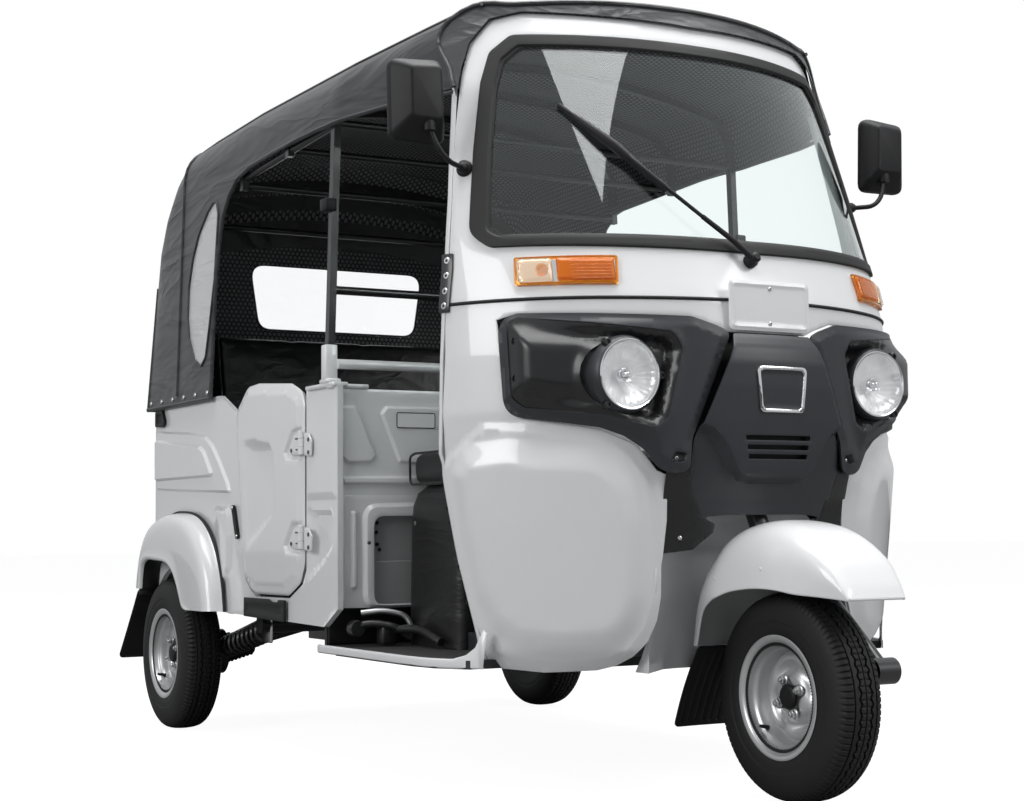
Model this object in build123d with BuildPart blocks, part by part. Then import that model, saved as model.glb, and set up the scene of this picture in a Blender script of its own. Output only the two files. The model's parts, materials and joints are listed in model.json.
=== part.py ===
"""Three-wheeled auto rickshaw: rounded front cab on one steered wheel, fabric hood over tube bows,
two side doors and two driven rear wheels. Millimetres, +Z up, the front faces -Y, +X is its left."""
from build123d import *
from math import asin, cos, pi, sin
import os

os.makedirs("parts", exist_ok=True)

# ---------------------------------------------------------------- driving dimensions
overall_width = 1300.0
overall_height = 1704.0
wheelbase = 2000.0
front_overhang = 285.0
rear_overhang = 375.0
fender_stand_out = 50.0   # rear fenders, outside the body

overall_length = front_overhang + wheelbase + rear_overhang
front_axle_y = front_overhang - overall_length / 2
body_half_width = overall_width / 2 - fender_stand_out

# Places are drawn for this wheelbase, height and half width of the body. at(), up() and across() carry them to the
# sizes above: the passenger body stretches between the cab and the rear axle, what is above the belt line stretches
# upwards, and both sides move out as they are, with what lies between these two places across stretched.
drawn_wheelbase = 2000.0
drawn_height = 1704.0
stretch_from_s = 1012.0
drawn_half_width = 600.0
stretch_x = (280.0, 410.0)

fit_gap = 0.3          # between pieces that seat on each other's curved faces
moving_gap = 6.0       # between a moving piece and what it passes

# wheels
tyre_radius = 208.0
tyre_half_width = 55.0
tread_half_width = 41.0
bead_seat_radius = 101.0
flange_radius = 116.0
rim_half_width = 48.0
rim_wall = 4.0
hub_radius = 46.0
rear_track_half = 582.0
axle_z = tyre_radius

# cab plan: one wide arc across the front, a tighter arc at each corner, straight sides
front_arc_radius = 740.0
corner_arc_radius = 480.0
cab_half_width = body_half_width
cab_rear_s = 640.0     # how far back the plan outline runs before it is trimmed
cowl_wall = 12.0
cowl_apex = 66.0       # front of the cowl, behind the front axle line
belt_apex = 78.0       # front of the belt line
belt_z = 1008.0
windscreen_lean = 0.417
header_top_z = 1665.0

# cab floor and body
floor_z = 262.0
floor_thickness = 18.0
partition_s = 925.0
partition_thickness = 20.0
partition_top_z = 874.0
body_top_z = 878.0
side_wall = 20.0
inner_half = drawn_half_width - side_wall - fit_gap
passenger_floor_z = 384.0
rear_wall_s = 2222.0
hem_z = 900.0

# door, at the body side
door_front_s = 1091.0
door_thickness = 24.0
door_proud = 4.0
hinge_s = 1080.0
hinge_out = 610.0
hinge_heights = (530.0, 753.0)
hinge_pin_radius = 4.0
hinge_barrel_radius = 8.0
hinge_length = 56.0

# steering: the axis leans back, and passes these two heights
steer_low_s, steer_low_z = 120.0, 560.0
steer_high_s, steer_high_z = 330.0, 1000.0
stem_radius = 21.0
head_tube_radius = 30.0
fender_half_width = 110.0
fender_wall = 4.0


def at(s):
    """Distance behind the front axle of a place drawn at s."""
    stretch = (wheelbase - stretch_from_s) / (drawn_wheelbase - stretch_from_s)
    within = min(max(s - stretch_from_s, 0), drawn_wheelbase - stretch_from_s)
    return s + within * (stretch - 1)


def up(z):
    """Height of a place drawn at z."""
    stretch = (overall_height - belt_z) / (drawn_height - belt_z)
    return z + max(z - belt_z, 0) * (stretch - 1)


def across(x):
    """Place across the vehicle of one drawn at x."""
    low, high = stretch_x
    share = min(max((abs(x) - low) / (high - low), 0), 1)
    moved = abs(x) + (body_half_width - drawn_half_width) * share
    return moved if x >= 0 else -moved


def axis_s(z):
    """How far behind the front axle the steering axis is, at a height drawn at z."""
    return steer_low_s + (up(z) - steer_low_z) * (steer_high_s - steer_low_s) / (steer_high_z - steer_low_z)


def windscreen_apex(z):
    """Front of the leaning upper shell at height z."""
    return belt_apex - 8 + windscreen_lean * (z - belt_z)


def cab_outline(z, apex, inset=0.0, rear_s=cab_rear_s):
    """Closed plan outline of the cab at height z: its front at apex, drawn in by inset."""
    arc_r = front_arc_radius - inset
    corner_r = corner_arc_radius - inset
    half = cab_half_width - inset
    front = at(apex) + inset
    tangent_x = (cab_half_width - corner_arc_radius) / (1 - corner_arc_radius / front_arc_radius)
    turn = asin(tangent_x / front_arc_radius)
    centre_y = front + arc_r
    corner_x = half - corner_r
    corner_y = centre_y - (arc_r - corner_r) * cos(turn)
    mid = (turn + pi / 2) / 2
    rear = at(rear_s) + apex
    join = (arc_r * sin(turn), centre_y - arc_r * cos(turn))
    bend = (corner_x + corner_r * sin(mid), corner_y - corner_r * cos(mid))
    with BuildSketch(Plane.XY.offset(up(z))) as outline:
        with BuildLine():
            Line((-half, rear), (-half, corner_y))
            ThreePointArc((-half, corner_y), (-bend[0], bend[1]), (-join[0], join[1]))
            ThreePointArc((-join[0], join[1]), (0, front), join)
            ThreePointArc(join, bend, (half, corner_y))
            Line((half, corner_y), (half, rear))
            Line((half, rear), (-half, rear))
        make_face()
    return outline.sketch


def cab_loft(stations, inset=0.0, mode=Mode.ADD, rear_s=cab_rear_s):
    """Solid through cab outlines: stations are (height, apex, drawn in by)."""
    loft(sections=[cab_outline(z, apex, drawn + inset, rear_s).face() for z, apex, drawn in stations],
         ruled=True, mode=mode)


def front_prism(points, depth, mode=Mode.INTERSECT, both_sides=False, grow=0.0, start=-200.0):
    """Prism along Y over an outline given as (x, z), used to trim what faces the front."""
    with BuildSketch(Plane.XZ.offset(-at(start))) as outline:
        with BuildLine():
            Polyline(*[(across(x), up(z)) for x, z in points], close=True)
        make_face()
        if both_sides:
            mirror(about=Plane.YZ)
        if grow:
            offset(amount=grow, mode=Mode.REPLACE)
    extrude(outline.sketch, amount=-depth, mode=mode)


def side_prism(points, x_from, x_to, mode=Mode.ADD):
    """Prism along X over an outline given as (s, z)."""
    x_from, x_to = across(x_from), across(x_to)
    with BuildSketch(Plane.YZ.offset(x_from)) as outline:
        with BuildLine():
            Polyline(*[(at(s), up(z)) for s, z in points], close=True)
        make_face()
    extrude(outline.sketch, amount=x_to - x_from, mode=mode)


def block(x0, x1, s0, s1, z0, z1, mode=Mode.ADD):
    """Box between two corners, its length given behind the front axle."""
    x0, x1 = across(x0), across(x1)
    with Locations(((x0 + x1) / 2, (at(s0) + at(s1)) / 2, (up(z0) + up(z1)) / 2)):
        Box(x1 - x0, at(s1) - at(s0), up(z1) - up(z0), mode=mode)


def bar(start, end, radius, mode=Mode.ADD):
    """Round bar between two points given as (x, s, z)."""
    a = Vector(across(start[0]), at(start[1]), up(start[2]))
    b = Vector(across(end[0]), at(end[1]), up(end[2]))
    with BuildSketch(Plane(origin=a, z_dir=b - a)) as section:
        Circle(radius)
    extrude(section.sketch, amount=(b - a).length, mode=mode)


def bent_tube(points, radius, bend):
    """Round tube along straight runs joined by arcs, points given as (x, s, z)."""
    path_points = [(across(x), at(s), up(z)) for x, s, z in points]
    with BuildLine() as path:
        FilletPolyline(*path_points, radius=bend)
    with BuildSketch(Plane(origin=path.line @ 0, z_dir=path.line % 0)) as section:
        Circle(radius)
    sweep(section.sketch, path=path.line)


def finish(piece, name):
    """Move a finished piece to its place on the whole vehicle, label it and write its file."""
    placed = piece.part.moved(Location((0, front_axle_y, 0)))
    placed.label = name
    export_step(placed, f"parts/{name}.step")


# ---------------------------------------------------------------- outlines used more than once
# cowl: height, apex, drawn in by
cowl_stations = ((252, cowl_apex, 70), (300, cowl_apex, 38), (400, cowl_apex, 28), (560, cowl_apex, 12),
                 (700, cowl_apex - 4, 0), (900, cowl_apex, 0), (belt_z, belt_apex, 0))
upper_stations = ((belt_z, belt_apex, 0), (1110, windscreen_apex(1110), 0),
                  (header_top_z, windscreen_apex(header_top_z), 0))
# rear edge of the cab side, from the sill to the header: (behind the axle, height)
cab_edge = ((300, 200), (352, 262), (362, 330), (398, 485), (424, 650), (416, 960), (419, 1081), (440, 1237),
            (468, 1394), (493, 1521), (514, 1645), (520, 1800))
# right half of the fascia round each lamp, and the pocket in it: (x, z)
fascia_edge = ((-508, 968), (-500, 800), (-478, 770), (-360, 746), (-290, 712), (-252, 662), (-226, 652),
               (-192, 658), (-184, 722), (-97, 938), (-130, 952), (-182, 968), (-480, 976))
pocket_edge = ((-496, 962), (-490, 806), (-474, 786), (-350, 770), (-270, 745), (-240, 765), (-200, 930),
               (-215, 950), (-480, 968))
window_outer = ((-524, 1155), (-505, 1127), (-470, 1120), (0, 1116), (470, 1120), (505, 1127), (524, 1155),
                (462, 1500), (441, 1555), (409, 1590), (362, 1603), (0, 1596), (-362, 1603), (-409, 1590),
                (-441, 1555), (-462, 1500))
window_inner = ((-496, 1165), (-482, 1150), (-460, 1146), (0, 1142), (460, 1146), (482, 1150), (496, 1165),
                (438, 1490), (420, 1538), (395, 1563), (355, 1574), (0, 1568), (-355, 1574), (-395, 1563),
                (-420, 1538), (-438, 1490))


header_edge = ((-620, 900), (-620, 1000), (-561, 1081), (-504, 1462), (-489, 1525), (-467, 1589), (-426, 1641),
               (-370, 1655), (0, 1645), (370, 1655), (426, 1641), (467, 1589), (489, 1525), (504, 1462),
               (561, 1081), (620, 1000), (620, 900))


def trim_to_cab_edge():
    """Keep what lies ahead of the cab's rear edge."""
    side_prism(((-400, 200),) + cab_edge + ((-400, 1800),), -700, 700, Mode.INTERSECT)


# ---------------------------------------------------------------- front shell of the cab
# lower edge of each cheek seen from the front, and of the wheel recess between them seen from the side
cheek_low_edge = ((-200, 200), (-200, 430), (-239, 404), (-247, 365), (-264, 322), (-293, 287), (-325, 268),
                  (-365, 259), (-466, 254), (-513, 268), (-545, 300), (-640, 330), (-640, 200))
recess_front_edge = ((100, 642), (100, 420), (140, 380), (178, 310), (205, 270), (225, 252), (270, 252), (270, 642))
recess_top_z, recess_rear_s, recess_wall = 642.0, 264.0, 12.0
with BuildPart() as front_cowl:
    cab_loft(cowl_stations)
    cab_loft([(z - (cowl_wall if n == 0 else 0), a, d) for n, (z, a, d) in enumerate(cowl_stations)],
             cowl_wall, Mode.SUBTRACT)
    front_prism(fascia_edge, 620, Mode.SUBTRACT)
    front_prism([(-x, z) for x, z in fascia_edge], 620, Mode.SUBTRACT)
    front_prism(((-97, 938), (97, 938), (185, 722), (193, 659), (229, 652), (230, 560), (238, 480), (238, 200),
                 (-238, 200), (-238, 480), (-230, 560), (-229, 652), (-193, 659), (-185, 722)), 460, Mode.SUBTRACT)
    front_prism(cheek_low_edge, 640, Mode.SUBTRACT)
    front_prism([(-x, z) for x, z in cheek_low_edge], 640, Mode.SUBTRACT)
    trim_to_cab_edge()
    with BuildPart(mode=Mode.PRIVATE) as recess:
        with BuildSketch(Plane.XY.offset(252)):
            with BuildLine():
                Polyline((-242, at(107)), (-242, at(172)), (-112, at(recess_rear_s)), (112, at(recess_rear_s)),
                         (242, at(172)), (242, at(107)), (238 - recess_wall, at(107)),
                         (238 - recess_wall, at(166)), (105, at(recess_rear_s - recess_wall)),
                         (-105, at(recess_rear_s - recess_wall)), (-238 + recess_wall, at(166)),
                         (-238 + recess_wall, at(107)), close=True)
            make_face()
        extrude(amount=recess_top_z - 252)
        with BuildSketch(Plane.XY.offset(recess_top_z - 6)):
            with BuildLine():
                Polyline((-238, at(136)), (-238, at(170)), (-112, at(recess_rear_s)), (112, at(recess_rear_s)),
                         (238, at(170)), (238, at(136)), close=True)
            make_face()
        extrude(amount=6)
        side_prism(recess_front_edge, -300, 300, Mode.INTERSECT)
        with BuildPart(mode=Mode.PRIVATE) as cowl_solid:
            cab_loft(cowl_stations)
        add(cowl_solid.part, mode=Mode.INTERSECT)
        block(-300, 300, 0, 147, 486, 700, Mode.SUBTRACT)
        bar((0, axis_s(560), 560), (0, axis_s(700), 700), stem_radius + moving_gap, Mode.SUBTRACT)
    add(recess.part)
finish(front_cowl, "front_cowl")

with BuildPart() as windscreen_frame:
    cab_loft(upper_stations)
    cab_loft(upper_stations, cowl_wall, Mode.SUBTRACT)
    front_prism(window_outer, 900, Mode.SUBTRACT)
    front_prism(header_edge, 900)
    trim_to_cab_edge()
finish(windscreen_frame, "windscreen_frame")

with BuildPart() as windscreen_seal:
    cab_loft(upper_stations, -7)
    cab_loft(upper_stations, 12, Mode.SUBTRACT)
    front_prism(window_outer, 900)
    front_prism(window_inner, 900, Mode.SUBTRACT)
finish(windscreen_seal, "windscreen_seal")

with BuildPart() as windscreen_glass:
    cab_loft(upper_stations, 2)
    cab_loft(upper_stations, 7, Mode.SUBTRACT)
    front_prism(window_inner, 900)
finish(windscreen_glass, "windscreen_glass")

# ---------------------------------------------------------------- fascias and lamps
fascia_stations = ((640, cowl_apex - 8, 0), (990, cowl_apex - 4, 0))
lamp_x, lamp_z, lamp_front_s, lamp_radius = 320.0, 850.0, 104.0, 70.0

with BuildPart() as headlamp_fascias:
    cab_loft(fascia_stations)
    cab_loft(fascia_stations, 52, Mode.SUBTRACT)
    front_prism(fascia_edge, 620, both_sides=True, grow=-0.4)
    with BuildPart(mode=Mode.PRIVATE) as pocket:
        cab_loft(fascia_stations, -5)
        cab_loft(fascia_stations, 38, Mode.SUBTRACT)
        front_prism(pocket_edge, 620, both_sides=True)
    add(pocket.part, mode=Mode.SUBTRACT)
    for side in (-1, 1):
        bar((side * lamp_x, 0, lamp_z), (side * lamp_x, 400, lamp_z), lamp_radius + fit_gap, Mode.SUBTRACT)
finish(headlamp_fascias, "headlamp_fascias")

with BuildPart() as headlamps:
    for side in (-1, 1):
        bar((side * lamp_x, lamp_front_s, lamp_z), (side * lamp_x, 230, lamp_z), lamp_radius)
finish(headlamps, "headlamps")

centre_stations = ((487, 96, 0), (640, 84, 0), (658, 60, 0), (700, 50, 0), (800, 40, 0), (865, 36, 0), (938, 60, 0))
centre_edge = ((-96.4, 938), (96.4, 938), (184.4, 722), (191.8, 657.6), (228, 650.6), (229.4, 560), (237.2, 487), (165, 500), (155, 560),
               (140, 590), (100, 602), (-100, 602), (-140, 590), (-155, 560), (-165, 500), (-237.2, 487),
               (-229.4, 560), (-228, 650.6), (-191.8, 657.6), (-184.4, 722))
with BuildPart() as centre_fascia:
    cab_loft(centre_stations)
    cab_loft(centre_stations, cowl_wall, Mode.SUBTRACT)
    front_prism(centre_edge, 500)
finish(centre_fascia, "centre_fascia")


with BuildPart() as front_indicators:
    cab_loft(upper_stations, -14)
    cab_loft(upper_stations, 0, Mode.SUBTRACT)
    front_prism(((-481, 1034), (-473, 1098), (-300, 1099), (-310, 1035)), 600, both_sides=True)
finish(front_indicators, "front_indicators")

plate_width, plate_height, plate_z, plate_front_s, plate_thickness = 204.0, 104.0, 997.0, 66.0, 3.0
plate_screw_spacing, plate_screw_radius = 72.0, 3.0
with BuildPart() as number_plate:
    with BuildSketch(Plane.XZ.offset(-at(plate_front_s))):
        with Locations((0, plate_z)):
            RectangleRounded(plate_width, plate_height, 10)
        with Locations((0, plate_z - plate_screw_spacing / 2), (0, plate_z + plate_screw_spacing / 2)):
            Circle(plate_screw_radius, mode=Mode.SUBTRACT)
    extrude(amount=-plate_thickness)
    block(-40, 40, plate_front_s + plate_thickness, belt_apex - 1.4, 1000, 1007.5)
finish(number_plate, "number_plate")

with BuildPart() as wiper:
    bar((-20, 70, 1093), (-20, 101.6, 1093), 14)
    bar((-20, 86, 1093), (-130, 112, 1194), 6)
    bar((-130, 112, 1194), (-190, 158, 1252), 5)
    bar((-190, 158, 1252), (-258, 239, 1338), 4)
    bar((-176, 170, 1244), (-339, 308, 1430), 4)
finish(wiper, "wiper")

mirror_base = (516.2, 426.9, 1301.0)
mirror_head = (131.0, 44.0, 180.0)
mirror_centre = (628.0, 425.0, 1435.0)
with BuildPart() as mirrors:
    for side in (-1, 1):
        with BuildPart(mode=Mode.PRIVATE) as mirror_arm:
            bent_tube([(side * mirror_base[0], mirror_base[1], mirror_base[2]),
                       (side * (mirror_base[0] + 60), mirror_base[1] - 41.5, mirror_base[2]),
                       (side * (mirror_centre[0] - 20), mirror_centre[1] + 4, mirror_centre[2])], 6, 25)
            with Locations((across(side * mirror_centre[0]), at(mirror_centre[1]), up(mirror_centre[2]))):
                Box(*mirror_head)
            fillet(mirror_arm.edges().filter_by(Axis.Y).group_by(SortBy.LENGTH)[-1], 14)
        add(mirror_arm.part)
finish(mirrors, "mirrors")

# ---------------------------------------------------------------- cab floor, controls and partition
floor_half = ((112, 266), (370, 266), (386, 280), (440, 345), (455, 366), (545, 366), (588, 440), (600, 520),
              (600, 904), (inner_half, 904), (inner_half, 1012))
riser_s = 1012.0
with BuildPart() as floor_pan:
    with BuildSketch(Plane.XY.offset(floor_z)):
        with BuildLine():
            Polyline(*[(-across(x), at(s)) for x, s in floor_half],
                     *[(across(x), at(s)) for x, s in reversed(floor_half)], close=True)
        make_face()
    extrude(amount=floor_thickness)
    block(-inner_half, inner_half, riser_s - 12, riser_s, floor_z, passenger_floor_z)
    block(-inner_half, inner_half, riser_s, 1560, passenger_floor_z - floor_thickness, passenger_floor_z)
finish(floor_pan, "floor_pan")

rail_z, rail_s = 934.0, partition_s + partition_thickness / 2
with BuildPart() as partition:
    block(-inner_half, inner_half, partition_s, partition_s + partition_thickness, floor_z + floor_thickness, partition_top_z)
    bar((-565, rail_s, rail_z), (565, rail_s, rail_z), 13)
    for side in (-1, 1):
        block(side * 540 - 13, side * 540 + 13, rail_s - 10, rail_s + 10, partition_top_z - 10, rail_z)
finish(partition, "partition")

with BuildPart() as driver_seat_base:
    block(-414, 414, 655, 905, floor_z + floor_thickness, 644)
    block(-400, 400, 670, 906, floor_z + floor_thickness, 630, Mode.SUBTRACT)
    block(-414, 414, 893, 905, floor_z + floor_thickness, 644)
finish(driver_seat_base, "driver_seat_base")

with BuildPart() as driver_seat:
    block(-418, 418, 640, 915, 644.3, 729)
    fillet(driver_seat.edges(), 20)
finish(driver_seat, "driver_seat")

with BuildPart() as dashboard:
    block(-230, 230, 262, 330, 900, 1010)
    block(-40, 40, 88.3, 262, 950, 980)
    bar((0, axis_s(860), 860), (0, axis_s(1080), 1080), head_tube_radius + moving_gap, Mode.SUBTRACT)
finish(dashboard, "dashboard")

with BuildPart() as floor_controls:
    bar((-330, 500, floor_z + floor_thickness), (-330, 500, 360), 9)
    block(-365, -295, 490, 505, 350, 385)
    block(-400, -300, 560, 640, floor_z + floor_thickness, floor_z + floor_thickness + 40)
finish(floor_controls, "floor_controls")

# ---------------------------------------------------------------- body sides
door_edge = ((1458, 913), (1530, 857), (1536, 810), (1498, 532), (1474, 426), (1440, 402), (1406, 387),
             (1189, 389), (1112, 422), (door_front_s, 454), (door_front_s, 851), (1109, 876), (1170, 901),
             (1386, 917))
side_edge = ((905, 322), (1640, 334), (2180, 380), (2180, 905), (1668, 905), (1545, 790), (1300, 790), (1300, 600),
             (1100, 600), (1100, body_top_z), (905, body_top_z))
arch_radius = 242.0

with BuildPart() as side_panels:
    for side in (-1, 1):
        inner, outer = sorted((side * (drawn_half_width - side_wall), side * drawn_half_width))
        with BuildPart(mode=Mode.PRIVATE) as side_panel:
            side_prism(side_edge, inner, outer)
            with BuildSketch(Plane.YZ.offset(across(inner))) as notch:
                with BuildLine():
                    Polyline(*[(at(s), z) for s, z in door_edge], close=True)
                make_face()
                offset(amount=moving_gap, mode=Mode.REPLACE)
            extrude(notch.sketch, amount=side_wall, mode=Mode.SUBTRACT)
            bar((inner, drawn_wheelbase, axle_z), (outer, drawn_wheelbase, axle_z), arch_radius, Mode.SUBTRACT)
        add(side_panel.part)
finish(side_panels, "side_panels")

# a hinge: leaf and pin on the body, barrel on what swings; axis up at the origin, body towards -Y, inwards +X
def hinge_body_side(place, leaf_depth):
    """Leaf, two knuckles and the pin through them, on the fixed side of a hinge."""
    with BuildPart(mode=Mode.PRIVATE) as fixed:
        with Locations((leaf_depth / 2 + 2, -20, 0)):
            Box(leaf_depth - 4, 20, hinge_length)
        for end in (-1, 1):
            with Locations((0, 0, end * (hinge_length / 2 - 9))):
                Cylinder(hinge_barrel_radius, 18)
                with Locations((3, -8, 0)):
                    Box(6, 16, 18)
        Cylinder(hinge_pin_radius, hinge_length)
    return fixed.part.moved(place)


def hinge_moving_side(place, leaf_depth):
    """Barrel and leaf on the swinging side of a hinge."""
    with BuildPart(mode=Mode.PRIVATE) as moving:
        Cylinder(hinge_barrel_radius, hinge_length - 38)
        with Locations((leaf_depth / 2, 15, 0)):
            Box(leaf_depth, 30, hinge_length - 38)
        Cylinder(hinge_pin_radius + fit_gap, hinge_length, mode=Mode.SUBTRACT)
    return moving.part.moved(place)


leaf_reach = hinge_out - drawn_half_width
hinge_places = {}
for side in (-1, 1):
    hinge_places[side] = [Plane(origin=(across(side * hinge_out), at(hinge_s), z), x_dir=(-side, 0, 0),
                                z_dir=(0, 0, -side)).location for z in hinge_heights]
for side, name in ((-1, "door_right"), (1, "door_left")):
    outer = side * (drawn_half_width + door_proud)
    inner = outer - side * door_thickness
    with BuildPart() as door:
        side_prism(door_edge, min(inner, outer), max(inner, outer))
        for place in hinge_places[side]:
            add(hinge_moving_side(place, leaf_reach - door_proud))
    finish(door, name)

with BuildPart() as step_plates:
    for side in (-1, 1):
        x = sorted((side * drawn_half_width, side * (drawn_half_width + 8)))
        side_prism(((1200, 379), (1450, 379), (1456, 332), (1196, 327)), x[0], x[1])
finish(step_plates, "step_plates")

# ---------------------------------------------------------------- rear body
rear_corner = 42.0
hatch_half_width, hatch_low_z, hatch_high_z = 330.0, 430.0, 790.0
with BuildPart() as rear_panel:
    with BuildSketch(Plane.XY.offset(384)):
        with BuildLine():
            Polyline((-body_half_width, at(2180)), (-body_half_width, at(rear_wall_s)),
                     (body_half_width, at(rear_wall_s)), (body_half_width, at(2180)), close=True)
        make_face()
        fillet(vertices().group_by(Axis.Y)[-1], rear_corner)
        with BuildLine():
            Polyline((-body_half_width + side_wall, at(2179)), (-body_half_width + side_wall, at(2202)),
                     (body_half_width - side_wall, at(2202)), (body_half_width - side_wall, at(2179)), close=True)
        make_face(mode=Mode.SUBTRACT)
    extrude(amount=905 - 384)
    block(-hatch_half_width, hatch_half_width, 2150, 2300, hatch_low_z, hatch_high_z, Mode.SUBTRACT)
finish(rear_panel, "rear_panel")

hatch_hinge_s, hatch_hinge_z = rear_wall_s + 10, hatch_high_z + 6
hatch_places = [Plane(origin=(x, at(hatch_hinge_s), hatch_hinge_z), x_dir=(0, -1, 0), z_dir=(1, 0, 0)).location
                for x in (-200.0, 200.0)]
with BuildPart() as hinges:
    for side in (-1, 1):
        for place in hinge_places[side]:
            add(hinge_body_side(place, leaf_reach))
    for place in hatch_places:
        add(hinge_body_side(place, 10))
finish(hinges, "hinges")
with BuildPart() as engine_hatch:
    block(-hatch_half_width + moving_gap, hatch_half_width - moving_gap, rear_wall_s - 18, rear_wall_s,
          hatch_low_z + moving_gap, hatch_high_z - moving_gap)
    for place in hatch_places:
        add(hinge_moving_side(place, 10))
finish(engine_hatch, "engine_hatch")

with BuildPart() as tail_lamps:
    for side in (-1, 1):
        block(min(side * 440, side * 540), max(side * 440, side * 540), rear_wall_s, rear_wall_s + 22, 600, 780)
finish(tail_lamps, "tail_lamps")

with BuildPart() as rear_bumper:
    bar((-500, 2262, 340), (500, 2262, 340), 19)
    for side in (-1, 1):
        block(min(side * 240, side * 270), max(side * 240, side * 270), 2150, 2262, 325, 355)
finish(rear_bumper, "rear_bumper")

flare_outer = ((1616, 337), (1640, 420), (1693, 513), (1760, 566), (1861, 590), (1990, 590), (2101, 570),
               (2180, 490), (2215, 384))
flare_inner = ((1797, 344), (1812, 380), (1850, 425), (1926, 462), (2144, 470), (2165, 384))
with BuildPart() as rear_fenders:
    for side in (-1, 1):
        x = sorted((side * drawn_half_width, side * (drawn_half_width + fender_stand_out)))
        side_prism(flare_outer + flare_inner[::-1], x[0], x[1])
    for side in (-1, 1):
        x = sorted((side * body_half_width, side * (body_half_width + fender_stand_out - 6)))
        with BuildSketch(Plane.YZ.offset(x[0])) as hollow:
            with BuildLine():
                Polyline(*[(at(s), z) for s, z in flare_outer + ((2215, 300), (1616, 300))], close=True)
            make_face()
            offset(amount=-6, mode=Mode.REPLACE)
        extrude(hollow.sketch, amount=x[1] - x[0], mode=Mode.SUBTRACT)
finish(rear_fenders, "rear_fenders")

arch_top_z = 600.0
with BuildPart() as wheel_housings:
    for side in (-1, 1):
        x0, x1 = sorted((side * 490, side * inner_half))
        bar((x0, drawn_wheelbase, axle_z), (x1, drawn_wheelbase, axle_z), arch_radius + 6)
    for side in (-1, 1):
        x0, x1 = sorted((side * 496, side * (inner_half + 1)))
        bar((x0, drawn_wheelbase, axle_z), (x1, drawn_wheelbase, axle_z), arch_radius, Mode.SUBTRACT)
    block(-drawn_half_width, drawn_half_width, 1700, 2201, passenger_floor_z, arch_top_z, Mode.INTERSECT)
finish(wheel_housings, "wheel_housings")

mudflap_top_s, mudflap_low_s, mudflap_low_z = 2188.0, drawn_wheelbase + rear_overhang - 5, 180.0
with BuildPart() as rear_mudflaps:
    for side in (-1, 1):
        x = sorted((side * 520, side * (drawn_half_width + fender_stand_out - 2)))
        side_prism(((mudflap_top_s, 384), (mudflap_top_s + 8, 384), (mudflap_low_s + 5, mudflap_low_z),
                    (mudflap_low_s - 3, mudflap_low_z - 4)), x[0], x[1])
finish(rear_mudflaps, "rear_mudflaps")

# ---------------------------------------------------------------- passenger seat
with BuildPart() as passenger_seat_base:
    block(-480, 480, 1560, 1578, passenger_floor_z, 560)
    block(-480, 480, 1578, 2060, 542, 560)
    block(-478, 478, 2060, 2080, 542, 680)
    for x in (-300, 300):
        side_prism(((2080, 560), (2092, 560), (2180, 1110), (2166, 1110)), x - 15, x + 15)
        block(x - 15, x + 15, 2112, 2180, 1080, 1100)
        block(x - 15, x + 15, 2080, 2202, 565, 590)
finish(passenger_seat_base, "passenger_seat_base")
with BuildPart() as passenger_seat:
    block(-478, 478, 1545, 1985, 560.5, 680)
    fillet(passenger_seat.edges(), 25)
finish(passenger_seat, "passenger_seat")
with BuildPart() as passenger_backrest:
    side_prism(((1930, 680.3), (2040, 680.3), (2110, 1120), (2020, 1120)), -478, 478)
    fillet(passenger_backrest.edges().filter_by(Axis.X), 20)
finish(passenger_backrest, "passenger_backrest")

# ---------------------------------------------------------------- hood of fabric over tube bows
# behind the axle, half width at the top, height of the crown, and how far below it the roof meets the corner
hood_stations = ((290, 486, 1684, 6), (500, 500, 1692, 10), (640, 545, 1700, 40), (925, 586, drawn_height, 62),
                 (1500, 588, drawn_height, 62), (1850, 588, 1694, 62), (1973, 586, 1688, 62),
                 (2060, 584, 1654, 62), (2150, 582, 1578, 62), (2200, 580, 1506, 62), (2228.4, 578, 1420, 62))
hood_wall = 5.6
hood_low_half = body_half_width + 7
hood_corner = 80.0


def hood_section(s, half, crown, drop, inset, low_z=hem_z - 6.0):
    """Outline of the hood across the vehicle, at one place along it."""
    low_half = hood_low_half * min(1.0, half / 578) - inset
    half = across(half)
    shoulder = (half - inset, up(crown - drop - 98))
    bend = (half - hood_corner * 0.33 - inset * 0.75, up(crown - drop - 36) - inset * 0.65)
    roof = (half - hood_corner - inset * 0.5, up(crown - drop) - inset)
    with BuildSketch(Plane.XZ.offset(-at(s))) as outline:
        with BuildLine():
            Line((-low_half, low_z), (-shoulder[0], shoulder[1]))
            ThreePointArc((-shoulder[0], shoulder[1]), (-bend[0], bend[1]), (-roof[0], roof[1]))
            ThreePointArc((-roof[0], roof[1]), (0, up(crown) - inset), roof)
            ThreePointArc(roof, bend, shoulder)
            Line(shoulder, (low_half, low_z))
            Line((low_half, low_z), (-low_half, low_z))
        make_face()
    return outline.sketch.face()


def hood_loft(inset, mode=Mode.ADD):
    """Solid through the hood's outlines, drawn in by inset on every outer side."""
    rear = len(hood_stations) - 1
    loft(sections=[hood_section(s - (inset if n == rear else 0), half, crown, drop, inset,
                                hem_z - 6.0 - (10 if inset else 0))
                   for n, (s, half, crown, drop) in enumerate(hood_stations)], ruled=True, mode=mode)


side_opening = ((200, 1440), (387, 1475), (643, 1487), (848, 1493), (1037, 1496), (1261, 1495), (1463, 1486),
                (1548, 1469), (1625, 1418), (1669, 1328), (1691, 1168), (1700, 967), (1700, 800), (200, 800))
side_window = ((1686, 1397), (1700, 1430), (1725, 1436), (1770, 1415), (1835, 1364), (1880, 1300), (1906, 1220),
               (1906, 1140), (1888, 1078), (1840, 1015), (1783, 992), (1750, 1015), (1729, 1090), (1699, 1222))
rear_window = ((-292, 1354), (292, 1354), (262, 1155), (-262, 1155))
hood_front_stations = ((800, 26, 0), (belt_z, belt_apex, 0), (1110, windscreen_apex(1110), 0),
                       (1760, windscreen_apex(1760), 0))

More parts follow.
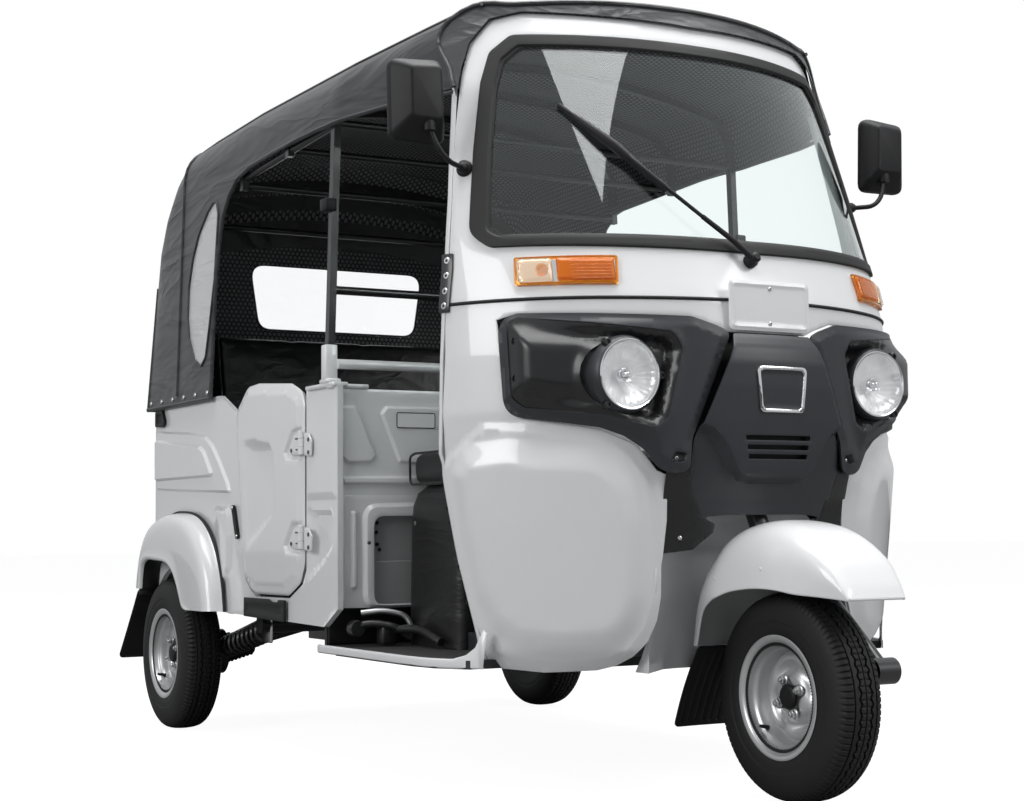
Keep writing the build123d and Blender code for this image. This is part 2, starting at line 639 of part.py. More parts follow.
with BuildPart() as hood:
    hood_loft(0)
    with BuildPart(mode=Mode.PRIVATE) as front_trim:
        cab_loft(hood_front_stations, -14, rear_s=2600)
    add(front_trim.part, mode=Mode.INTERSECT)
    with BuildPart(mode=Mode.PRIVATE) as inside:
        hood_loft(hood_wall)
        with BuildPart(mode=Mode.PRIVATE) as inside_trim:
            cab_loft(hood_front_stations, -14 + hood_wall, rear_s=2600)
        add(inside_trim.part, mode=Mode.INTERSECT)
    add(inside.part, mode=Mode.SUBTRACT)
    front_prism(header_edge, 712, Mode.SUBTRACT, grow=0.6)
    side_prism(side_opening, -700, 700, Mode.SUBTRACT)
    side_prism(side_window, -700, 700, Mode.SUBTRACT)
    front_prism(rear_window, 300, Mode.SUBTRACT, start=2150)
finish(hood, "hood")

window_gap = 0.4
with BuildPart() as hood_windows:
    hood_loft(2)
    hood_loft(4, Mode.SUBTRACT)
    with BuildPart(mode=Mode.PRIVATE) as openings:
        side_prism(side_window, -700, 700)
        front_prism(rear_window, 300, Mode.ADD, start=2150)
        offset(openings.part, amount=-window_gap, mode=Mode.REPLACE, kind=Kind.INTERSECTION)
    add(openings.part, mode=Mode.INTERSECT)
finish(hood_windows, "hood_windows")

post_s, post_foot_z = 957.0, body_top_z
bow_width, bow_depth, tie_radius = 20.0, 17.0, 9.0
# each bow: behind the axle, where its legs end, height of its straight tie bar
bow_places = ((post_s, post_foot_z, 1500), (1235, 1470, 1487), (1540, 1436, 1450), (2120, 1380, 1441))
with BuildPart() as hood_frame:
    for bow_s, leg_z, tie_z in bow_places:
        with BuildPart(mode=Mode.PRIVATE) as bow:
            hood_loft(hood_wall + 0.6)
            hood_loft(hood_wall + 0.6 + bow_depth, Mode.SUBTRACT)
            block(-700, 700, bow_s - bow_width / 2, bow_s + bow_width / 2, leg_z, 1800, Mode.INTERSECT)
            bar((-568, bow_s, tie_z), (568, bow_s, tie_z), tie_radius)
        add(bow.part)
    for side in (-1, 1):
        bar((side * 570, post_s, 1500), (side * 570, 1540, 1470), tie_radius)
    bar((-583, post_s, 1104), (583, post_s, 1104), 10)
finish(hood_frame, "hood_frame")

# ---------------------------------------------------------------- chassis and drive
rail_x, rail_width, rail_low_z = 230.0, 44.0, 310.0
rail_top_z = passenger_floor_z - floor_thickness
swing_s, swing_z = 1620.0, 300.0
with BuildPart() as chassis_frame:
    for side in (-1, 1):
        x0, x1 = sorted((side * rail_x, side * (rail_x + rail_width)))
        block(x0, x1, 1012, 2150, rail_low_z, rail_top_z)
        x0, x1 = sorted((side * (rail_x + rail_width), side * inner_half))
        block(x0, x1, 1240, 1280, rail_low_z + 20, rail_top_z)
        block(x0, x1, 1600, 1640, rail_low_z + 20, rail_top_z)
        x0, x1 = sorted((side * rail_x, side * (rail_x + rail_width)))
        block(x0, x1, swing_s - 30, swing_s + 30, swing_z - 40, rail_low_z)
    for s0 in (1240, 1600, 2110):
        block(-rail_x, rail_x, s0, s0 + 40, rail_low_z + 10, rail_top_z)
finish(chassis_frame, "chassis_frame")

hub_inner, hub_outer = 524.0, 606.0
axle_radius = 17.0
with BuildPart() as trailing_arms:
    for side in (-1, 1):
        bar((side * (rail_x + rail_width + 0.5), swing_s, swing_z), (side * 500, swing_s, swing_z), 24)
        bar((side * 470, swing_s, swing_z), (side * 492, drawn_wheelbase - 10, axle_z), 24)
        bar((side * 462, drawn_wheelbase, axle_z), (side * (hub_inner - moving_gap), drawn_wheelbase, axle_z), 62)
        bar((side * (hub_inner - 10), drawn_wheelbase, axle_z), (side * (hub_outer - 20), drawn_wheelbase, axle_z),
            axle_radius)
finish(trailing_arms, "trailing_arms")

with BuildPart() as engine:
    block(-150, 150, 1790, 2109.5, 227, 517)
    block(-190, 190, 2060, 2109.5, rail_low_z + 10, rail_top_z)
    for side in (-1, 1):
        bar((side * 120, drawn_wheelbase, 290), (side * 455, drawn_wheelbase, axle_z + 2), 14)
finish(engine, "engine")

# ---------------------------------------------------------------- wheels
tyre_profile = ((bead_seat_radius + fit_gap, 41.2), (flange_radius, 43.6), (150, 54), (172, tyre_half_width), (192, 49),
                (203, tread_half_width), (tyre_radius, 14))
rim_profile = ((flange_radius, 44), (flange_radius, rim_half_width), (flange_radius - 6, rim_half_width),
               (bead_seat_radius - rim_wall, 41), (bead_seat_radius - rim_wall - 8, 22),
               (bead_seat_radius - rim_wall - 8, -22), (bead_seat_radius - rim_wall, -41),
               (flange_radius - 6, -rim_half_width), (flange_radius, -rim_half_width), (flange_radius, -44),
               (bead_seat_radius, -41.5), (bead_seat_radius, -30), (bead_seat_radius - 8, -22),
               (bead_seat_radius - 8, 22), (bead_seat_radius, 30), (bead_seat_radius, 41.5))


def wheel(centre_x, centre_s, outward, tyre_name, rim_name, hub_from, hub_to, bore):
    """Tyre and rim on a cross axle; outward is the side the wheel nuts face."""
    middle_x = across(centre_x)
    origin = Plane(origin=(middle_x, at(centre_s), axle_z), x_dir=(0, 0, 1), z_dir=(0, outward, 0))
    with BuildPart() as tyre:
        with BuildSketch(origin):
            with BuildLine():
                half = [(r, w) for r, w in tyre_profile]
                Polyline(*half, *[(r, -w) for r, w in reversed(half)], close=True)
            make_face()
        revolve(axis=Axis((middle_x, at(centre_s), axle_z), (1, 0, 0)))
    finish(tyre, tyre_name)
    with BuildPart() as rim:
        with BuildSketch(origin):
            with BuildLine():
                Polyline(*rim_profile, close=True)
            make_face()
        revolve(axis=Axis((middle_x, at(centre_s), axle_z), (1, 0, 0)))
        disc = centre_x + outward * 14
        bar((disc - outward * 5, centre_s, axle_z), (disc, centre_s, axle_z), bead_seat_radius - rim_wall - 6)
        bar((hub_from, centre_s, axle_z), (hub_to, centre_s, axle_z), hub_radius)
        bar((hub_from - outward, centre_s, axle_z), (bore[1], centre_s, axle_z), bore[0], Mode.SUBTRACT)
    finish(rim, rim_name)


for side, name in ((-1, "right"), (1, "left")):
    wheel(side * rear_track_half, drawn_wheelbase, side, f"tyre_rear_{name}", f"rim_rear_{name}",
          side * hub_inner, side * hub_outer, (axle_radius + fit_gap, side * (hub_outer - 19)))

# ---------------------------------------------------------------- steering
arm_x = 84.0
front_hub_inner, front_hub_outer = 60.0, -26.0
wheel(0, 0, -1, "tyre_front", "rim_front", front_hub_inner, front_hub_outer,
      (axle_radius + fit_gap, front_hub_outer + 19))

crown_z, leg_top_z, pivot = 480.0, 452.0, (arm_x, -150.0, 263.0)
handlebar_z = 1046.0
damper_x, damper_radius, damper_pin_radius = arm_x + 38, 12.0, 9.0
head_low_z, head_high_z = 655.4, 950.0
with BuildPart() as steering_fork:
    bent_tube([(0, axis_s(handlebar_z), handlebar_z), (0, axis_s(crown_z), crown_z),
               (arm_x, axis_s(leg_top_z), leg_top_z), pivot], stem_radius, 26)
    bar((arm_x - 22, pivot[1], pivot[2]), (arm_x + 32, pivot[1], pivot[2]), 26)
    bar(pivot, (arm_x, 0, axle_z), 20)
    bar((front_hub_inner + moving_gap, 0, axle_z), (arm_x + 24, 0, axle_z), 40)
    bar((front_hub_outer + 20, 0, axle_z), (front_hub_inner + 10, 0, axle_z), axle_radius)
    bar((damper_x, -40, 236), (damper_x, 6, 400), damper_radius)
    bar((arm_x, -40, 236), (damper_x, -40, 236), damper_pin_radius)
    bar((arm_x, 6, 396), (damper_x, 6, 396), damper_pin_radius)
finish(steering_fork, "steering_fork")

with BuildPart() as handlebar:
    bent_tube([(-300, axis_s(handlebar_z) + 60, handlebar_z + 22), (-120, axis_s(handlebar_z) + 4, handlebar_z + 22),
               (120, axis_s(handlebar_z) + 4, handlebar_z + 22), (300, axis_s(handlebar_z) + 60, handlebar_z + 22)],
              12, 60)
    bar((0, axis_s(handlebar_z), handlebar_z), (0, axis_s(handlebar_z + 34), handlebar_z + 34), 26)
finish(handlebar, "handlebar")

head_low = (0, axis_s(head_low_z), head_low_z)
head_high = (0, axis_s(head_high_z), head_high_z)
with BuildPart() as head_tube:
    bar(head_low, head_high, head_tube_radius)
    side_prism(((197, recess_top_z), (258, recess_top_z), (axis_s(820) + 20, 820), (axis_s(700) + 20, 700)), -6, 6)
    bar(head_low, head_high, stem_radius + fit_gap, Mode.SUBTRACT)
finish(head_tube, "head_tube")

fender_profile = ((-285, 409), (-255, 452), (-200, 500), (-120, 538), (-40, 554), (30, 556), (100, 541), (150, 508),
                  (188, 450), (206, 380), (210, 300))
fender_skirt = ((190, 300), (171, 374), (140, 400), (90, 414), (0, 426), (-66, 426), (-139, 419), (-285, 409))
with BuildPart() as front_fender:
    side_prism(fender_profile + fender_skirt[:-1], -fender_half_width, fender_half_width)
    fillet(front_fender.faces().filter_by(Axis.X).edges().filter_by(lambda e: e.center().Z > 430), 30)
    with BuildPart(mode=Mode.PRIVATE) as fender_hollow:
        side_prism([(s, z) for s, z in fender_profile] + [(210, 200), (-285, 200)], -fender_half_width,
                   fender_half_width)
        offset(fender_hollow.part, amount=-fender_wall, mode=Mode.REPLACE, kind=Kind.INTERSECTION)
        fillet(fender_hollow.faces().filter_by(Axis.X).edges().filter_by(lambda e: e.center().Z > 425), 26)
    add(fender_hollow.part, mode=Mode.SUBTRACT)
    bar((0, axis_s(600), 600), (0, axis_s(440), 440), stem_radius + fit_gap, Mode.SUBTRACT)
finish(front_fender, "front_fender")

with BuildPart() as front_mudflap:
    side_prism(((206, 300), (212, 300), (300, 130), (294, 127)), -96, 96)
finish(front_mudflap, "front_mudflap")
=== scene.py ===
"""Auto rickshaw: the finished look of each piece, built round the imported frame.

Lengths in the classes are millimetres. A place is given as (x, s, z): x towards the vehicle's left, s behind the
front axle line and z above the ground. The front faces -Y.
"""

import sys

import json
import logging
from dataclasses import dataclass
from enum import Enum
from math import acos, asin, atan2, cos, hypot, pi, radians, sin, sqrt
from typing import Callable, Iterable, Optional, Sequence

import bmesh
import bpy
import numpy as np
from mathutils import Matrix, Vector
from mathutils.geometry import delaunay_2d_cdt

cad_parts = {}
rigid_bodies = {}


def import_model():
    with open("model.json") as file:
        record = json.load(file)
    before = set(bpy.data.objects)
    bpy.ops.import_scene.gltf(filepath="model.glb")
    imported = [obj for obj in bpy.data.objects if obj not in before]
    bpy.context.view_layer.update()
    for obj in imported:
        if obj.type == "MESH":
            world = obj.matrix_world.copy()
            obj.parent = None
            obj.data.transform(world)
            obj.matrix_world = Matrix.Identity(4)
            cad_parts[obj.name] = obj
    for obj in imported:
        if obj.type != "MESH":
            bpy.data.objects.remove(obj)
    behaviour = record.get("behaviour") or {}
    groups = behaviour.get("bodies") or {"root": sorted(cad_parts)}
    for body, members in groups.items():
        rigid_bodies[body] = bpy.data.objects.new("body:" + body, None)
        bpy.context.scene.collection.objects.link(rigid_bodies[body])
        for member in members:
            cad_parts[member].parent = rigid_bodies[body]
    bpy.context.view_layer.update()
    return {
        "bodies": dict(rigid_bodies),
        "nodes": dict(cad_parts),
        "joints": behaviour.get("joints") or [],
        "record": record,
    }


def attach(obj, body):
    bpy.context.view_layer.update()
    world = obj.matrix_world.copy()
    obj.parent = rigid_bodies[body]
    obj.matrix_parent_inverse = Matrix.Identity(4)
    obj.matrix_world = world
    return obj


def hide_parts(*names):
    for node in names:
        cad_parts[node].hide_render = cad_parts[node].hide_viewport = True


log = logging.getLogger("rickshaw")

MM = 0.001
FRONT_AXLE_Y = -1045.0
AXLE_Z = 208.0
WHEELBASE = 2000.0

SIDES = ((-1, "right"), (1, "left"))

Point2 = tuple[float, float]
Point3 = tuple[float, float, float]
Mapping = Callable[[float, float, float], Point3]


def metres(x: float, s: float, z: float) -> Vector:
    """Turns a place in millimetres into Blender's metres."""
    return Vector((x * MM, (s + FRONT_AXLE_Y) * MM, z * MM))


def mirrored(points: Iterable[Point2]) -> list[Point2]:
    """Outline turned over about the middle plane, in the opposite order."""
    return [(-a, b) for a, b in reversed(list(points))]


# ------------------------------------------------------------------ outlines


def rounded(points: Sequence[Point2], radius: float, pieces: int = 5) -> list[Point2]:
    """Rounds the corners of a closed outline.

    Args:
        points: corners in order.
        radius: radius of each corner, less where the runs are short.
        pieces: chords in each corner.

    Returns:
        The outline with an arc in place of each corner.
    """
    out: list[Point2] = []
    count = len(points)
    for i in range(count):
        a, b, c = (np.array(points[(i + k) % count], float) for k in (-1, 0, 1))
        to_a, to_c = a - b, c - b
        len_a, len_c = np.linalg.norm(to_a), np.linalg.norm(to_c)
        if len_a < 1e-6 or len_c < 1e-6:
            continue
        to_a, to_c = to_a / len_a, to_c / len_c
        angle = acos(float(np.clip(to_a @ to_c, -1, 1)))
        if angle > pi - 0.05:
            out.append(tuple(b))
            continue
        cut = min(radius / np.tan(angle / 2), 0.48 * len_a, 0.48 * len_c)
        start, end = b + to_a * cut, b + to_c * cut
        for k in range(pieces + 1):
            f = k / pieces
            out.append(tuple((1 - f) ** 2 * start + 2 * f * (1 - f) * b + f * f * end))
    return out


def resampled(points: Sequence[Point2], step: float, closed: bool = True) -> np.ndarray:
    """Divides the runs of an outline so that none is longer than step."""
    out = []
    pts = [np.array(p, float) for p in points]
    last = len(pts) if closed else len(pts) - 1
    for i in range(last):
        a, b = pts[i], pts[(i + 1) % len(pts)]
        parts = max(1, int(np.ceil(np.linalg.norm(b - a) / step)))
        out += [a + (b - a) * k / parts for k in range(parts)]
    if not closed:
        out.append(pts[-1])
    return np.array(out)


def edge_distance(points: np.ndarray, outline: np.ndarray) -> np.ndarray:
    """Distance of each point from the nearest run of a closed outline."""
    a = outline
    b = np.roll(outline, -1, axis=0)
    run = b - a
    length = np.maximum((run ** 2).sum(1), 1e-12)
    best = np.full(len(points), 1e18)
    for i in range(len(a)):
        f = np.clip(((points - a[i]) @ run[i]) / length[i], 0, 1)
        gap = points - (a[i] + f[:, None] * run[i])
        best = np.minimum(best, (gap ** 2).sum(1))
    return np.sqrt(best)


def inside(points: np.ndarray, outline: np.ndarray) -> np.ndarray:
    """True where a point lies inside a closed outline."""
    a = outline
    b = np.roll(outline, -1, axis=0)
    hit = np.zeros(len(points), bool)
    for (ax, ay), (bx, by) in zip(a, b):
        if ay == by:
            continue
        crosses = ((ay > points[:, 1]) != (by > points[:, 1])) & (
            points[:, 0] < (bx - ax) * (points[:, 1] - ay) / (by - ay) + ax)
        hit ^= crosses
    return hit


@dataclass
class Pressing:
    """A part of a sheet pushed out of it, or into it, with a soft edge.

    Attributes:
        outline: closed outline in the sheet's own two directions.
        depth: how far it stands out, less than nothing where it is sunk.
        width: how wide its sloping edge is, measured inwards.
        fade: first direction's values where it begins and where it is full.
    """

    outline: Sequence[Point2]
    depth: float
    width: float
    fade: Optional[Point2] = None

    def lines(self, step: float) -> list[np.ndarray]:
        """Foot and top of the slope, as points for the sheet's mesh."""
        foot = resampled(self.outline, step)
        along = np.roll(foot, -1, 0) - np.roll(foot, 1, 0)
        across = np.stack([-along[:, 1], along[:, 0]], 1)
        across /= np.maximum(np.linalg.norm(across, axis=1), 1e-9)[:, None]
        turned_in = inside(foot + across, np.array(self.outline, float)).mean() > 0.5
        top = foot + across * (self.width if turned_in else -self.width)
        shape = np.array(self.outline, float)
        kept = inside(top, shape) & (edge_distance(top, shape) > self.width * 0.9)
        return [foot, top[kept]] if kept.sum() > 3 else [foot]

    def height(self, points: np.ndarray) -> np.ndarray:
        """How far the pressing lifts each point of the sheet."""
        shape = np.array(self.outline, float)
        low, high = shape.min(0), shape.max(0)
        near = np.all((points >= low) & (points <= high), axis=1)
        lift = np.zeros(len(points))
        if near.any():
            part = points[near]
            f = np.clip(edge_distance(part, shape) / self.width, 0, 1) * inside(part, shape)
            lift[near] = self.depth * f * f * (3 - 2 * f)
            if self.fade:
                lift[near] *= np.clip((part[:, 0] - self.fade[0]) / (self.fade[1] - self.fade[0]), 0, 1)
        return lift


# ------------------------------------------------------------------ meshes


def smooth_line(points: Sequence[Point2], pieces: int = 6) -> list[Point2]:
    """Smooth line through places."""
    pts = [np.array(p, float) for p in points]
    pts = [2 * pts[0] - pts[1], *pts, 2 * pts[-1] - pts[-2]]
    out = []
    for a, b, c, d in zip(pts, pts[1:], pts[2:], pts[3:]):
        for k in range(pieces):
            f = k / pieces
            out.append(tuple(0.5 * (2 * b + (c - a) * f + (2 * a - 5 * b + 4 * c - d) * f ** 2
                                    + (3 * b - a - 3 * c + d) * f ** 3)))
    out.append(tuple(pts[-2]))
    return out


def link(name: str, mesh: bpy.types.Mesh) -> bpy.types.Object:
    """Puts a mesh into the scene as an object at the origin."""
    obj = bpy.data.objects.new(name, mesh)
    bpy.context.scene.collection.objects.link(obj)
    return obj


def settle(obj: bpy.types.Object, sharp: float = 40.0) -> bpy.types.Object:
    """Makes an object's modifiers final and shades it smooth but for its sharp edges.

    Args:
        obj: the object.
        sharp: faces that meet at more than this many degrees keep a sharp edge.

    Returns:
        The same object, with one plain mesh.
    """
    bpy.context.view_layer.update()
    graph = bpy.context.evaluated_depsgraph_get()
    final = bpy.data.meshes.new_from_object(obj.evaluated_get(graph))
    final.name = obj.name
    if obj.type == "MESH":
        old = obj.data
        obj.modifiers.clear()
        obj.data = final
        bpy.data.meshes.remove(old)
    else:
        name = obj.name
        slots = [m for m in obj.data.materials]
        old_curve = obj.data
        bpy.data.objects.remove(obj)
        bpy.data.curves.remove(old_curve)
        obj = link(name, final)
        if not final.materials:
            for m in slots:
                final.materials.append(m)
    mesh = obj.data
    mesh.polygons.foreach_set("use_smooth", [True] * len(mesh.polygons))
    shape = bmesh.new()
    shape.from_mesh(mesh)
    limit = radians(sharp)
    for edge in shape.edges:
        edge.smooth = not (len(edge.link_faces) == 2 and edge.calc_face_angle(0) > limit)
    shape.to_mesh(mesh)
    shape.free()
    return obj


def mesh_of(name: str, verts: Sequence[Sequence[float]], faces: Sequence[Sequence[int]]) -> bpy.types.Object:
    """Object from vertices in metres and faces."""
    mesh = bpy.data.meshes.new(name)
    mesh.from_pydata([tuple(v) for v in verts], [], [tuple(f) for f in faces])
    mesh.update()
    return link(name, mesh)


def thicken(obj: bpy.types.Object, thickness: float, edge: float, even: bool = True) -> None:
    """Gives a surface its thickness inwards and a small round along its edges."""
    solid = obj.modifiers.new("thickness", "SOLIDIFY")
    solid.thickness = thickness * MM
    solid.offset = -1
    solid.use_even_offset = even
    if edge > 0:
        bevel = obj.modifiers.new("edge", "BEVEL")
        bevel.width = edge * MM
        bevel.segments = 2
        bevel.limit_method = "ANGLE"
        bevel.angle_limit = radians(42)


def within(points: np.ndarray, loops: Sequence[np.ndarray], apart: float = 0.0) -> np.ndarray:
    """Which points lie inside the first loop, outside the others and further than apart from each line."""
    keep = inside(points, loops[0])
    for hole in loops[1:]:
        keep &= ~inside(points, hole)
    if apart > 0:
        for loop in loops:
            keep &= edge_distance(points, loop) > apart
    return keep


def scattered(loops: Sequence[np.ndarray], creases: Sequence[np.ndarray], step: float) -> list[np.ndarray]:
    """Points of a panel that belong to none of its edges.

    Args:
        loops: the outline, then the holes.
        creases: points along the lines where a pressing bends.
        step: size of the mesh.

    Returns:
        An even grid of points clear of every line, and the creases' own points.
    """
    low, high = loops[0].min(0), loops[0].max(0)
    across = np.arange(low[0] + step * 0.5, high[0], step)
    along = np.arange(low[1] + step * 0.5, high[1], step)
    grid = np.stack(np.meshgrid(across, along), -1).reshape(-1, 2)
    crease = np.concatenate(creases) if creases else np.zeros((0, 2))
    grid, crease = grid[within(grid, loops, step * 0.45)], crease[within(crease, loops, step * 0.3)]
    for line in creases:
        grid = grid[edge_distance(grid, line) > step * 0.4]
    return [grid, crease]


def triangles(loops: Sequence[np.ndarray], loose: Sequence[np.ndarray]) -> tuple[np.ndarray, np.ndarray]:
    """Triangles over a panel.

    Args:
        loops: the outline, then the holes.
        loose: points between them.

    Returns:
        The points and the triangles, which leave the holes open.
    """
    edges, first = [], 0
    for loop in loops:
        count = len(loop)
        edges += [(first + i, first + (i + 1) % count) for i in range(count)]
        first += count
    points = [Vector(p) for p in np.concatenate([*loops, *loose])]
    flat, _, faces, _, _, _ = delaunay_2d_cdt(points, edges, [], 1, 1e-4)
    flat, faces = np.array([tuple(p) for p in flat]), np.array(faces, int)
    return flat, faces[within(flat[faces].mean(1), loops)]


def faces_inwards(to_place: Mapping, u: float, v: float) -> bool:
    """Whether a surface's two directions turn the wrong way about its height at a point."""
    origin, across, along, up = (metres(*to_place(*p)) for p in ((u, v, 0), (u + 1, v, 0), (u, v + 1, 0), (u, v, 1)))
    return (across - origin).cross(along - origin).dot(up - origin) < 0


def sheet(name: str, outline: Sequence[Point2], to_place: Mapping, step: float, thickness: float,
          edge: float = 1.2, holes: Sequence[Sequence[Point2]] = (), pressings: Sequence[Pressing] = (),
          with_uv: bool = False) -> bpy.types.Object:
    """Panel with a clean outline on any surface, with holes cut and pressings raised.

    Args:
        name: the piece's name.
        outline: closed outline in the surface's two directions.
        to_place: gives (x, s, z) for a point of the surface and a height above it.
        step: size of the mesh.
        thickness: of the panel, inwards. Nothing leaves it a single surface.
        edge: rounding of the edges.
        holes: closed outlines that are cut away.
        pressings: raised and sunk parts.
        with_uv: keeps the two directions, in metres, as a UV map.

    Returns:
        The finished object.
    """
    loops = [resampled(o, step) for o in (outline, *holes)]
    creases = [line for pressing in pressings for line in pressing.lines(step)]
    flat, faces = triangles(loops, scattered(loops, creases, step))
    height = np.zeros(len(flat))
    for pressing in pressings:
        height += pressing.height(flat)
    verts = [metres(*to_place(u, v, h)) for (u, v), h in zip(flat, height)]
    if faces_inwards(to_place, *flat.mean(0)):
        faces = faces[:, ::-1]
    obj = mesh_of(name, verts, faces.tolist())
    if with_uv:
        layer = obj.data.uv_layers.new(name="flat")
        for loop in obj.data.loops:
            layer.data[loop.index].uv = tuple(flat[loop.vertex_index] * MM)
    if thickness > 0:
        thicken(obj, thickness, edge, even=not pressings)
    return settle(obj)


def tube(name: str, points: Sequence[Point3], radius: float, closed: bool = False, sides: int = 4,
         scale: Optional[Sequence[float]] = None) -> bpy.types.Object:
    """Round bar, hose or bead along a line of places.

    Args:
        name: the piece's name.
        points: places along it in millimetres.
        radius: of the section.
        closed: joins the last place to the first.
        sides: a quarter of the number of sides of the section.
        scale: how much of the radius each place has.

    Returns:
        The finished object.
    """
    curve = bpy.data.curves.new(name, "CURVE")
    curve.dimensions = "3D"
    curve.bevel_depth = radius * MM
    curve.bevel_resolution = sides - 1
    curve.use_fill_caps = True
    spline = curve.splines.new("POLY")
    spline.points.add(len(points) - 1)
    for i, p in enumerate(points):
        spline.points[i].co = (*metres(*p), 1)
        spline.points[i].radius = scale[i] if scale else 1.0
    spline.use_cyclic_u = closed
    obj = bpy.data.objects.new(name, curve)
    bpy.context.scene.collection.objects.link(obj)
    return settle(obj, 50)


def bent(points: Sequence[Point3], radius: float, pieces: int = 6) -> list[Point3]:
    """Rounds the corners of an open line of places."""
    out: list[Point3] = [tuple(points[0])]
    for a, b, c in zip(points, points[1:], points[2:]):
        a, b, c = Vector(a), Vector(b), Vector(c)
        cut = min(radius, (a - b).length * 0.48, (c - b).length * 0.48)
        start, end = b + (a - b).normalized() * cut, b + (c - b).normalized() * cut
        for k in range(pieces + 1):
            f = k / pieces
            out.append(tuple((1 - f) ** 2 * start + 2 * f * (1 - f) * b + f * f * end))
    out.append(tuple(points[-1]))
    return out


def turned(name: str, profile: Sequence[Point2], centre: Point3, axis: Point3, sides: int = 64,
           sharp: float = 35.0, scallop: Optional[Callable[[float, int], float]] = None) -> bpy.types.Object:
    """Piece turned about an axis.

    Args:
        name: the piece's name.
        profile: open line of (radius, distance along the axis).
        centre: place that the distances are measured from.
        axis: direction of the axis, as (x, s, z).
        sides: number of sides.
        sharp: angle in degrees above which an edge stays sharp.
        scallop: factor on the radius, from the angle and the place in the profile.

    Returns:
        The finished object.
    """
    direction = Vector(axis).normalized()
    side = direction.orthogonal().normalized()
    other = direction.cross(side)
    middle = Vector(centre)
    verts, faces = [], []
    count = len(profile)
    for k in range(sides):
        angle = 2 * pi * k / sides
        for i, (radius, along) in enumerate(profile):
            r = radius * (scallop(angle, i) if scallop else 1.0)
            verts.append(metres(*(middle + direction * along + (side * cos(angle) + other * sin(angle)) * r)))
    for k in range(sides):
        n = (k + 1) % sides
        for i in range(count - 1):
            faces.append((k * count + i, n * count + i, n * count + i + 1, k * count + i + 1))
    obj = mesh_of(name, verts, faces)
    shape = bmesh.new()
    shape.from_mesh(obj.data)
    bmesh.ops.remove_doubles(shape, verts=shape.verts, dist=1e-6)
    bmesh.ops.recalc_face_normals(shape, faces=shape.faces)
    shape.to_mesh(obj.data)
    shape.free()
    return settle(obj, sharp)


def block(name: str, low: Point3, high: Point3, edge: float = 2.0, segments: int = 2) -> bpy.types.Object:
    """Box between two corners, with rounded edges."""
    a, b = metres(*low), metres(*high)
    shape = bmesh.new()
    bmesh.ops.create_cube(shape, size=1)
    middle = (a + b) / 2
    grow = Matrix.Diagonal([b.x - a.x, b.y - a.y, b.z - a.z, 1])
    bmesh.ops.transform(shape, matrix=Matrix.Translation(middle) @ grow, verts=shape.verts)
    mesh = bpy.data.meshes.new(name)
    shape.to_mesh(mesh)
    shape.free()
    obj = link(name, mesh)
    if edge > 0:
        bevel = obj.modifiers.new("edge", "BEVEL")
        bevel.width = edge * MM
        bevel.segments = segments
    return settle(obj, 50)


def side_block(name: str, side: int, across: Point2, low: Point2, high: Point2, edge: float) -> bpy.types.Object:
    """Box on one side of the vehicle.

    Args:
        name: the piece's name.
        side: -1 for the right and 1 for the left.
        across: its two distances from the middle.
        low: its lowest (s, z).
        high: its highest (s, z).
        edge: rounding of the edges.

    Returns:
        The finished object.
    """
    left, right = sorted((side * across[0], side * across[1]))
    return block(name, (left, *low), (right, *high), edge)


def loft(name: str, rows: Sequence[Sequence[Point3]], thickness: float = 0.0, edge: float = 0.0,
         across_closed: bool = False, sub: int = 0, flip: bool = False, caps: bool = False) -> bpy.types.Object:
    """Surface through rows of places, each with the same number of places.

    Args:
        name: the piece's name.
        rows: the rows, in order.
        thickness: inwards, none leaves a single surface.
        edge: rounding of the edges.
        across_closed: joins the ends of each row.
        sub: levels of subdivision.
        flip: turns the surface over.
        caps: closes the first and last row with a face.

    Returns:
        The finished object.
    """
    width = len(rows[0])
    verts = [metres(*p) for row in rows for p in row]
    faces = []
    last = width if across_closed else width - 1
    for i in range(len(rows) - 1):
        for j in range(last):
            n = (j + 1) % width
            quad = (i * width + j, i * width + n, (i + 1) * width + n, (i + 1) * width + j)
            faces.append(quad[::-1] if flip else quad)
    if caps:
        first = tuple(range(width))
        end = tuple(range((len(rows) - 1) * width, len(rows) * width))
        faces += [first if flip else first[::-1], end[::-1] if flip else end]
    obj = mesh_of(name, verts, faces)
    if sub:
        smooth = obj.modifiers.new("smooth", "SUBSURF")
        smooth.levels = smooth.render_levels = sub
        smooth.boundary_smooth = "PRESERVE_CORNERS"
    if thickness > 0:
        thicken(obj, thickness, edge)
    return settle(obj)


def joined(name: str, parts: Sequence[bpy.types.Object]) -> bpy.types.Object:
    """Joins objects into one that keeps each part's materials."""
    shape = bmesh.new()
    materials: list[bpy.types.Material] = []
    for part in parts:
        before = len(shape.faces)
        shape.from_mesh(part.data)
        shape.faces.ensure_lookup_table()
        slots = list(part.data.materials)
        for face in shape.faces[before:]:
            m = slots[face.material_index] if slots else None
            if m is not None and m not in materials:
                materials.append(m)
            face.material_index = materials.index(m) if m is not None else 0
    mesh = bpy.data.meshes.new(name)
    shape.to_mesh(mesh)
    shape.free()
    for m in materials:
        mesh.materials.append(m)
    for part in parts:
        old = part.data
        bpy.data.objects.remove(part)
        bpy.data.meshes.remove(old)
    return link(name, mesh)


# ------------------------------------------------------------------ effects shared by the finishes


class Effect(Enum):
    """The shader groups that more than one finish uses."""

    GRAIN = "fine_grain"
    MOTTLE = "mottle"
    WEAVE = "net_weave"
    CREASES = "soft_creases"


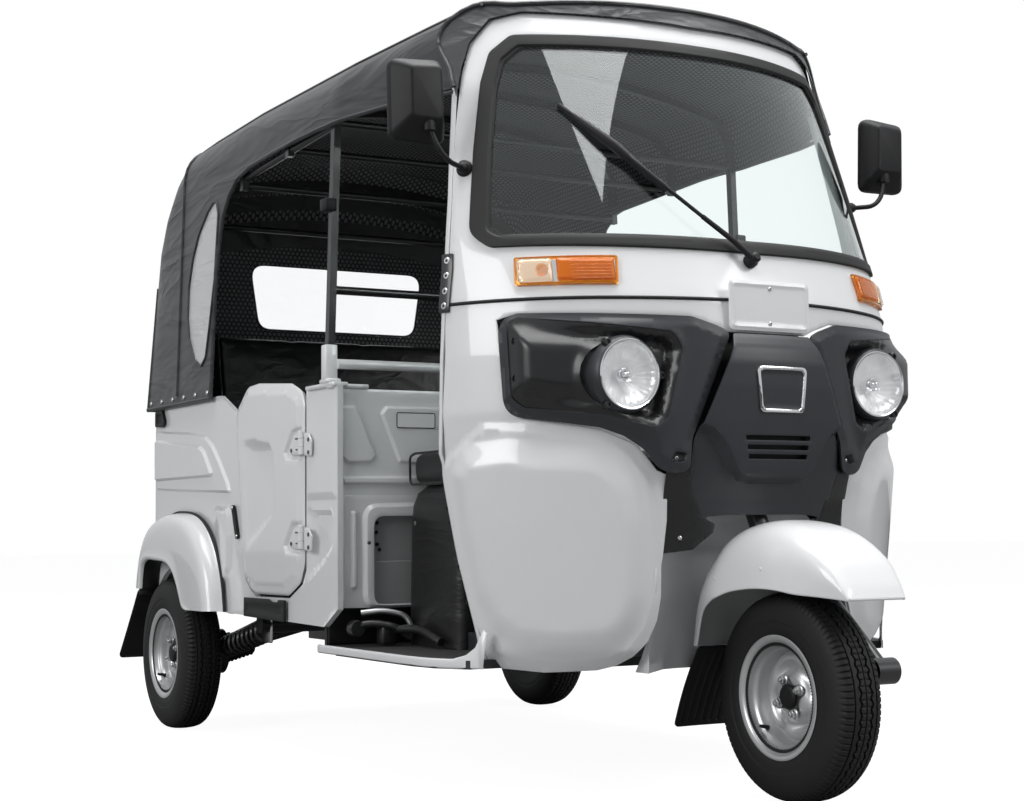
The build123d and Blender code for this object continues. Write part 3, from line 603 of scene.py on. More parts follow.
class Graph:
    """Short ways to add and join nodes in one node tree."""

    def __init__(self, tree: bpy.types.NodeTree) -> None:
        """Keeps the tree that nodes are added to."""
        self.tree = tree

    def add(self, kind: str, **values: object) -> bpy.types.Node:
        """Adds a node and sets its properties, and its inputs where a name is an input's."""
        node = self.tree.nodes.new(kind)
        for key, value in values.items():
            name = key.replace("_", " ")
            if name in node.inputs:
                node.inputs[name].default_value = value
            else:
                setattr(node, key, value)
        return node

    def join(self, source: bpy.types.NodeSocket, target: bpy.types.NodeSocket) -> None:
        """Joins two sockets."""
        self.tree.links.new(source, target)

    def math(self, operation: str, *terms: object) -> bpy.types.NodeSocket:
        """Adds a Math node on sockets or numbers and returns its output."""
        node = self.tree.nodes.new("ShaderNodeMath")
        node.operation = operation
        for slot, term in zip(node.inputs, terms):
            if isinstance(term, (int, float)):
                slot.default_value = term
            else:
                self.join(term, slot)
        return node.outputs[0]


def new_group(effect: Effect, inputs: dict[str, float], outputs: Sequence[str]) -> tuple[Graph, object, object]:
    """Starts a shader group with number inputs and number outputs.

    Args:
        effect: which group it is.
        inputs: names and usual values.
        outputs: names.

    Returns:
        The graph, its input node and its output node.
    """
    tree = bpy.data.node_groups.new(effect.value, "ShaderNodeTree")
    for name, value in inputs.items():
        socket = tree.interface.new_socket(name=name, in_out="INPUT", socket_type="NodeSocketFloat")
        socket.default_value = value
    for name in outputs:
        tree.interface.new_socket(name=name, in_out="OUTPUT", socket_type="NodeSocketFloat")
    graph = Graph(tree)
    return graph, graph.add("NodeGroupInput"), graph.add("NodeGroupOutput")


def build_grain() -> None:
    """Fine pebbled surface of moulded plastic, vinyl and rubber: a height from 0 to 1."""
    graph, start, end = new_group(Effect.GRAIN, {"Scale": 700.0, "Detail": 2.0}, ["Height"])
    place = graph.add("ShaderNodeTexCoord")
    cells = graph.add("ShaderNodeTexVoronoi", feature="SMOOTH_F1")
    noise = graph.add("ShaderNodeTexNoise")
    for node in (cells, noise):
        graph.join(place.outputs["Object"], node.inputs["Vector"])
        graph.join(start.outputs["Scale"], node.inputs["Scale"])
    graph.join(start.outputs["Detail"], noise.inputs["Detail"])
    graph.join(graph.math("ADD", graph.math("MULTIPLY", cells.outputs["Distance"], 0.6),
                          graph.math("MULTIPLY", noise.outputs["Fac"], 0.4)), end.inputs["Height"])


def build_mottle() -> None:
    """Slow cloudy change and small specks, as dust and handling leave: a mask from 0 to 1."""
    graph, start, end = new_group(Effect.MOTTLE, {"Scale": 6.0, "Specks": 0.3}, ["Mask"])
    place = graph.add("ShaderNodeTexCoord")
    clouds = graph.add("ShaderNodeTexNoise", Detail=5.0, Roughness=0.6)
    specks = graph.add("ShaderNodeTexNoise", Scale=220.0, Detail=3.0)
    graph.join(place.outputs["Object"], clouds.inputs["Vector"])
    graph.join(place.outputs["Object"], specks.inputs["Vector"])
    graph.join(start.outputs["Scale"], clouds.inputs["Scale"])
    spots = graph.math("MULTIPLY", graph.math("GREATER_THAN", specks.outputs["Fac"], 0.68), start.outputs["Specks"])
    total = graph.math("ADD", clouds.outputs["Fac"], spots)
    graph.join(graph.math("MINIMUM", total, 1.0), end.inputs["Mask"])


def build_weave() -> None:
    """Net of small six-sided cells laid out on the sheet's own directions: 1 in a cell and 0 on the net."""
    graph, start, end = new_group(Effect.WEAVE, {"Pitch": 0.0145, "Cell": 0.43}, ["Mask"])
    place = graph.add("ShaderNodeTexCoord")
    parts = graph.add("ShaderNodeSeparateXYZ")
    graph.join(place.outputs["UV"], parts.inputs[0])
    across = graph.math("DIVIDE", parts.outputs["X"], start.outputs["Pitch"])
    along = graph.math("DIVIDE", parts.outputs["Y"], start.outputs["Pitch"])
    row = sqrt(3.0)
    nearest = None
    for shift in (0.0, 0.5):
        x = graph.math("SUBTRACT", graph.math("FRACT", graph.math("ADD", across, shift)), 0.5)
        y = graph.math("SUBTRACT", graph.math("FRACT", graph.math("ADD", graph.math("DIVIDE", along, row), shift)), 0.5)
        y = graph.math("ABSOLUTE", graph.math("MULTIPLY", y, row))
        x = graph.math("ABSOLUTE", x)
        slant = graph.math("ADD", graph.math("MULTIPLY", x, 0.5), graph.math("MULTIPLY", y, row / 2))
        reach = graph.math("MAXIMUM", x, slant)
        nearest = reach if nearest is None else graph.math("MINIMUM", nearest, reach)
    graph.join(graph.math("LESS_THAN", nearest, start.outputs["Cell"]), end.inputs["Mask"])


def build_creases() -> None:
    """Long shallow folds of stretched cloth: a height from 0 to 1."""
    graph, start, end = new_group(Effect.CREASES, {"Scale": 3.0, "Sharpness": 4.0}, ["Height"])
    place = graph.add("ShaderNodeTexCoord")
    stretch = graph.add("ShaderNodeMapping")
    stretch.inputs["Scale"].default_value = (1.0, 0.35, 1.6)
    stretch.inputs["Rotation"].default_value = (0.3, 0.5, 0.2)
    folds = graph.add("ShaderNodeTexNoise", Detail=3.0, Distortion=0.6)
    graph.join(place.outputs["Object"], stretch.inputs["Vector"])
    graph.join(stretch.outputs["Vector"], folds.inputs["Vector"])
    graph.join(start.outputs["Scale"], folds.inputs["Scale"])
    ridge = graph.math("ABSOLUTE", graph.math("SUBTRACT", folds.outputs["Fac"], 0.5))
    graph.join(graph.math("POWER", graph.math("SUBTRACT", 1.0, ridge), start.outputs["Sharpness"]),
               end.inputs["Height"])


def build_effects() -> None:
    """Builds every shared shader group once."""
    build_grain()
    build_mottle()
    build_weave()
    build_creases()


# ------------------------------------------------------------------ finishes


@dataclass(frozen=True)
class Finish:
    """A surface finish: one Principled shader and the shared effects that vary it.

    Attributes:
        name: the material's name.
        colour: linear colour.
        second: colour that the mottling leads to.
        rough: roughness at its smoothest and at its dullest.
        metal: metallic.
        coat: weight of clear coat.
        coat_rough: its roughness.
        grain: scale and depth in millimetres of a fine grain, or nothing.
        creases: scale and depth in millimetres of soft folds, or nothing.
        mottle: scale of the mottling and strength of its specks.
        sheen: weight of cloth sheen.
        specular: specular level.
    """

    name: str
    colour: Point3
    second: Point3
    rough: Point2 = (0.4, 0.5)
    metal: float = 0.0
    coat: float = 0.0
    coat_rough: float = 0.05
    grain: Optional[Point2] = None
    creases: Optional[Point2] = None
    mottle: Point2 = (6.0, 0.2)
    sheen: float = 0.0
    specular: float = 0.5

    def shader(self) -> tuple[bpy.types.Material, Graph, bpy.types.Node]:
        """Starts the material and returns it with its graph and its Principled node."""
        material = bpy.data.materials.new(self.name)
        material.use_nodes = True
        graph = Graph(material.node_tree)
        body = material.node_tree.nodes["Principled BSDF"]
        body.inputs["Metallic"].default_value = self.metal
        body.inputs["Coat Weight"].default_value = self.coat
        body.inputs["Coat Roughness"].default_value = self.coat_rough
        body.inputs["Sheen Weight"].default_value = self.sheen
        body.inputs["Specular IOR Level"].default_value = self.specular
        return material, graph, body

    def effect(self, graph: Graph, effect: Effect, **values: float) -> bpy.types.Node:
        """Places a shared group in the material with its own values."""
        node = graph.add("ShaderNodeGroup")
        node.node_tree = bpy.data.node_groups[effect.value]
        for key, value in values.items():
            node.inputs[key].default_value = value
        return node

    def build(self) -> bpy.types.Material:
        """Builds the material."""
        material, graph, body = self.shader()
        mask = self.effect(graph, Effect.MOTTLE, Scale=self.mottle[0], Specks=self.mottle[1]).outputs["Mask"]
        self.tint(graph, body, mask)
        spread = graph.add("ShaderNodeMapRange")
        graph.join(mask, spread.inputs["Value"])
        spread.inputs["To Min"].default_value, spread.inputs["To Max"].default_value = self.rough
        graph.join(spread.outputs["Result"], body.inputs["Roughness"])
        self.relief(graph, body)
        return material

    def tint(self, graph: Graph, body: bpy.types.Node, mask: bpy.types.NodeSocket) -> None:
        """Colours the surface between the two colours by the mask."""
        self.blend(graph, body, mask, (self.colour, self.second))

    def blend(self, graph: Graph, body: bpy.types.Node, mask: bpy.types.NodeSocket,
              colours: tuple[Point3, Point3]) -> None:
        """Mixes two colours: the first where the mask is 0 and the other where it is 1."""
        mix = graph.add("ShaderNodeMix", data_type="RGBA")
        mix.inputs[6].default_value, mix.inputs[7].default_value = ((*colour, 1) for colour in colours)
        graph.join(mask, mix.inputs[0])
        graph.join(mix.outputs[2], body.inputs["Base Color"])

    def relief(self, graph: Graph, body: bpy.types.Node) -> None:
        """Bumps the surface with its folds and its grain."""
        normal = None
        for effect, values in ((Effect.CREASES, self.creases), (Effect.GRAIN, self.grain)):
            if values is None:
                continue
            source = self.effect(graph, effect, Scale=values[0]).outputs["Height"]
            bump = graph.add("ShaderNodeBump", Distance=values[1] * MM, Strength=1.0)
            graph.join(source, bump.inputs["Height"])
            if normal is not None:
                graph.join(normal, bump.inputs["Normal"])
            normal = bump.outputs["Normal"]
        if normal is not None:
            graph.join(normal, body.inputs["Normal"])


@dataclass(frozen=True)
class NetFinish(Finish):
    """Roof lining printed with a net of pale six-sided cells.

    Attributes:
        pitch: from one cell to the next, in metres.
        cell: reach of a cell from its middle, as a part of the pitch.
    """

    pitch: float = 0.0145
    cell: float = 0.36

    def tint(self, graph: Graph, body: bpy.types.Node, mask: bpy.types.NodeSocket) -> None:
        """Colours the cells pale and the net between them dark."""
        cells = self.effect(graph, Effect.WEAVE, Pitch=self.pitch, Cell=self.cell).outputs["Mask"]
        self.blend(graph, body, cells, (self.second, self.colour))


@dataclass(frozen=True)
class ClearFinish(Finish):
    """Glass and clear plastic.

    Attributes:
        ior: index of refraction.
        see_through: weight of what passes through it.
        alpha: its cover, less than 1 where what lies behind it also shows straight.
    """

    ior: float = 1.5
    see_through: float = 1.0
    alpha: float = 1.0

    def shader(self) -> tuple[bpy.types.Material, Graph, bpy.types.Node]:
        """Starts the material as one that light passes through."""
        material, graph, body = super().shader()
        body.inputs["Transmission Weight"].default_value = self.see_through
        body.inputs["IOR"].default_value = self.ior
        body.inputs["Alpha"].default_value = self.alpha
        return material, graph, body


class Paints:
    """Every finish of the vehicle, built once."""

    def __init__(self) -> None:
        """Builds the materials."""
        white, off_white = (0.80, 0.81, 0.82), (0.74, 0.75, 0.76)
        finishes = [
            Finish("white_paint", white, off_white, (0.26, 0.34), coat=0.7, coat_rough=0.04, mottle=(3, 0.05),
                   grain=(900, 0.012)),
            Finish("grey_inner", (0.34, 0.345, 0.35), (0.29, 0.295, 0.30), (0.45, 0.6), mottle=(4, 0.1)),
            Finish("grey_sheet", (0.40, 0.405, 0.41), (0.35, 0.355, 0.36), (0.3, 0.42), metal=0.2, grain=(700, 0.02)),
            Finish("charcoal_plastic", (0.017, 0.019, 0.023), (0.026, 0.029, 0.035), (0.36, 0.48), grain=(1100, 0.05)),
            Finish("bowl_plastic", (0.008, 0.008, 0.009), (0.013, 0.013, 0.014), (0.22, 0.34), grain=(1200, 0.02)),
            Finish("black_plastic", (0.006, 0.006, 0.007), (0.011, 0.011, 0.012), (0.4, 0.55), grain=(900, 0.07),
                   specular=0.25),
            Finish("black_metal", (0.010, 0.010, 0.011), (0.02, 0.02, 0.021), (0.28, 0.42), coat=0.3,
                   grain=(500, 0.02)),
            Finish("black_rubber", (0.006, 0.006, 0.006), (0.011, 0.011, 0.011), (0.5, 0.68), grain=(600, 0.06),
                   specular=0.35),
            Finish("tyre_rubber", (0.006, 0.006, 0.006), (0.012, 0.0115, 0.011), (0.5, 0.7), grain=(420, 0.1),
                   mottle=(9, 0.3), specular=0.35),
            Finish("wheel_paint", (0.62, 0.625, 0.63), (0.54, 0.545, 0.55), (0.26, 0.38), metal=0.6,
                   grain=(800, 0.02)),
            Finish("bright_steel", (0.62, 0.62, 0.63), (0.5, 0.5, 0.5), (0.22, 0.4), metal=1.0, grain=(500, 0.02)),
            Finish("chrome", (0.86, 0.87, 0.88), (0.8, 0.81, 0.82), (0.05, 0.12), metal=1.0),
            Finish("lamp_silver", (0.95, 0.95, 0.96), (0.90, 0.91, 0.92), (0.08, 0.2), metal=0.3),
            Finish("hood_vinyl", (0.017, 0.018, 0.020), (0.030, 0.031, 0.034), (0.34, 0.5), grain=(520, 0.09),
                   creases=(5.0, 7.0), sheen=0.12),
            Finish("seat_vinyl", (0.006, 0.006, 0.0065), (0.011, 0.011, 0.0115), (0.34, 0.46), grain=(430, 0.12),
                   creases=(9.0, 2.5), sheen=0.03, specular=0.4),
            Finish("cast_metal", (0.16, 0.16, 0.165), (0.08, 0.08, 0.082), (0.4, 0.6), metal=0.8, grain=(240, 0.25)),
            Finish("plate_white", (0.84, 0.85, 0.86), (0.80, 0.81, 0.82), (0.3, 0.4), coat=0.4, grain=(900, 0.01)),
            Finish("floor_mat", (0.02, 0.02, 0.021), (0.035, 0.034, 0.033), (0.6, 0.8), grain=(260, 0.3)),
            NetFinish("net_lining", (0.16, 0.16, 0.165), (0.012, 0.012, 0.013), (0.7, 0.85)),
            ClearFinish("screen_glass", (0.90, 0.975, 0.965), (0.88, 0.965, 0.955), (0.0, 0.008), ior=1.45),
            ClearFinish("window_sheet", (0.93, 0.94, 0.95), (0.86, 0.87, 0.88), (0.05, 0.16), ior=1.3,
                        see_through=0.55, creases=(8.0, 4.0)),
            ClearFinish("rear_sheet", (0.97, 0.975, 0.98), (0.93, 0.94, 0.95), (0.0, 0.04), ior=1.2,
                        creases=(8.0, 1.5)),
            ClearFinish("lamp_lens", (0.96, 0.97, 0.98), (0.94, 0.95, 0.96), (0.0, 0.02), ior=1.35, alpha=0.2),
            ClearFinish("amber_lens", (0.90, 0.36, 0.035), (0.82, 0.29, 0.02), (0.05, 0.1), ior=1.4,
                        see_through=0.72),
            ClearFinish("clear_lens", (0.98, 0.86, 0.74), (0.95, 0.82, 0.68), (0.04, 0.1), ior=1.4,
                        see_through=0.85),
            ClearFinish("red_lens", (0.75, 0.012, 0.012), (0.6, 0.01, 0.01), (0.06, 0.12), ior=1.4,
                        see_through=0.35),
            Finish("mirror_glass", (0.8, 0.81, 0.82), (0.78, 0.79, 0.8), (0.02, 0.05), metal=1.0),
        ]
        self._made = {f.name: f.build() for f in finishes}

    def on(self, piece: bpy.types.Object, name: str) -> bpy.types.Object:
        """Gives a piece one finish and returns the piece."""
        piece.data.materials.clear()
        piece.data.materials.append(self._made[name])
        return piece

    def __getitem__(self, name: str) -> bpy.types.Material:
        """The material of a name."""
        return self._made[name]


def once(side: int, node: str) -> tuple[str, ...]:
    """The node that a pair of pieces stands for, named by the right one only."""
    return (node,) if side < 0 else ()


@dataclass
class Kit:
    """What every sub-assembly needs: the frame, the finishes and how a piece is handed over."""

    paints: Paints
    nodes: dict[str, bpy.types.Object]

    def keep(self, piece: bpy.types.Object, body: str, finish: Optional[str], slot: str,
             *replaced: str) -> bpy.types.Object:
        """Finishes a piece and gives it to its body.

        Args:
            piece: the object.
            body: the body that it moves with.
            finish: name of its finish, or nothing where it already has its own.
            slot: the record's material slot; not used.
            replaced: frame nodes that it stands for.

        Returns:
            The same object.
        """
        if finish:
            self.paints.on(piece, finish)
        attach(piece, body)
        if replaced:
            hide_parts(*replaced)
        return piece

    def gather(self, name: str, parts: Sequence[bpy.types.Object], body: str, slot: str, *replaced: str,
               finish: Optional[str] = None) -> bpy.types.Object:
        """Joins parts into one piece and keeps it, as keep does, in one finish where finish is given."""
        for part in parts if finish else ():
            self.paints.on(part, finish)
        return self.keep(joined(name, parts), body, None, slot, *replaced)


# ------------------------------------------------------------------ the cab's shape


@dataclass(frozen=True)
class CabPlan:
    """Plan of the cab: a wide arc across the front and a tighter arc at each corner, leaning back above the belt.

    Attributes:
        front_radius: of the wide arc.
        corner_radius: of the corner arcs.
        half_width: of the cab.
        tuck: how far the skin is drawn in at each height, as (height, distance).
        noses: how far behind the front axle the foremost point is at each height, as (height, distance).
    """

    front_radius: float = 740.0
    corner_radius: float = 480.0
    half_width: float = 600.0
    tuck: tuple[Point2, ...] = ((252, 70), (300, 38), (400, 28), (560, 12), (700, 0), (2000, 0))
    noses: tuple[Point2, ...] = ((200, 66), (900, 66), (1008, 78), (1110, 112.5), (1760, 383.6))

    @property
    def turn(self) -> float:
        """Angle at which the wide arc meets the corner arc."""
        reach = (self.half_width - self.corner_radius) / (1 - self.corner_radius / self.front_radius)
        return asin(reach / self.front_radius)

    @property
    def first(self) -> float:
        """Length along the wide arc from the middle."""
        return self.front_radius * self.turn

    @property
    def second(self) -> float:
        """Length along the wide arc and the corner arc."""
        return self.first + self.corner_radius * (pi / 2 - self.turn)

    def nose(self, z: float) -> float:
        """How far behind the front axle the foremost point is at a height."""
        return float(np.interp(z, *zip(*self.noses)))

    def drawn(self, z: float) -> float:
        """How far the skin is drawn in at a height."""
        return float(np.interp(z, *zip(*self.tuck)))

    def corner_s(self, nose: float) -> float:
        """Centre of the corner arcs, behind the front axle."""
        return nose + self.front_radius - (self.front_radius - self.corner_radius) * cos(self.turn)

    def at(self, t: float, nose: float, inset: float) -> Point2:
        """Place (x, s) at a length t from the middle, drawn in by inset."""
        side = 1 if t >= 0 else -1
        t = abs(t)
        if t <= self.first:
            angle = t / self.front_radius
            r = self.front_radius - inset
            return side * r * sin(angle), nose + self.front_radius - r * cos(angle)
        corner_x = self.half_width - self.corner_radius
        corner_s = self.corner_s(nose)
        r = self.corner_radius - inset
        if t <= self.second:
            angle = self.turn + (t - self.first) / self.corner_radius
            return side * (corner_x + r * sin(angle)), corner_s - r * cos(angle)
        return side * (self.half_width - inset), corner_s + t - self.second

    def place(self, t: float, z: float, h: float) -> Point3:
        """Place on the skin at a length t and a height z, standing out by h."""
        x, s = self.at(t, self.nose(z), self.drawn(z) - h)
        return x, s, z

    def from_x(self, x: float) -> float:
        """Length t of what is seen at x from the front."""
        side = 1 if x >= 0 else -1
        x = abs(x)
        if x <= self.front_radius * sin(self.turn):
            return side * self.front_radius * asin(x / self.front_radius)
        angle = asin(min(1.0, (x - self.half_width + self.corner_radius) / self.corner_radius))
        return side * (self.first + self.corner_radius * (angle - self.turn))

    def from_s(self, s: float, z: float, side: int) -> float:
        """Length t of what is seen at s from the side."""
        back = self.corner_s(self.nose(z))
        if s >= back:
            return side * (self.second + s - back)
        angle = acos(min(1.0, (back - s) / self.corner_radius))
        return side * (self.first + self.corner_radius * (max(angle, self.turn) - self.turn))

    def front(self, points: Iterable[Point2]) -> list[Point2]:
        """Outline given from the front as (x, z), in the skin's own directions."""
        return [(self.from_x(x), z) for x, z in points]

    def front_on(self, points: Iterable[Point2], side: int) -> list[Point2]:
        """Outline given for the right side from the front, turned over for the left, in the skin's directions."""
        return self.front(points if side < 0 else mirrored(points))


PLAN = CabPlan()
BELT_Z = 1008.0
BELT_REAR_S = 416.0
LAMP_X = 320.0
LAMP_Z = 850.0
# outlines of the cab's rear edge (s, z), going up, and of the windscreen's two edges (x, z)
CAB_EDGE: tuple[Point2, ...] = ((352, 262), (362, 330), (398, 485), (424, 650), (420, 800), (416, 960), (416, 1008),
                                (419, 1081), (440, 1237), (468, 1394), (493, 1521), (508, 1600))
SCREEN_OUTER: tuple[Point2, ...] = ((-524, 1157), (-503, 1126), (0, 1116), (503, 1126), (524, 1157), (494, 1343),
                                    (462, 1490), (438, 1560), (395, 1600), (0, 1597), (-395, 1600), (-438, 1560),
                                    (-462, 1490), (-494, 1343))
SCREEN_INNER: tuple[Point2, ...] = ((-499, 1163), (-484, 1148), (0, 1140), (484, 1148), (499, 1163), (470, 1343),
                                    (440, 1482), (420, 1540), (385, 1573), (0, 1571), (-385, 1573), (-420, 1540),
                                    (-440, 1482), (-470, 1343))


def on_line(points: Sequence[Point2], value: float) -> float:
    """First coordinate of a rising line of points where the second reaches a value."""
    return float(np.interp(value, [p[1] for p in points], [p[0] for p in points]))


@dataclass
class CabShell:
    """Painted sheet of the cab: cheeks, belt, windscreen surround and wheel recess."""

    kit: Kit
    skin: float = 5.0
    cheek_low: tuple[Point2, ...] = ((-241, 470), (-241, 404), (-248, 360), (-266, 318), (-295, 287), (-328, 268),
                                     (-366, 259), (-466, 254), (-505, 258))
    header: tuple[Point2, ...] = ((-489, 1521), (-467, 1589), (-426, 1641), (-370, 1656), (-212, 1650), (0, 1644))

    def build(self) -> None:
        """Builds every sheet of the shell."""
        self.skin_below()
        self.surround()
        self.recess()
        self.posts()
        self.belt_seam()

    def rear_edge(self, low: float, high: float, side: int) -> list[Point2]:
        """Points of the rear edge between two heights, rising."""
        heights = [z for _, z in CAB_EDGE if low < z < high]
        return [(PLAN.from_s(on_line(CAB_EDGE, z), z, side), z) for z in (low, *heights, high)]

    def skin_below(self) -> None:
        """Belt and both cheeks, one sheet round the dark fascias."""
        right = PLAN.front(list(self.cheek_low)[::-1])
        inner = PLAN.front([(-238, 487), (-231, 560), (-230, 650), (-252, 660), (-290, 710), (-360, 744),
                            (-478, 767), (-502, 797), (-511, 968), (-482, 979), (-182, 971), (-130, 955), (-97, 941)])
        left_half = self.rear_edge(262, BELT_Z - 2, -1)[::-1] + right + inner
        outline = left_half + mirrored(left_half)
        dome = rounded(PLAN.front([(-497, 735), (-455, 722), (-360, 716), (-318, 690), (-288, 640), (-268, 560),
                                   (-262, 480), (-262, 400), (-278, 345), (-308, 305), (-345, 287), (-430, 280),
                                   (-500, 288), (-536, 330), (-556, 400), (-566, 520), (-572, 660), (-560, 722)]),
                       40)
        lip = rounded(PLAN.front([(-530, 760), (-470, 752), (-360, 728), (-310, 700), (-268, 645), (-250, 560),
                                  (-249, 400), (-262, 345), (-300, 296), (-340, 276), (-430, 266), (-512, 272),
                                  (-548, 320), (-570, 400), (-580, 520), (-586, 660)]), 40)
        pressings = [Pressing(turn(edge), height, run) for turn in (list, mirrored)
                     for edge, height, run in ((dome, 17, 62), (lip, 4, 9))]

        def cheek(t: float, z: float, h: float) -> Point3:
            """Skin a little inside the cab's outline, so that the domes reach it."""
            return PLAN.place(t, z, h - 8 * float(np.interp(z, (700, 780), (1, 0))))

        skin = sheet("cab_skin", outline, cheek, 11, self.skin, 1.6, pressings=pressings)
        self.kit.keep(skin, "body", "white_paint", "white_paint", "front_cowl")

    def surround(self) -> None:
        """White frame of the windscreen, from the belt to the header."""
        side = [(PLAN.from_s(s, z, -1), z) for s, z in CAB_EDGE if BELT_Z < z < 1500]
        low = [(PLAN.from_s(BELT_REAR_S, BELT_Z + 2, -1), BELT_Z + 2)]
        half = low + side + PLAN.front(self.header)[:-1]
        outline = rounded(half[::-1] + mirrored(half[::-1]), 6, 3)
        hole = rounded(PLAN.front(SCREEN_OUTER), 34)
        frame = sheet("screen_surround", outline, PLAN.place, 13, self.skin, 1.6, holes=[hole])
        self.kit.keep(frame, "body", "white_paint", "white_paint", "windscreen_frame")

    def recess(self) -> None:
        """Inner walls that the front wheel turns between, below and behind the centre fascia."""
        rows = []
        for z in np.linspace(252, 640, 14):
            front = float(np.interp(z, (252, 300, 380, 420, 480, 487, 640), (222, 186, 152, 138, 134, 150, 150)))
            half = [(-240, front), (-239, 172), (-226, 186), (-150, 252), (-112, 262)]
            rows.append([(x, s, z) for x, s in half] + [(-x, s, z) for x, s in half[::-1]])
        walls = loft("wheel_recess_walls", rows, 5, 1.0)
        roof = block("wheel_recess_roof", (-236, 150, 636), (236, 262, 641), 1)
        self.kit.gather("wheel_recess", [walls, roof], "body", "white_paint", "front_cowl", finish="white_paint")

    def posts(self) -> None:
        """Turned-in edge of each cab side, black dots painted as the shade in its holes, and the bolted hinge plate at
        the belt.
        """
        for side, word in SIDES:
            self.flange(side, word)
            self.hole_shade_dots(side, word)
            self.strap(side, word)

    def flange(self, side: int, word: str) -> None:
        """Turned-in edge of one cab side."""
        rows = []
        for z in np.arange(262, 1560, 22.0):
            t = PLAN.from_s(on_line(CAB_EDGE, z), z, side)
            drawn_in = 8 if z < 700 else 0
            rows.append([PLAN.place(t + side * back, z, -inward - drawn_in)
                         for back, inward in ((0, 1), (7, 2), (12, 6), (14, 26))])
        flange = loft(f"post_flange_{word}", rows, 3, 0.8, flip=side > 0)
        self.kit.keep(flange, "body", "white_paint", "white_paint")

    def hole_shade_dots(self, side: int, word: str) -> None:
        """Row of punched holes in the turned-in edge, each shown as a black disc: painted shade, not an opening."""
        holes = []
        for z in (395, 470, 560, 590, 640, 700, 820):
            x, s, _ = PLAN.place(PLAN.from_s(on_line(CAB_EDGE, z) + 14.6, z, side), z, -14)
            # black disc in place of the hole: painted shade
            holes.append(turned(f"post_hole_{word}_{z}", [(0, 0), (4.5, 0), (4.5, -2), (0, -2)], (x, s + 1.2, z),
                                (0, 1, 0), 16))
        self.kit.gather(f"post_holes_{word}", holes, "body", "black_rubber", finish="black_plastic")

    def strap(self, side: int, word: str) -> None:
        """Dark plate with four bolts at the belt."""
        plate, bolts = [], []
        for z in np.linspace(992, 1116, 8):
            t = PLAN.from_s(on_line(CAB_EDGE, z), z, side)
            plate.append([PLAN.place(t + side * along, z, 1.5) for along in (-13, 15)])
        strip = loft(f"belt_strap_{word}", plate, 4, 0.8, flip=side > 0)
        self.kit.keep(strip, "body", "black_metal", "black_metal")
        for z in (1006, 1037, 1070, 1102):
            t = PLAN.from_s(on_line(CAB_EDGE, z), z, side) + side
            x, s, _ = PLAN.place(t, z, 2)
            out_x, out_s, _ = PLAN.place(t, z, 12)
            profile = [(8, 0), (8, 2), (6, 4.5), (3.4, 4.5), (3.2, 2.6), (0, 2.6)]
            bolts.append(turned(f"strap_bolt_{word}_{z}", profile, (x, s, z), (out_x - x, out_s - s, 0), 24))
        self.kit.gather(f"strap_bolts_{word}", bolts, "body", "black_metal", finish="bright_steel")

    def belt_seam(self) -> None:
        """Black bead in the joint between the cowl and the windscreen surround."""
        ends = PLAN.from_s(BELT_REAR_S, BELT_Z, 1)
        line = [PLAN.place(t, BELT_Z, 0.4) for t in np.linspace(-ends, ends, 90)]
        self.kit.keep(tube("belt_bead", line, 3.6), "body", "black_rubber", "black_rubber")


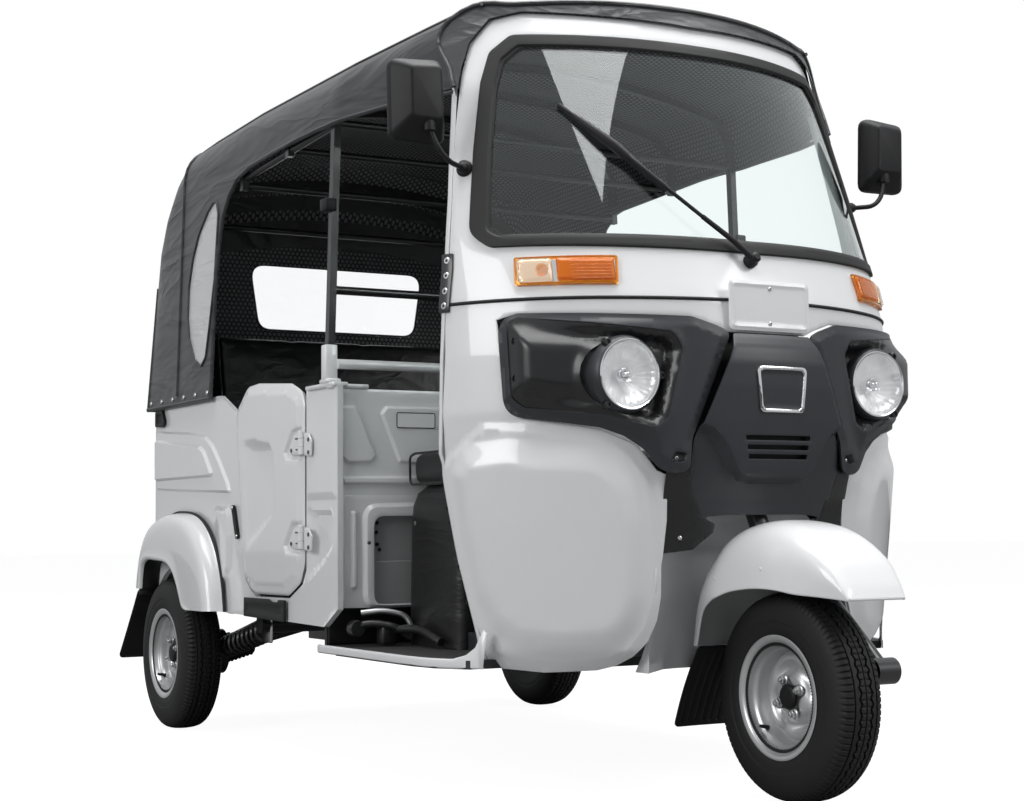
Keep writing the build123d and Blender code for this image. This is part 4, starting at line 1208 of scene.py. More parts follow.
@dataclass
class Windscreen:
    """Bonded screen, its rubber, the wiper and the two mirrors.

    Attributes:
        rubber_proud: how far the rubber stands out.
        middle_z: a height between the screen's lower and upper edge.
        blade_low: lower end (x, z) of the wiper's blade.
        blade_high: its upper end.
    """

    kit: Kit
    rubber_proud: float = 8.0
    middle_z: float = 1350.0
    blade_low: Point2 = (-172, 1240)
    blade_high: Point2 = (-342, 1434)

    def build(self) -> None:
        """Builds the glass, rubber, wiper and mirrors."""
        outer = rounded(self.grown(SCREEN_OUTER, 1.004, 3), 36)
        inner = rounded(PLAN.front(SCREEN_INNER), 26)
        middle = rounded(self.grown(SCREEN_INNER, 1.012, 6), 30)
        rubber = sheet("screen_rubber", outer, lambda t, z, h: PLAN.place(t, z, h + self.rubber_proud), 8, 15, 5.0,
                       holes=[inner], pressings=[Pressing(middle, -5, 4)])
        self.kit.keep(rubber, "body", "black_rubber", "black_rubber", "windscreen_seal")
        pane = rounded(self.grown(SCREEN_INNER, 1.012, 6), 28)
        glass = sheet("screen_pane", pane, lambda t, z, h: PLAN.place(t, z, h - 1), 24, 5, 0)
        self.kit.keep(glass, "body", "screen_glass", "screen_glass", "windscreen_glass")
        self.wiper()
        for side, word in SIDES:
            self.mirror(side, word)

    def grown(self, outline: Iterable[Point2], wider: float, taller: float) -> list[Point2]:
        """Outline of the screen in the skin's directions, wider by a factor and taller by a length at each end."""
        return PLAN.front([(x * wider, z + (taller if z > self.middle_z else -taller)) for x, z in outline])

    def wiper(self) -> None:
        """Arm, blade frame and rubber, parked across the screen."""
        def above(x: float, z: float, h: float) -> Point3:
            """Place in front of the screen."""
            return PLAN.place(PLAN.from_x(x), z, h)

        parts = [turned("wiper_hub", [(0, 0), (15, 0), (15, 12), (11, 18), (11, 26), (6, 30), (0, 30)],
                        above(-20, 1093, 1), (0, -1, 0.3), 28),
                 tube("wiper_arm_low", [above(-20, 1093, 22), above(-60, 1133, 24), above(-118, 1184, 26)], 6.5,
                      scale=[1.2, 0.9, 0.8]),
                 tube("wiper_arm_mid", [above(-118, 1184, 26), above(-178, 1246, 24)], 4.2),
                 tube("wiper_arm_top", [above(-178, 1246, 24), above(-222, 1296, 22), above(-252, 1334, 19)], 5.0,
                      scale=[1.3, 1.1, 0.9])]
        (low_x, low_z), (high_x, high_z) = self.blade_low, self.blade_high

        def along(f: float, h: float) -> Point3:
            """Place on the blade's line, from its low end to its high one."""
            return above(low_x + (high_x - low_x) * f, low_z + (high_z - low_z) * f, h)

        parts.append(tube("wiper_blade", [along(f, 5) for f in np.linspace(0, 1, 20)], 5.6))
        parts.append(tube("wiper_bridge", [along(0.12, 9), along(0.3, 14), along(0.5, 18), along(0.7, 14),
                                           along(0.88, 9)], 9.0, scale=[0.6, 1, 1.3, 1, 0.6]))
        for f0, f1 in ((0.0, 0.24), (0.26, 0.48), (0.52, 0.74), (0.76, 1.0)):
            parts.append(tube("wiper_claw", [along(f0, 6), along((f0 + f1) / 2, 11), along(f1, 6)], 3.6,
                              scale=[0.7, 1.2, 0.7]))
        self.kit.gather("wiper_assembly", parts, "body", "black_metal", "wiper", finish="black_plastic")

    def mirror(self, side: int, word: str) -> None:
        """Faceted mirror head on a bent stalk from a rubber grommet."""
        base = (side * 514.6, 428.0, 1301.0)
        outward = (side * 0.822, -0.57, 0)
        grommet = turned(f"grommet_{word}", [(18, 0), (18, 5), (13, 9), (12, 16), (8, 22), (5, 24), (0, 24)], base,
                         outward, 28)
        head_x, head_s, head_z = side * 628.0, 425.0, 1435.0
        start = tuple(base[i] + outward[i] * 18 for i in range(3))
        stalk = tube(f"stalk_{word}", bent([start, (side * 570, 392, 1304), (side * 596, 392, 1330),
                                            (side * 612, 404, 1380)], 26), 5.5)
        half_w, half_h = 64.0, 90.0
        # each row from the glass towards the front: size of the section, and how far forward it lies
        rows = []
        for grow_w, grow_h, shift_x, shift_z, forward in ((0.95, 0.96, 0, 0, -22), (1.0, 1.0, 0, 0, -14),
                                                          (0.99, 0.99, 0, 0, 2), (0.62, 0.66, -6, 10, 34),
                                                          (0.56, 0.60, -6, 10, 38)):
            ring = rounded([(-half_w * grow_w, -half_h * grow_h), (half_w * grow_w * 0.94, -half_h * grow_h * 0.98),
                            (half_w * grow_w, half_h * grow_h * 0.9), (-half_w * grow_w * 0.9, half_h * grow_h)],
                           20 * grow_w, 4)
            rows.append([(head_x + side * (shift_x + a), head_s - forward, head_z + shift_z + b) for a, b in ring])
        shell = loft(f"mirror_shell_{word}", rows, across_closed=True, caps=True, flip=side < 0)
        bevel = shell.modifiers.new("edge", "BEVEL")
        bevel.width, bevel.segments, bevel.angle_limit = 3 * MM, 2, radians(24)
        bevel.limit_method = "ANGLE"
        settle(shell, 30)
        collar = turned(f"mirror_collar_{word}", [(0, 0), (13, 0), (15, 16), (12, 30), (0, 30)],
                        (side * 612, 402, 1366), (0.0, 0.1, 1), 24)
        for part in (grommet, stalk, shell, collar):
            self.kit.paints.on(part, "black_plastic")
        pane = sheet(f"mirror_pane_{word}", rounded([(-56, -80), (54, -79), (58, 70), (-50, 80)], 18, 4),
                     lambda u, v, h: (head_x + side * u, head_s + 22.4 + h, head_z + v), 30, 2, 0.5)
        self.kit.paints.on(pane, "mirror_glass")
        self.kit.gather(f"mirror_{word}", [grommet, stalk, shell, collar, pane], "body", "dark_plastic", "mirrors")


def screw(name: str, place: Point3, axis: Point3, radius: float = 5.0) -> bpy.types.Object:
    """Pan-head screw with a cross-shaped hollow hinted by a sunk middle."""
    return turned(name, [(radius, 0), (radius, 1), (radius * 0.8, 2.6), (radius * 0.42, 3.2), (radius * 0.3, 1.4),
                         (0, 1.2)], place, axis, 20)


@dataclass
class Fascias:
    """Dark moulding on each side with its deep lamp pocket, and the gloss strips below.

    Attributes:
        proud: how far the mouldings stand out of the cab's skin.
        pocket_depth: of the lamp's pocket.
        opening: radius of the hole for the lamp in the pocket's floor.
        pocket: outline (x, z) of the right pocket.
        socket: outline (x, z) of the hollow round the lower screw.
    """

    kit: Kit
    proud: float = 8.0
    pocket_depth: float = 40.0
    opening: float = 71.0
    pocket: tuple[Point2, ...] = ((-497, 963), (-491, 806), (-474, 786), (-352, 770), (-262, 744), (-236, 764),
                                  (-204, 905), (-222, 938), (-480, 969))
    socket: tuple[Point2, ...] = ((-236, 674), (-202, 676), (-199, 694), (-222, 697))

    def build(self) -> None:
        """Builds both mouldings."""
        edge = [(-506, 972), (-504, 800), (-478, 772), (-360, 746), (-290, 716), (-250, 690), (-210, 760),
                (-150, 938), (-182, 966), (-480, 974)]
        self.swells = {side: Pressing(rounded(PLAN.front_on(edge, side), 20), 44, 74,
                                      (PLAN.from_x(side * 200), PLAN.from_x(side * 345))) for side in (-1, 1)}
        for side, word in SIDES:
            self.moulding(side, word)
            self.floor(side, word)
            self.strip(side, word)
        self.backing()

    def place(self, t: float, z: float, h: float) -> Point3:
        """Place on the moulding's outer face."""
        swell = float(self.swells[-1 if t < 0 else 1].height(np.array([[t, z]]))[0])
        x, s = PLAN.at(t, float(np.interp(z, (640, 990), (62, 66))), -self.proud - h - swell)
        return x, s, z

    def moulding(self, side: int, word: str) -> None:
        """Outer frame with a rolled rim, cut out for the pocket."""
        edge = [(-511, 978), (-503, 772), (-360, 745), (-318, 728), (-282, 702), (-254, 664),
                (-229, 652), (-193, 658), (-188, 722), (-100, 938), (-130, 952), (-182, 969)]
        outline = rounded(PLAN.front_on(edge, side), 48, 8)
        hole = rounded(PLAN.front_on(self.pocket, side), 27, 7)
        rim = Pressing(rounded(PLAN.front_on([(-504, 972), (-496, 779), (-357, 754), (-285, 720), (-244, 668),
                                              (-198, 662), (-193, 722), (-112, 934), (-132, 946), (-184, 963)],
                                             side), 42), 4, 9)
        sunk = Pressing(rounded(PLAN.front_on(self.socket, side), 5, 3), -11, 4)
        shell = sheet(f"fascia_{word}", outline, self.place, 8, 5, 2.6, holes=[hole], pressings=[rim, sunk])
        self.kit.keep(shell, "body", "charcoal_plastic", "dark_plastic",
                      *once(side, "headlamp_fascias"))
        head = screw(f"fascia_screw_{word}", self.place(PLAN.from_x(side * 218), 684, -9), (side * 0.2, -1, 0), 4.5)
        self.kit.gather(f"fascia_screws_{word}", [head], "body", "black_metal", finish="bright_steel")

    def floor(self, side: int, word: str) -> None:
        """Glossier floor of the pocket, shallow at its outer end and deep round the lamp."""
        outline = rounded(PLAN.front_on(self.pocket, side), 27, 7)

        def deep(t: float, z: float, h: float) -> Point3:
            """Place on the pocket's floor."""
            fade = float(np.interp(abs(t), (270, 345, 430, 520), (1.0, 1.0, 0.62, 0.05)))
            return self.place(t, z, 1.5 + h * fade)

        slope = Pressing(outline, -self.pocket_depth, 34)
        around, opening = [], []
        for a in (2 * pi * k / 24 for k in range(24)):
            around.append((PLAN.from_x(side * LAMP_X) + 104 * cos(a), LAMP_Z + 100 * sin(a)))
            opening.append((PLAN.from_x(side * LAMP_X + self.opening * cos(a)), LAMP_Z + self.opening * sin(a)))
        bowl = Pressing(around, 30, 44, (PLAN.from_x(side * 300), PLAN.from_x(side * 385)))
        pan = sheet(f"lamp_pocket_{word}", outline, deep, 8, 3, 0, holes=[opening], pressings=[slope, bowl])
        self.kit.keep(pan, "body", "bowl_plastic", "dark_plastic")
        fix = []
        for z in (921, 846):
            t = PLAN.from_x(side * 483)
            x, s, _ = self.place(t, z, -4)
            fix.append(self.kit.paints.on(turned(f"cup_{word}_{z}", [(9, 0), (9, 1.4), (7, 1.8), (6, -1), (0, -1)],
                                                 (x, s, z), (side * 0.55, -0.83, 0), 24), "bowl_plastic"))
            fix.append(self.kit.paints.on(screw(f"cup_screw_{word}_{z}", (x, s, z), (side * 0.55, -0.83, 0), 3.6),
                                          "black_metal"))
        self.kit.gather(f"pocket_screws_{word}", fix, "body", "black_metal")

    def strip(self, side: int, word: str) -> None:
        """Gloss strip between the cheek and the middle panel."""
        outline = rounded(PLAN.front_on([(-236, 700), (-226, 735), (-186, 735), (-184, 640), (-150, 566),
                                         (-122, 552), (-126, 534), (-168, 500), (-236, 492), (-233, 560)], side), 6, 3)

        def low(t: float, z: float, h: float) -> Point3:
            """Place on the strip, which leans back towards its foot."""
            x, s = PLAN.at(t, float(np.interp(z, (490, 600, 655, 735), (98, 84, 68, 59))), -h)
            return x, s, z

        piece = sheet(f"lower_strip_{word}", outline, low, 10, 4, 1.2)
        self.kit.keep(piece, "body", "bowl_plastic", "dark_plastic")
        t = PLAN.from_x(side * 196)
        head = screw(f"strip_screw_{word}", low(t, 524, 0), (side * 0.2, -1, 0), 5)
        self.kit.keep(head, "body", "bright_steel", "black_metal")

    def backing(self) -> None:
        """Dark sheet behind the joints between the mouldings, as painted shade seen through them."""
        half = [(-494, 955), (-486, 812), (-360, 778), (-300, 735), (-236, 690), (-224, 570), (-170, 560), (-100, 600)]
        outline = PLAN.front(half) + PLAN.front([(100, 600), (170, 560), (224, 570), (236, 690), (300, 735),
                                                 (360, 778), (486, 812), (494, 955), (100, 925), (-100, 925)])
        # black sheet 44 mm behind the skin, standing in for the shade inside the joints
        back = sheet("fascia_backing", outline, lambda t, z, h: PLAN.place(t, z, h - 44), 30, 2, 0)
        self.kit.keep(back, "body", "black_rubber", "dark_plastic")


@dataclass
class CentrePanel:
    """Middle panel with its raised shield, three slots and a blank framed badge.

    Attributes:
        noses: how far behind the front axle line the panel is at each height, as (height, distance).
        shield_rise: how far the shield stands out of the panel.
        shield: its outline (x, z).
    """

    kit: Kit
    noses: tuple[Point2, ...] = ((480, 100), (600, 84), (640, 72), (658, 67), (700, 62), (760, 57), (830, 53),
                                 (880, 52), (908, 57), (940, 79))
    shield_rise: float = 21.0
    shield: tuple[Point2, ...] = ((-150, 990), (-260, 742), (-182, 740), (-158, 732), (-138, 712), (-104, 652),
                                  (-84, 637), (-60, 632), (60, 632), (84, 637), (104, 652), (138, 712), (158, 732),
                                  (182, 740), (260, 742), (150, 990))

    def build(self) -> None:
        """Builds the panel, its slots with painted shade behind them, and the badge."""
        half = [(-94, 937), (-183, 722), (-188, 660), (-163, 552), (-140, 566), (-100, 570)]
        outline = rounded(PLAN.front(half[::-1] + mirrored(half[::-1])), 5, 3)
        shield = Pressing(rounded(PLAN.front(self.shield), 22), self.shield_rise, 15)
        slots = [rounded(PLAN.front([(left, z + 5), (left + 1, z - 5), (right - 1, z - 5), (right, z + 5)]), 2.5, 3)
                 for z, left, right in ((725, -81, 79), (706, -77, 75), (687, -74, 72))]
        panel = sheet("centre_panel", outline, self.place, 8, 5, 1.8, holes=slots, pressings=[shield])
        self.kit.keep(panel, "body", "charcoal_plastic", "dark_plastic", "centre_fascia")
        # black sheets just behind the slots are painted shade, so the slots read dark
        backs = []
        for n, slot_edge in enumerate(slots):
            (low_t, low_z), (high_t, high_z) = np.min(slot_edge, 0) - 3, np.max(slot_edge, 0) + 3
            backs.append(sheet(f"slot_back_{n}", [(low_t, low_z), (high_t, low_z), (high_t, high_z), (low_t, high_z)],
                               lambda t, z, h: self.place(t, z, h + 4), 12, 2, 0))
        self.kit.gather("slot_backs", backs, "body", "dark_plastic", finish="black_rubber")
        self.badge()

    def place(self, t: float, z: float, h: float) -> Point3:
        """Place on the panel's base face."""
        x, s = PLAN.at(t, float(np.interp(z, *zip(*self.noses))), -h)
        return x, s, z

    def badge(self) -> None:
        """Blank plate in a bright frame."""
        corners = [(-61, 870), (-52, 782), (-45, 776), (50, 776), (56, 782), (63, 870)]
        outline = rounded(PLAN.front(corners), 13, 6)
        hole = rounded(PLAN.front([(x * 0.87, 823 + (z - 823) * 0.84) for x, z in corners]), 11, 6)
        ring = sheet("badge_frame", outline, lambda t, z, h: self.place(t, z, h + self.shield_rise + 5), 4, 5, 2.2,
                     holes=[hole])
        self.kit.keep(ring, "body", "chrome", "lamp_chrome")
        face = sheet("badge_face", hole, lambda t, z, h: self.place(t, z, h + self.shield_rise + 2.4), 8, 2, 0,
                     pressings=[Pressing(hole, -1.2, 5)])
        self.kit.keep(face, "body", "charcoal_plastic", "dark_plastic")


@dataclass
class Lamps:
    """Round headlamps, amber turn lamps, and the plate between them.

    Attributes:
        lamp_front: how far behind the front axle line the lamps' rims stand.
        plate_s: how far behind it the plate's face stands.
        radius: of a headlamp.
    """

    kit: Kit
    lamp_front: float = 104.0
    plate_s: float = 66.0
    radius: float = 75.0

    def build(self) -> None:
        """Builds every lamp at the front."""
        for side, word in SIDES:
            self.headlamp(side, word)
            self.indicator(side, word)
        self.plate()

    def headlamp(self, side: int, word: str) -> None:
        """Bucket, bezel, fluted reflector, bulb and domed lens of one lamp."""
        centre, ahead = (side * LAMP_X, self.lamp_front, LAMP_Z), (0, -1, 0)
        r = self.radius
        bucket = turned(f"lamp_bucket_{word}", [(r + 2, -70), (r + 2, -26), (r + 4, -24), (r + 4, -14), (r + 1, -7),
                                                (r - 1, -2), (r - 4, 0), (r - 4, -6), (r - 8, -8)], centre, ahead,
                        72)
        rim = turned(f"lamp_rim_{word}", [(r - 4, -5), (r - 4, 0.6), (r - 6, 1.8), (r - 8, 1.4), (r - 9, -2),
                                          (r - 9, -8)], centre, ahead, 72)

        def flutes(angle: float, i: int) -> float:
            """Ribs round the reflector's bowl."""
            return 1 + (0.028 * abs(sin(angle * 13)) if 1 <= i <= 7 else 0)

        bowl = turned(f"lamp_reflector_{word}", [(r - 8, -5), (r - 12, -12), (r - 20, -20), (r - 30, -27),
                                                 (r - 40, -33), (r - 48, -38), (r - 54, -42), (16, -45), (13, -46),
                                                 (13, -34), (10, -32), (0, -32)], centre, ahead, 156, 60, flutes)
        bulb = turned(f"lamp_bulb_{word}", [(9, -44), (9, -28), (7, -20), (4, -16), (0, -15)], centre, ahead, 28)
        shield = turned(f"lamp_bulb_cap_{word}", [(16, -30), (17, -22), (14, -18), (11, -20), (11, -26)], centre,
                        ahead, 32)
        lens = turned(f"lamp_lens_{word}", [(r - 8, -4), (r - 10, 0), (r - 20, 5), (r - 34, 9), (r - 50, 11.5),
                                            (10, 12.6), (0, 12.8), (0, 10.2), (10, 10), (r - 50, 9), (r - 34, 6.4),
                                            (r - 20, 2.4), (r - 11, -3)], centre, ahead, 96, 60)
        tabs = []
        for angle in (128, 232, 0):
            a = radians(angle if side < 0 else 180 - angle)
            x, z = centre[0] + (r + 4) * cos(a), centre[2] + (r + 4) * sin(a)
            tabs.append(turned(f"lamp_tab_{word}_{angle}", [(9, -16), (9, -5), (7, -3), (4, -3), (4, -6), (0, -6)],
                               (x, self.lamp_front, z), ahead, 20))
        for part, finish in ((bucket, "charcoal_plastic"), (rim, "chrome"), (bowl, "lamp_silver"), (bulb, "chrome"),
                             (shield, "chrome"), (lens, "lamp_lens"), *((tab, "bowl_plastic") for tab in tabs)):
            self.kit.paints.on(part, finish)
        self.kit.gather(f"headlamp_{word}", [bucket, rim, bowl, bulb, shield, *tabs], "body", "lamp_chrome",
                        *once(side, "headlamps"))
        self.kit.keep(lens, "body", None, "lamp_chrome")

    def indicator(self, side: int, word: str) -> None:
        """Amber turn lamp with a clear outer part, on a dark base."""
        edge = [(-480, 1037), (-474, 1097), (-302, 1098), (-311, 1037)]
        outline = rounded(PLAN.front_on(edge, side), 7, 4)
        hole = rounded(PLAN.front_on([(-475, 1043), (-470, 1092), (-308, 1093), (-315, 1043)], side), 5, 4)
        base = sheet(f"indicator_base_{word}", outline, lambda t, z, h: PLAN.place(t, z, h + 8), 6, 8, 2.2,
                     holes=[hole])
        back = sheet(f"indicator_back_{word}", outline, lambda t, z, h: PLAN.place(t, z, h + 2), 10, 1.5, 0)
        self.kit.keep(back, "body", "chrome", "amber_lens")
        self.kit.keep(base, "body", "amber_lens", "amber_lens", *once(side, "front_indicators"))
        parts = []
        for name, a, b, finish in (("clear", (-475, 1042), (-418, 1093), "clear_lens"),
                                   ("amber", (-415, 1043), (-311, 1093), "amber_lens")):
            box = rounded(PLAN.front_on([a, (a[0] + 4, b[1]), b, (b[0] - 3, a[1])], side), 5, 3)
            pillow = sheet(f"indicator_{name}_{word}", box, lambda t, z, h: PLAN.place(t, z, h + 8), 5, 3, 1.2,
                           pressings=[Pressing(box, 6, 7)])
            parts.append(self.kit.paints.on(pillow, finish))
        ribs = []
        for z in np.arange(1048, 1092, 7.0):
            ends = [PLAN.place(PLAN.from_x(side * x), z, 13.2) for x in np.linspace(317, 388, 8)]
            ribs.append(self.kit.paints.on(tube(f"rib_{word}_{z:.0f}", ends, 1.1, sides=2), "amber_lens"))
        for x in np.arange(321, 388, 9.0):
            ends = [PLAN.place(PLAN.from_x(side * x), z, 13.0) for z in np.linspace(1048, 1088, 5)]
            ribs.append(self.kit.paints.on(tube(f"post_{word}_{x:.0f}", ends, 0.9, sides=2), "amber_lens"))
        bulb = turned(f"indicator_bulb_{word}", [(13, 0), (12, 3), (6, 5), (0, 5)],
                      PLAN.place(PLAN.from_x(side * 436), 1068, 5.5), (side * 0.5, -0.86, 0), 28)
        self.kit.paints.on(bulb, "amber_lens")
        self.kit.gather(f"indicator_lens_{word}", [*parts, *ribs, bulb], "body", "amber_lens")

    def plate(self) -> None:
        """Blank number plate with a raised border and two screws."""
        outline = rounded([(-102, 945), (102, 945), (102, 1049), (-102, 1049)], 11, 5)
        border = rounded([(-98, 949), (98, 949), (98, 1045), (-98, 1045)], 9, 5)
        inner = rounded([(-93, 954), (93, 954), (93, 1040), (-93, 1040)], 7, 5)
        plate = sheet("plate", outline, lambda u, v, h: (u, self.plate_s - h, v), 9, 3, 0.9,
                      pressings=[Pressing(border, 2.0, 3), Pressing(inner, -1.6, 3)])
        self.kit.keep(plate, "body", "plate_white", "plate_white", "number_plate")
        parts = [screw(f"plate_screw_{z}", (0, self.plate_s, z), (0, -1, 0), 5) for z in (961, 1033)]
        parts += [block("plate_bracket", (-38, 69, 1000), (38, 77, 1007), 1)]
        self.kit.gather("plate_fixings", parts, "body", "black_metal", finish="bright_steel")


# ------------------------------------------------------------------ the hood


@dataclass
class Hood:
    """Fabric hood: one skin over four bows, with piping, windows, hem and a patterned lining.

    Attributes:
        stations: the fabric's shape as (s, half width, crown height, how far the roof drops to its corners).
        bows: where the bows hold the fabric up.
        marks: lengths across the fabric from the roof's middle, each with the section's point that lies there. They
            are the middle, both ends of the corner, and the hem.
        low_half: half width at the hem.
        hem_z: height of the hem.
        corner: how far a corner of the roof reaches inwards.
        shoulder: how far it reaches down.
        rear: where the rear wall is.
        post: where the fabric begins behind the doorway.
        opening: edge (s, z) of the doorway.
        window: outline (s, z) of a side window.
        rear_window: outline (x, z) of the rear window.
    """

    kit: Kit
    stations: tuple[tuple[float, float, float, float], ...] = (
        (290, 486, 1684, 6), (500, 500, 1692, 10), (640, 545, 1700, 40), (925, 586, 1704, 62), (1500, 588, 1704, 62),
        (1850, 588, 1694, 62), (1973, 586, 1688, 62), (2060, 584, 1654, 62), (2150, 582, 1578, 62),
        (2200, 580, 1506, 62), (2228, 578, 1420, 62))
    bows: tuple[float, ...] = (330, 640, 957, 1235, 1540, 1880, 2120)
    marks: tuple[tuple[float, int], ...] = ((0, 0), (510, 13), (650, 20), (1300, 35))
    low_half: float = 607.0
    hem_z: float = 895.0
    corner: float = 80.0
    shoulder: float = 98.0
    rear: float = 2228.0
    post: float = 1700.0
    opening: tuple[Point2, ...] = ((387, 1475), (643, 1487), (848, 1493), (1037, 1496), (1261, 1495), (1463, 1486),
                                   (1548, 1469), (1605, 1434), (1650, 1378), (1676, 1290), (1691, 1168), (1697, 1040),
                                   (1700, 895))
    window: tuple[Point2, ...] = ((1686, 1397), (1700, 1430), (1725, 1436), (1770, 1415), (1835, 1364), (1880, 1300),
                                  (1906, 1220), (1906, 1140), (1888, 1078), (1840, 1015), (1783, 992), (1750, 1015),
                                  (1729, 1090), (1699, 1222))
    rear_window: tuple[Point2, ...] = ((-292, 1354), (292, 1354), (262, 1155), (-262, 1155))

    def build(self) -> None:
        """Builds the fabric, its lining and everything sewn to it."""
        self.skin()
        self.lining()
        self.band()
        self.seams()
        self.windows()
        self.fixings()

    def at(self, s: float) -> tuple[float, float, float]:
        """Half width, crown height and drop at a place along the hood."""
        columns = list(zip(*self.stations))
        s = min(max(s, columns[0][0]), columns[0][-1])
        return tuple(float(np.interp(s, columns[0], column)) for column in columns[1:])

    def slack(self, s: float, across: float) -> float:
        """How far the fabric sags between the bows, most in the middle of each bay."""
        for a, b in zip(self.bows, self.bows[1:]):
            if a <= s <= b:
                f = (s - a) / (b - a)
                deep = 13 if s < 1850 else 8
                return deep * sin(pi * f) ** 2 * (0.45 + 0.55 * cos(across * pi / 2) ** 0.5) if abs(across) < 1 else 0
        return 0.0

    def section(self, s: float, inset: float) -> list[Point2]:
        """Half outline (x, z) from the middle of the roof to the hem, evenly divided between the marks."""
        half, crown, drop = self.at(s)
        low_half = self.foot(half)
        _, corner, side, hem = (point for _, point in self.marks)
        edge_x, top = half - self.corner, crown - drop - inset
        out: list[Point2] = []
        for f in (k / corner for k in range(corner)):
            out.append((edge_x * f, crown - drop * f * f - inset - self.slack(s, f)))
        for a in (pi / 2 * k / (side - corner) for k in range(side - corner)):
            out.append((edge_x + (self.corner - inset) * sin(a), top - self.shoulder * (1 - cos(a))))
        shoulder_z = crown - drop - self.shoulder
        for f in (k / (hem - side) for k in range(hem - side + 1)):
            out.append((half + (low_half - half) * f - inset, shoulder_z + (self.hem_z - shoulder_z) * f))
        return out

    def foot(self, half: float) -> float:
        """Half width at the hem below a place where the roof has a half width."""
        return self.low_half * min(1.0, half / 578)

    def place(self, s: float, u: float, inset: float) -> Point3:
        """Place on the fabric at s, u running from -1 to 1 across it."""
        row = self.section(s, inset)
        f = abs(u) * (len(row) - 1)
        i = min(int(f), len(row) - 2)
        f -= i
        x = row[i][0] * (1 - f) + row[i + 1][0] * f
        z = row[i][1] * (1 - f) + row[i + 1][1] * f
        return (x if u >= 0 else -x), s, z

    def spot(self, s: float, u: float, inset: float) -> Point3:
        """Place on the fabric at s and at a length u across it from the roof's middle."""
        index = float(np.interp(abs(u), *zip(*self.marks)))
        return self.place(s, (index if u >= 0 else -index) / self.marks[-1][1], inset)

    def on_u(self, s: float, z: float) -> float:
        """Length across the fabric at which its side is at a height."""
        _, crown, drop = self.at(s)
        top, (start, _), (end, _) = crown - drop - self.shoulder, *self.marks[2:]
        return start + (end - start) * (top - z) / (top - self.hem_z)

    def front_s(self, x: float, z: float, back: float = 0.0) -> float:
        """Where the fabric's front edge crosses a place seen from the front."""
        return PLAN.at(PLAN.from_x(min(abs(x), 598.0)), PLAN.nose(z), -13)[1] + back

    def front_line(self, back: float = 0.0) -> list[Point2]:
        """Front edge (s, u) from the roof's middle to where the doorway begins, each place found by repeated tries."""
        out: list[Point2] = []
        for u in np.linspace(0, self.marks[-1][0], 66):
            s = 340.0
            for _ in range(14):
                x, _, z = self.spot(s, u, 0)
                s = self.front_s(x, z, back)
            if z < self.opening[0][1] + 2:
                break
            out.append((s, float(u)))
        return out

    def wall(self, name: str, inset: float) -> bpy.types.Object:
        """Roof and sides as one skin, and the rear, with the cloth's directions as UV."""
        back = 3.0 if inset else 0.0
        front = self.front_line(back)
        top = [(s, z - back) for s, z in self.opening if s > front[-1][0] + 12 and z > 896]
        side = front + [(s + (back if s > 1600 else 0), self.on_u(s, z)) for s, z in top]
        side += [(self.post + back, self.marks[-1][0]), (self.rear, self.marks[-1][0])]
        outline = [(s, -u) for s, u in side[:0:-1]] + side
        windows = [rounded([(s, side_u * self.on_u(s, z)) for s, z in self.window], 18) for side_u in (-1, 1)]
        skin = sheet(name, outline, lambda s, u, h: self.spot(s, u, inset - h), 24, 0, holes=windows, with_uv=True)
        last = self.section(self.rear, inset)
        last = [(-x, z) for x, z in last[:0:-1]] + last
        rear = sheet(f"{name}_rear", last, lambda x, z, h: (x, self.rear - inset + h, z), 26, 0, with_uv=True,
                     holes=[rounded(self.rear_window, 45, 8)], pressings=[Pressing(last, 7, 160)])
        return joined(name, [skin, rear])

    def skin(self) -> None:
        """Outer fabric."""
        fabric = self.wall("hood_fabric", 0)
        thicken(fabric, 2.4, 0)
        settle(fabric, 55)
        self.kit.keep(fabric, "body", "hood_vinyl", "hood_fabric", "hood")

    def area(self, obj: bpy.types.Object) -> float:
        """Area of every face of a piece in square metres."""
        return sum(p.area for p in obj.data.polygons)

    def lining(self) -> None:
        """Patterned cloth on the inside of the roof, sides and rear."""
        cloth = self.wall("hood_lining", 3.6)
        self.kit.keep(cloth, "body", "net_lining", "hood_fabric")

    def run(self, name: str, places: Sequence[Point3], radius: float, finish: str = "hood_vinyl") -> bpy.types.Object:
        """Piping or rolled edge along the fabric."""
        return self.kit.paints.on(tube(name, places, radius, sides=3), finish)

    def seams(self) -> None:
        """Piping along the roof's edges and the rear corner, rolled edges of the openings and the hem."""
        parts = []
        for side, word in SIDES:
            parts += [self.run(f"piping_roof_{word}", self.roof_seam(side), 4.6),
                      self.run(f"piping_rear_{word}", self.rear_seam(side), 4.2),
                      self.run(f"piping_cross_{word}",
                               [self.place(1973.0, side * k, -1.2) for k in np.linspace(0.02, 0.98, 34)], 4.0)]
            edge = [self.on_side(s, z, side, 1.5) for s, z in resampled(self.opening, 22, False)]
            parts.append(self.run(f"edge_doorway_{word}", [p for p in edge if p[1] > self.front_s(p[0], p[2])], 5.6))
            hem = [self.on_side(s, self.hem_z + 6, side, 2) for s in np.linspace(1703, 2226, 24)]
            parts.append(self.run(f"hem_{word}", hem, 5.0))
        hem_rear = [(x, self.rear + 3, self.hem_z + 6) for x in np.linspace(-604, 604, 30)]
        parts.append(self.run("hem_rear", hem_rear, 5.0))
        line = [PLAN.place(PLAN.from_x(x), z, 13) for x, z in resampled(self.front_edge(), 24, False)]
        parts.append(self.run("piping_front", line, 5.2))
        for part in parts:
            settle(part)
        self.kit.gather("hood_piping", parts, "body", "hood_fabric")

    def roof_seam(self, side: int) -> list[Point3]:
        """Line of the piping along one edge of the roof, behind the front edge."""
        line = []
        for s in map(float, np.linspace(300, 2215, 120)):
            half, crown, drop = self.at(s)
            edge_x = half - self.corner
            nose = PLAN.at(PLAN.from_x(min(edge_x, 598)), PLAN.nose(crown - drop), 0)[1] - 14
            if s > nose:
                line.append((side * (edge_x + 26), s, crown - drop - 4.5))
        return line

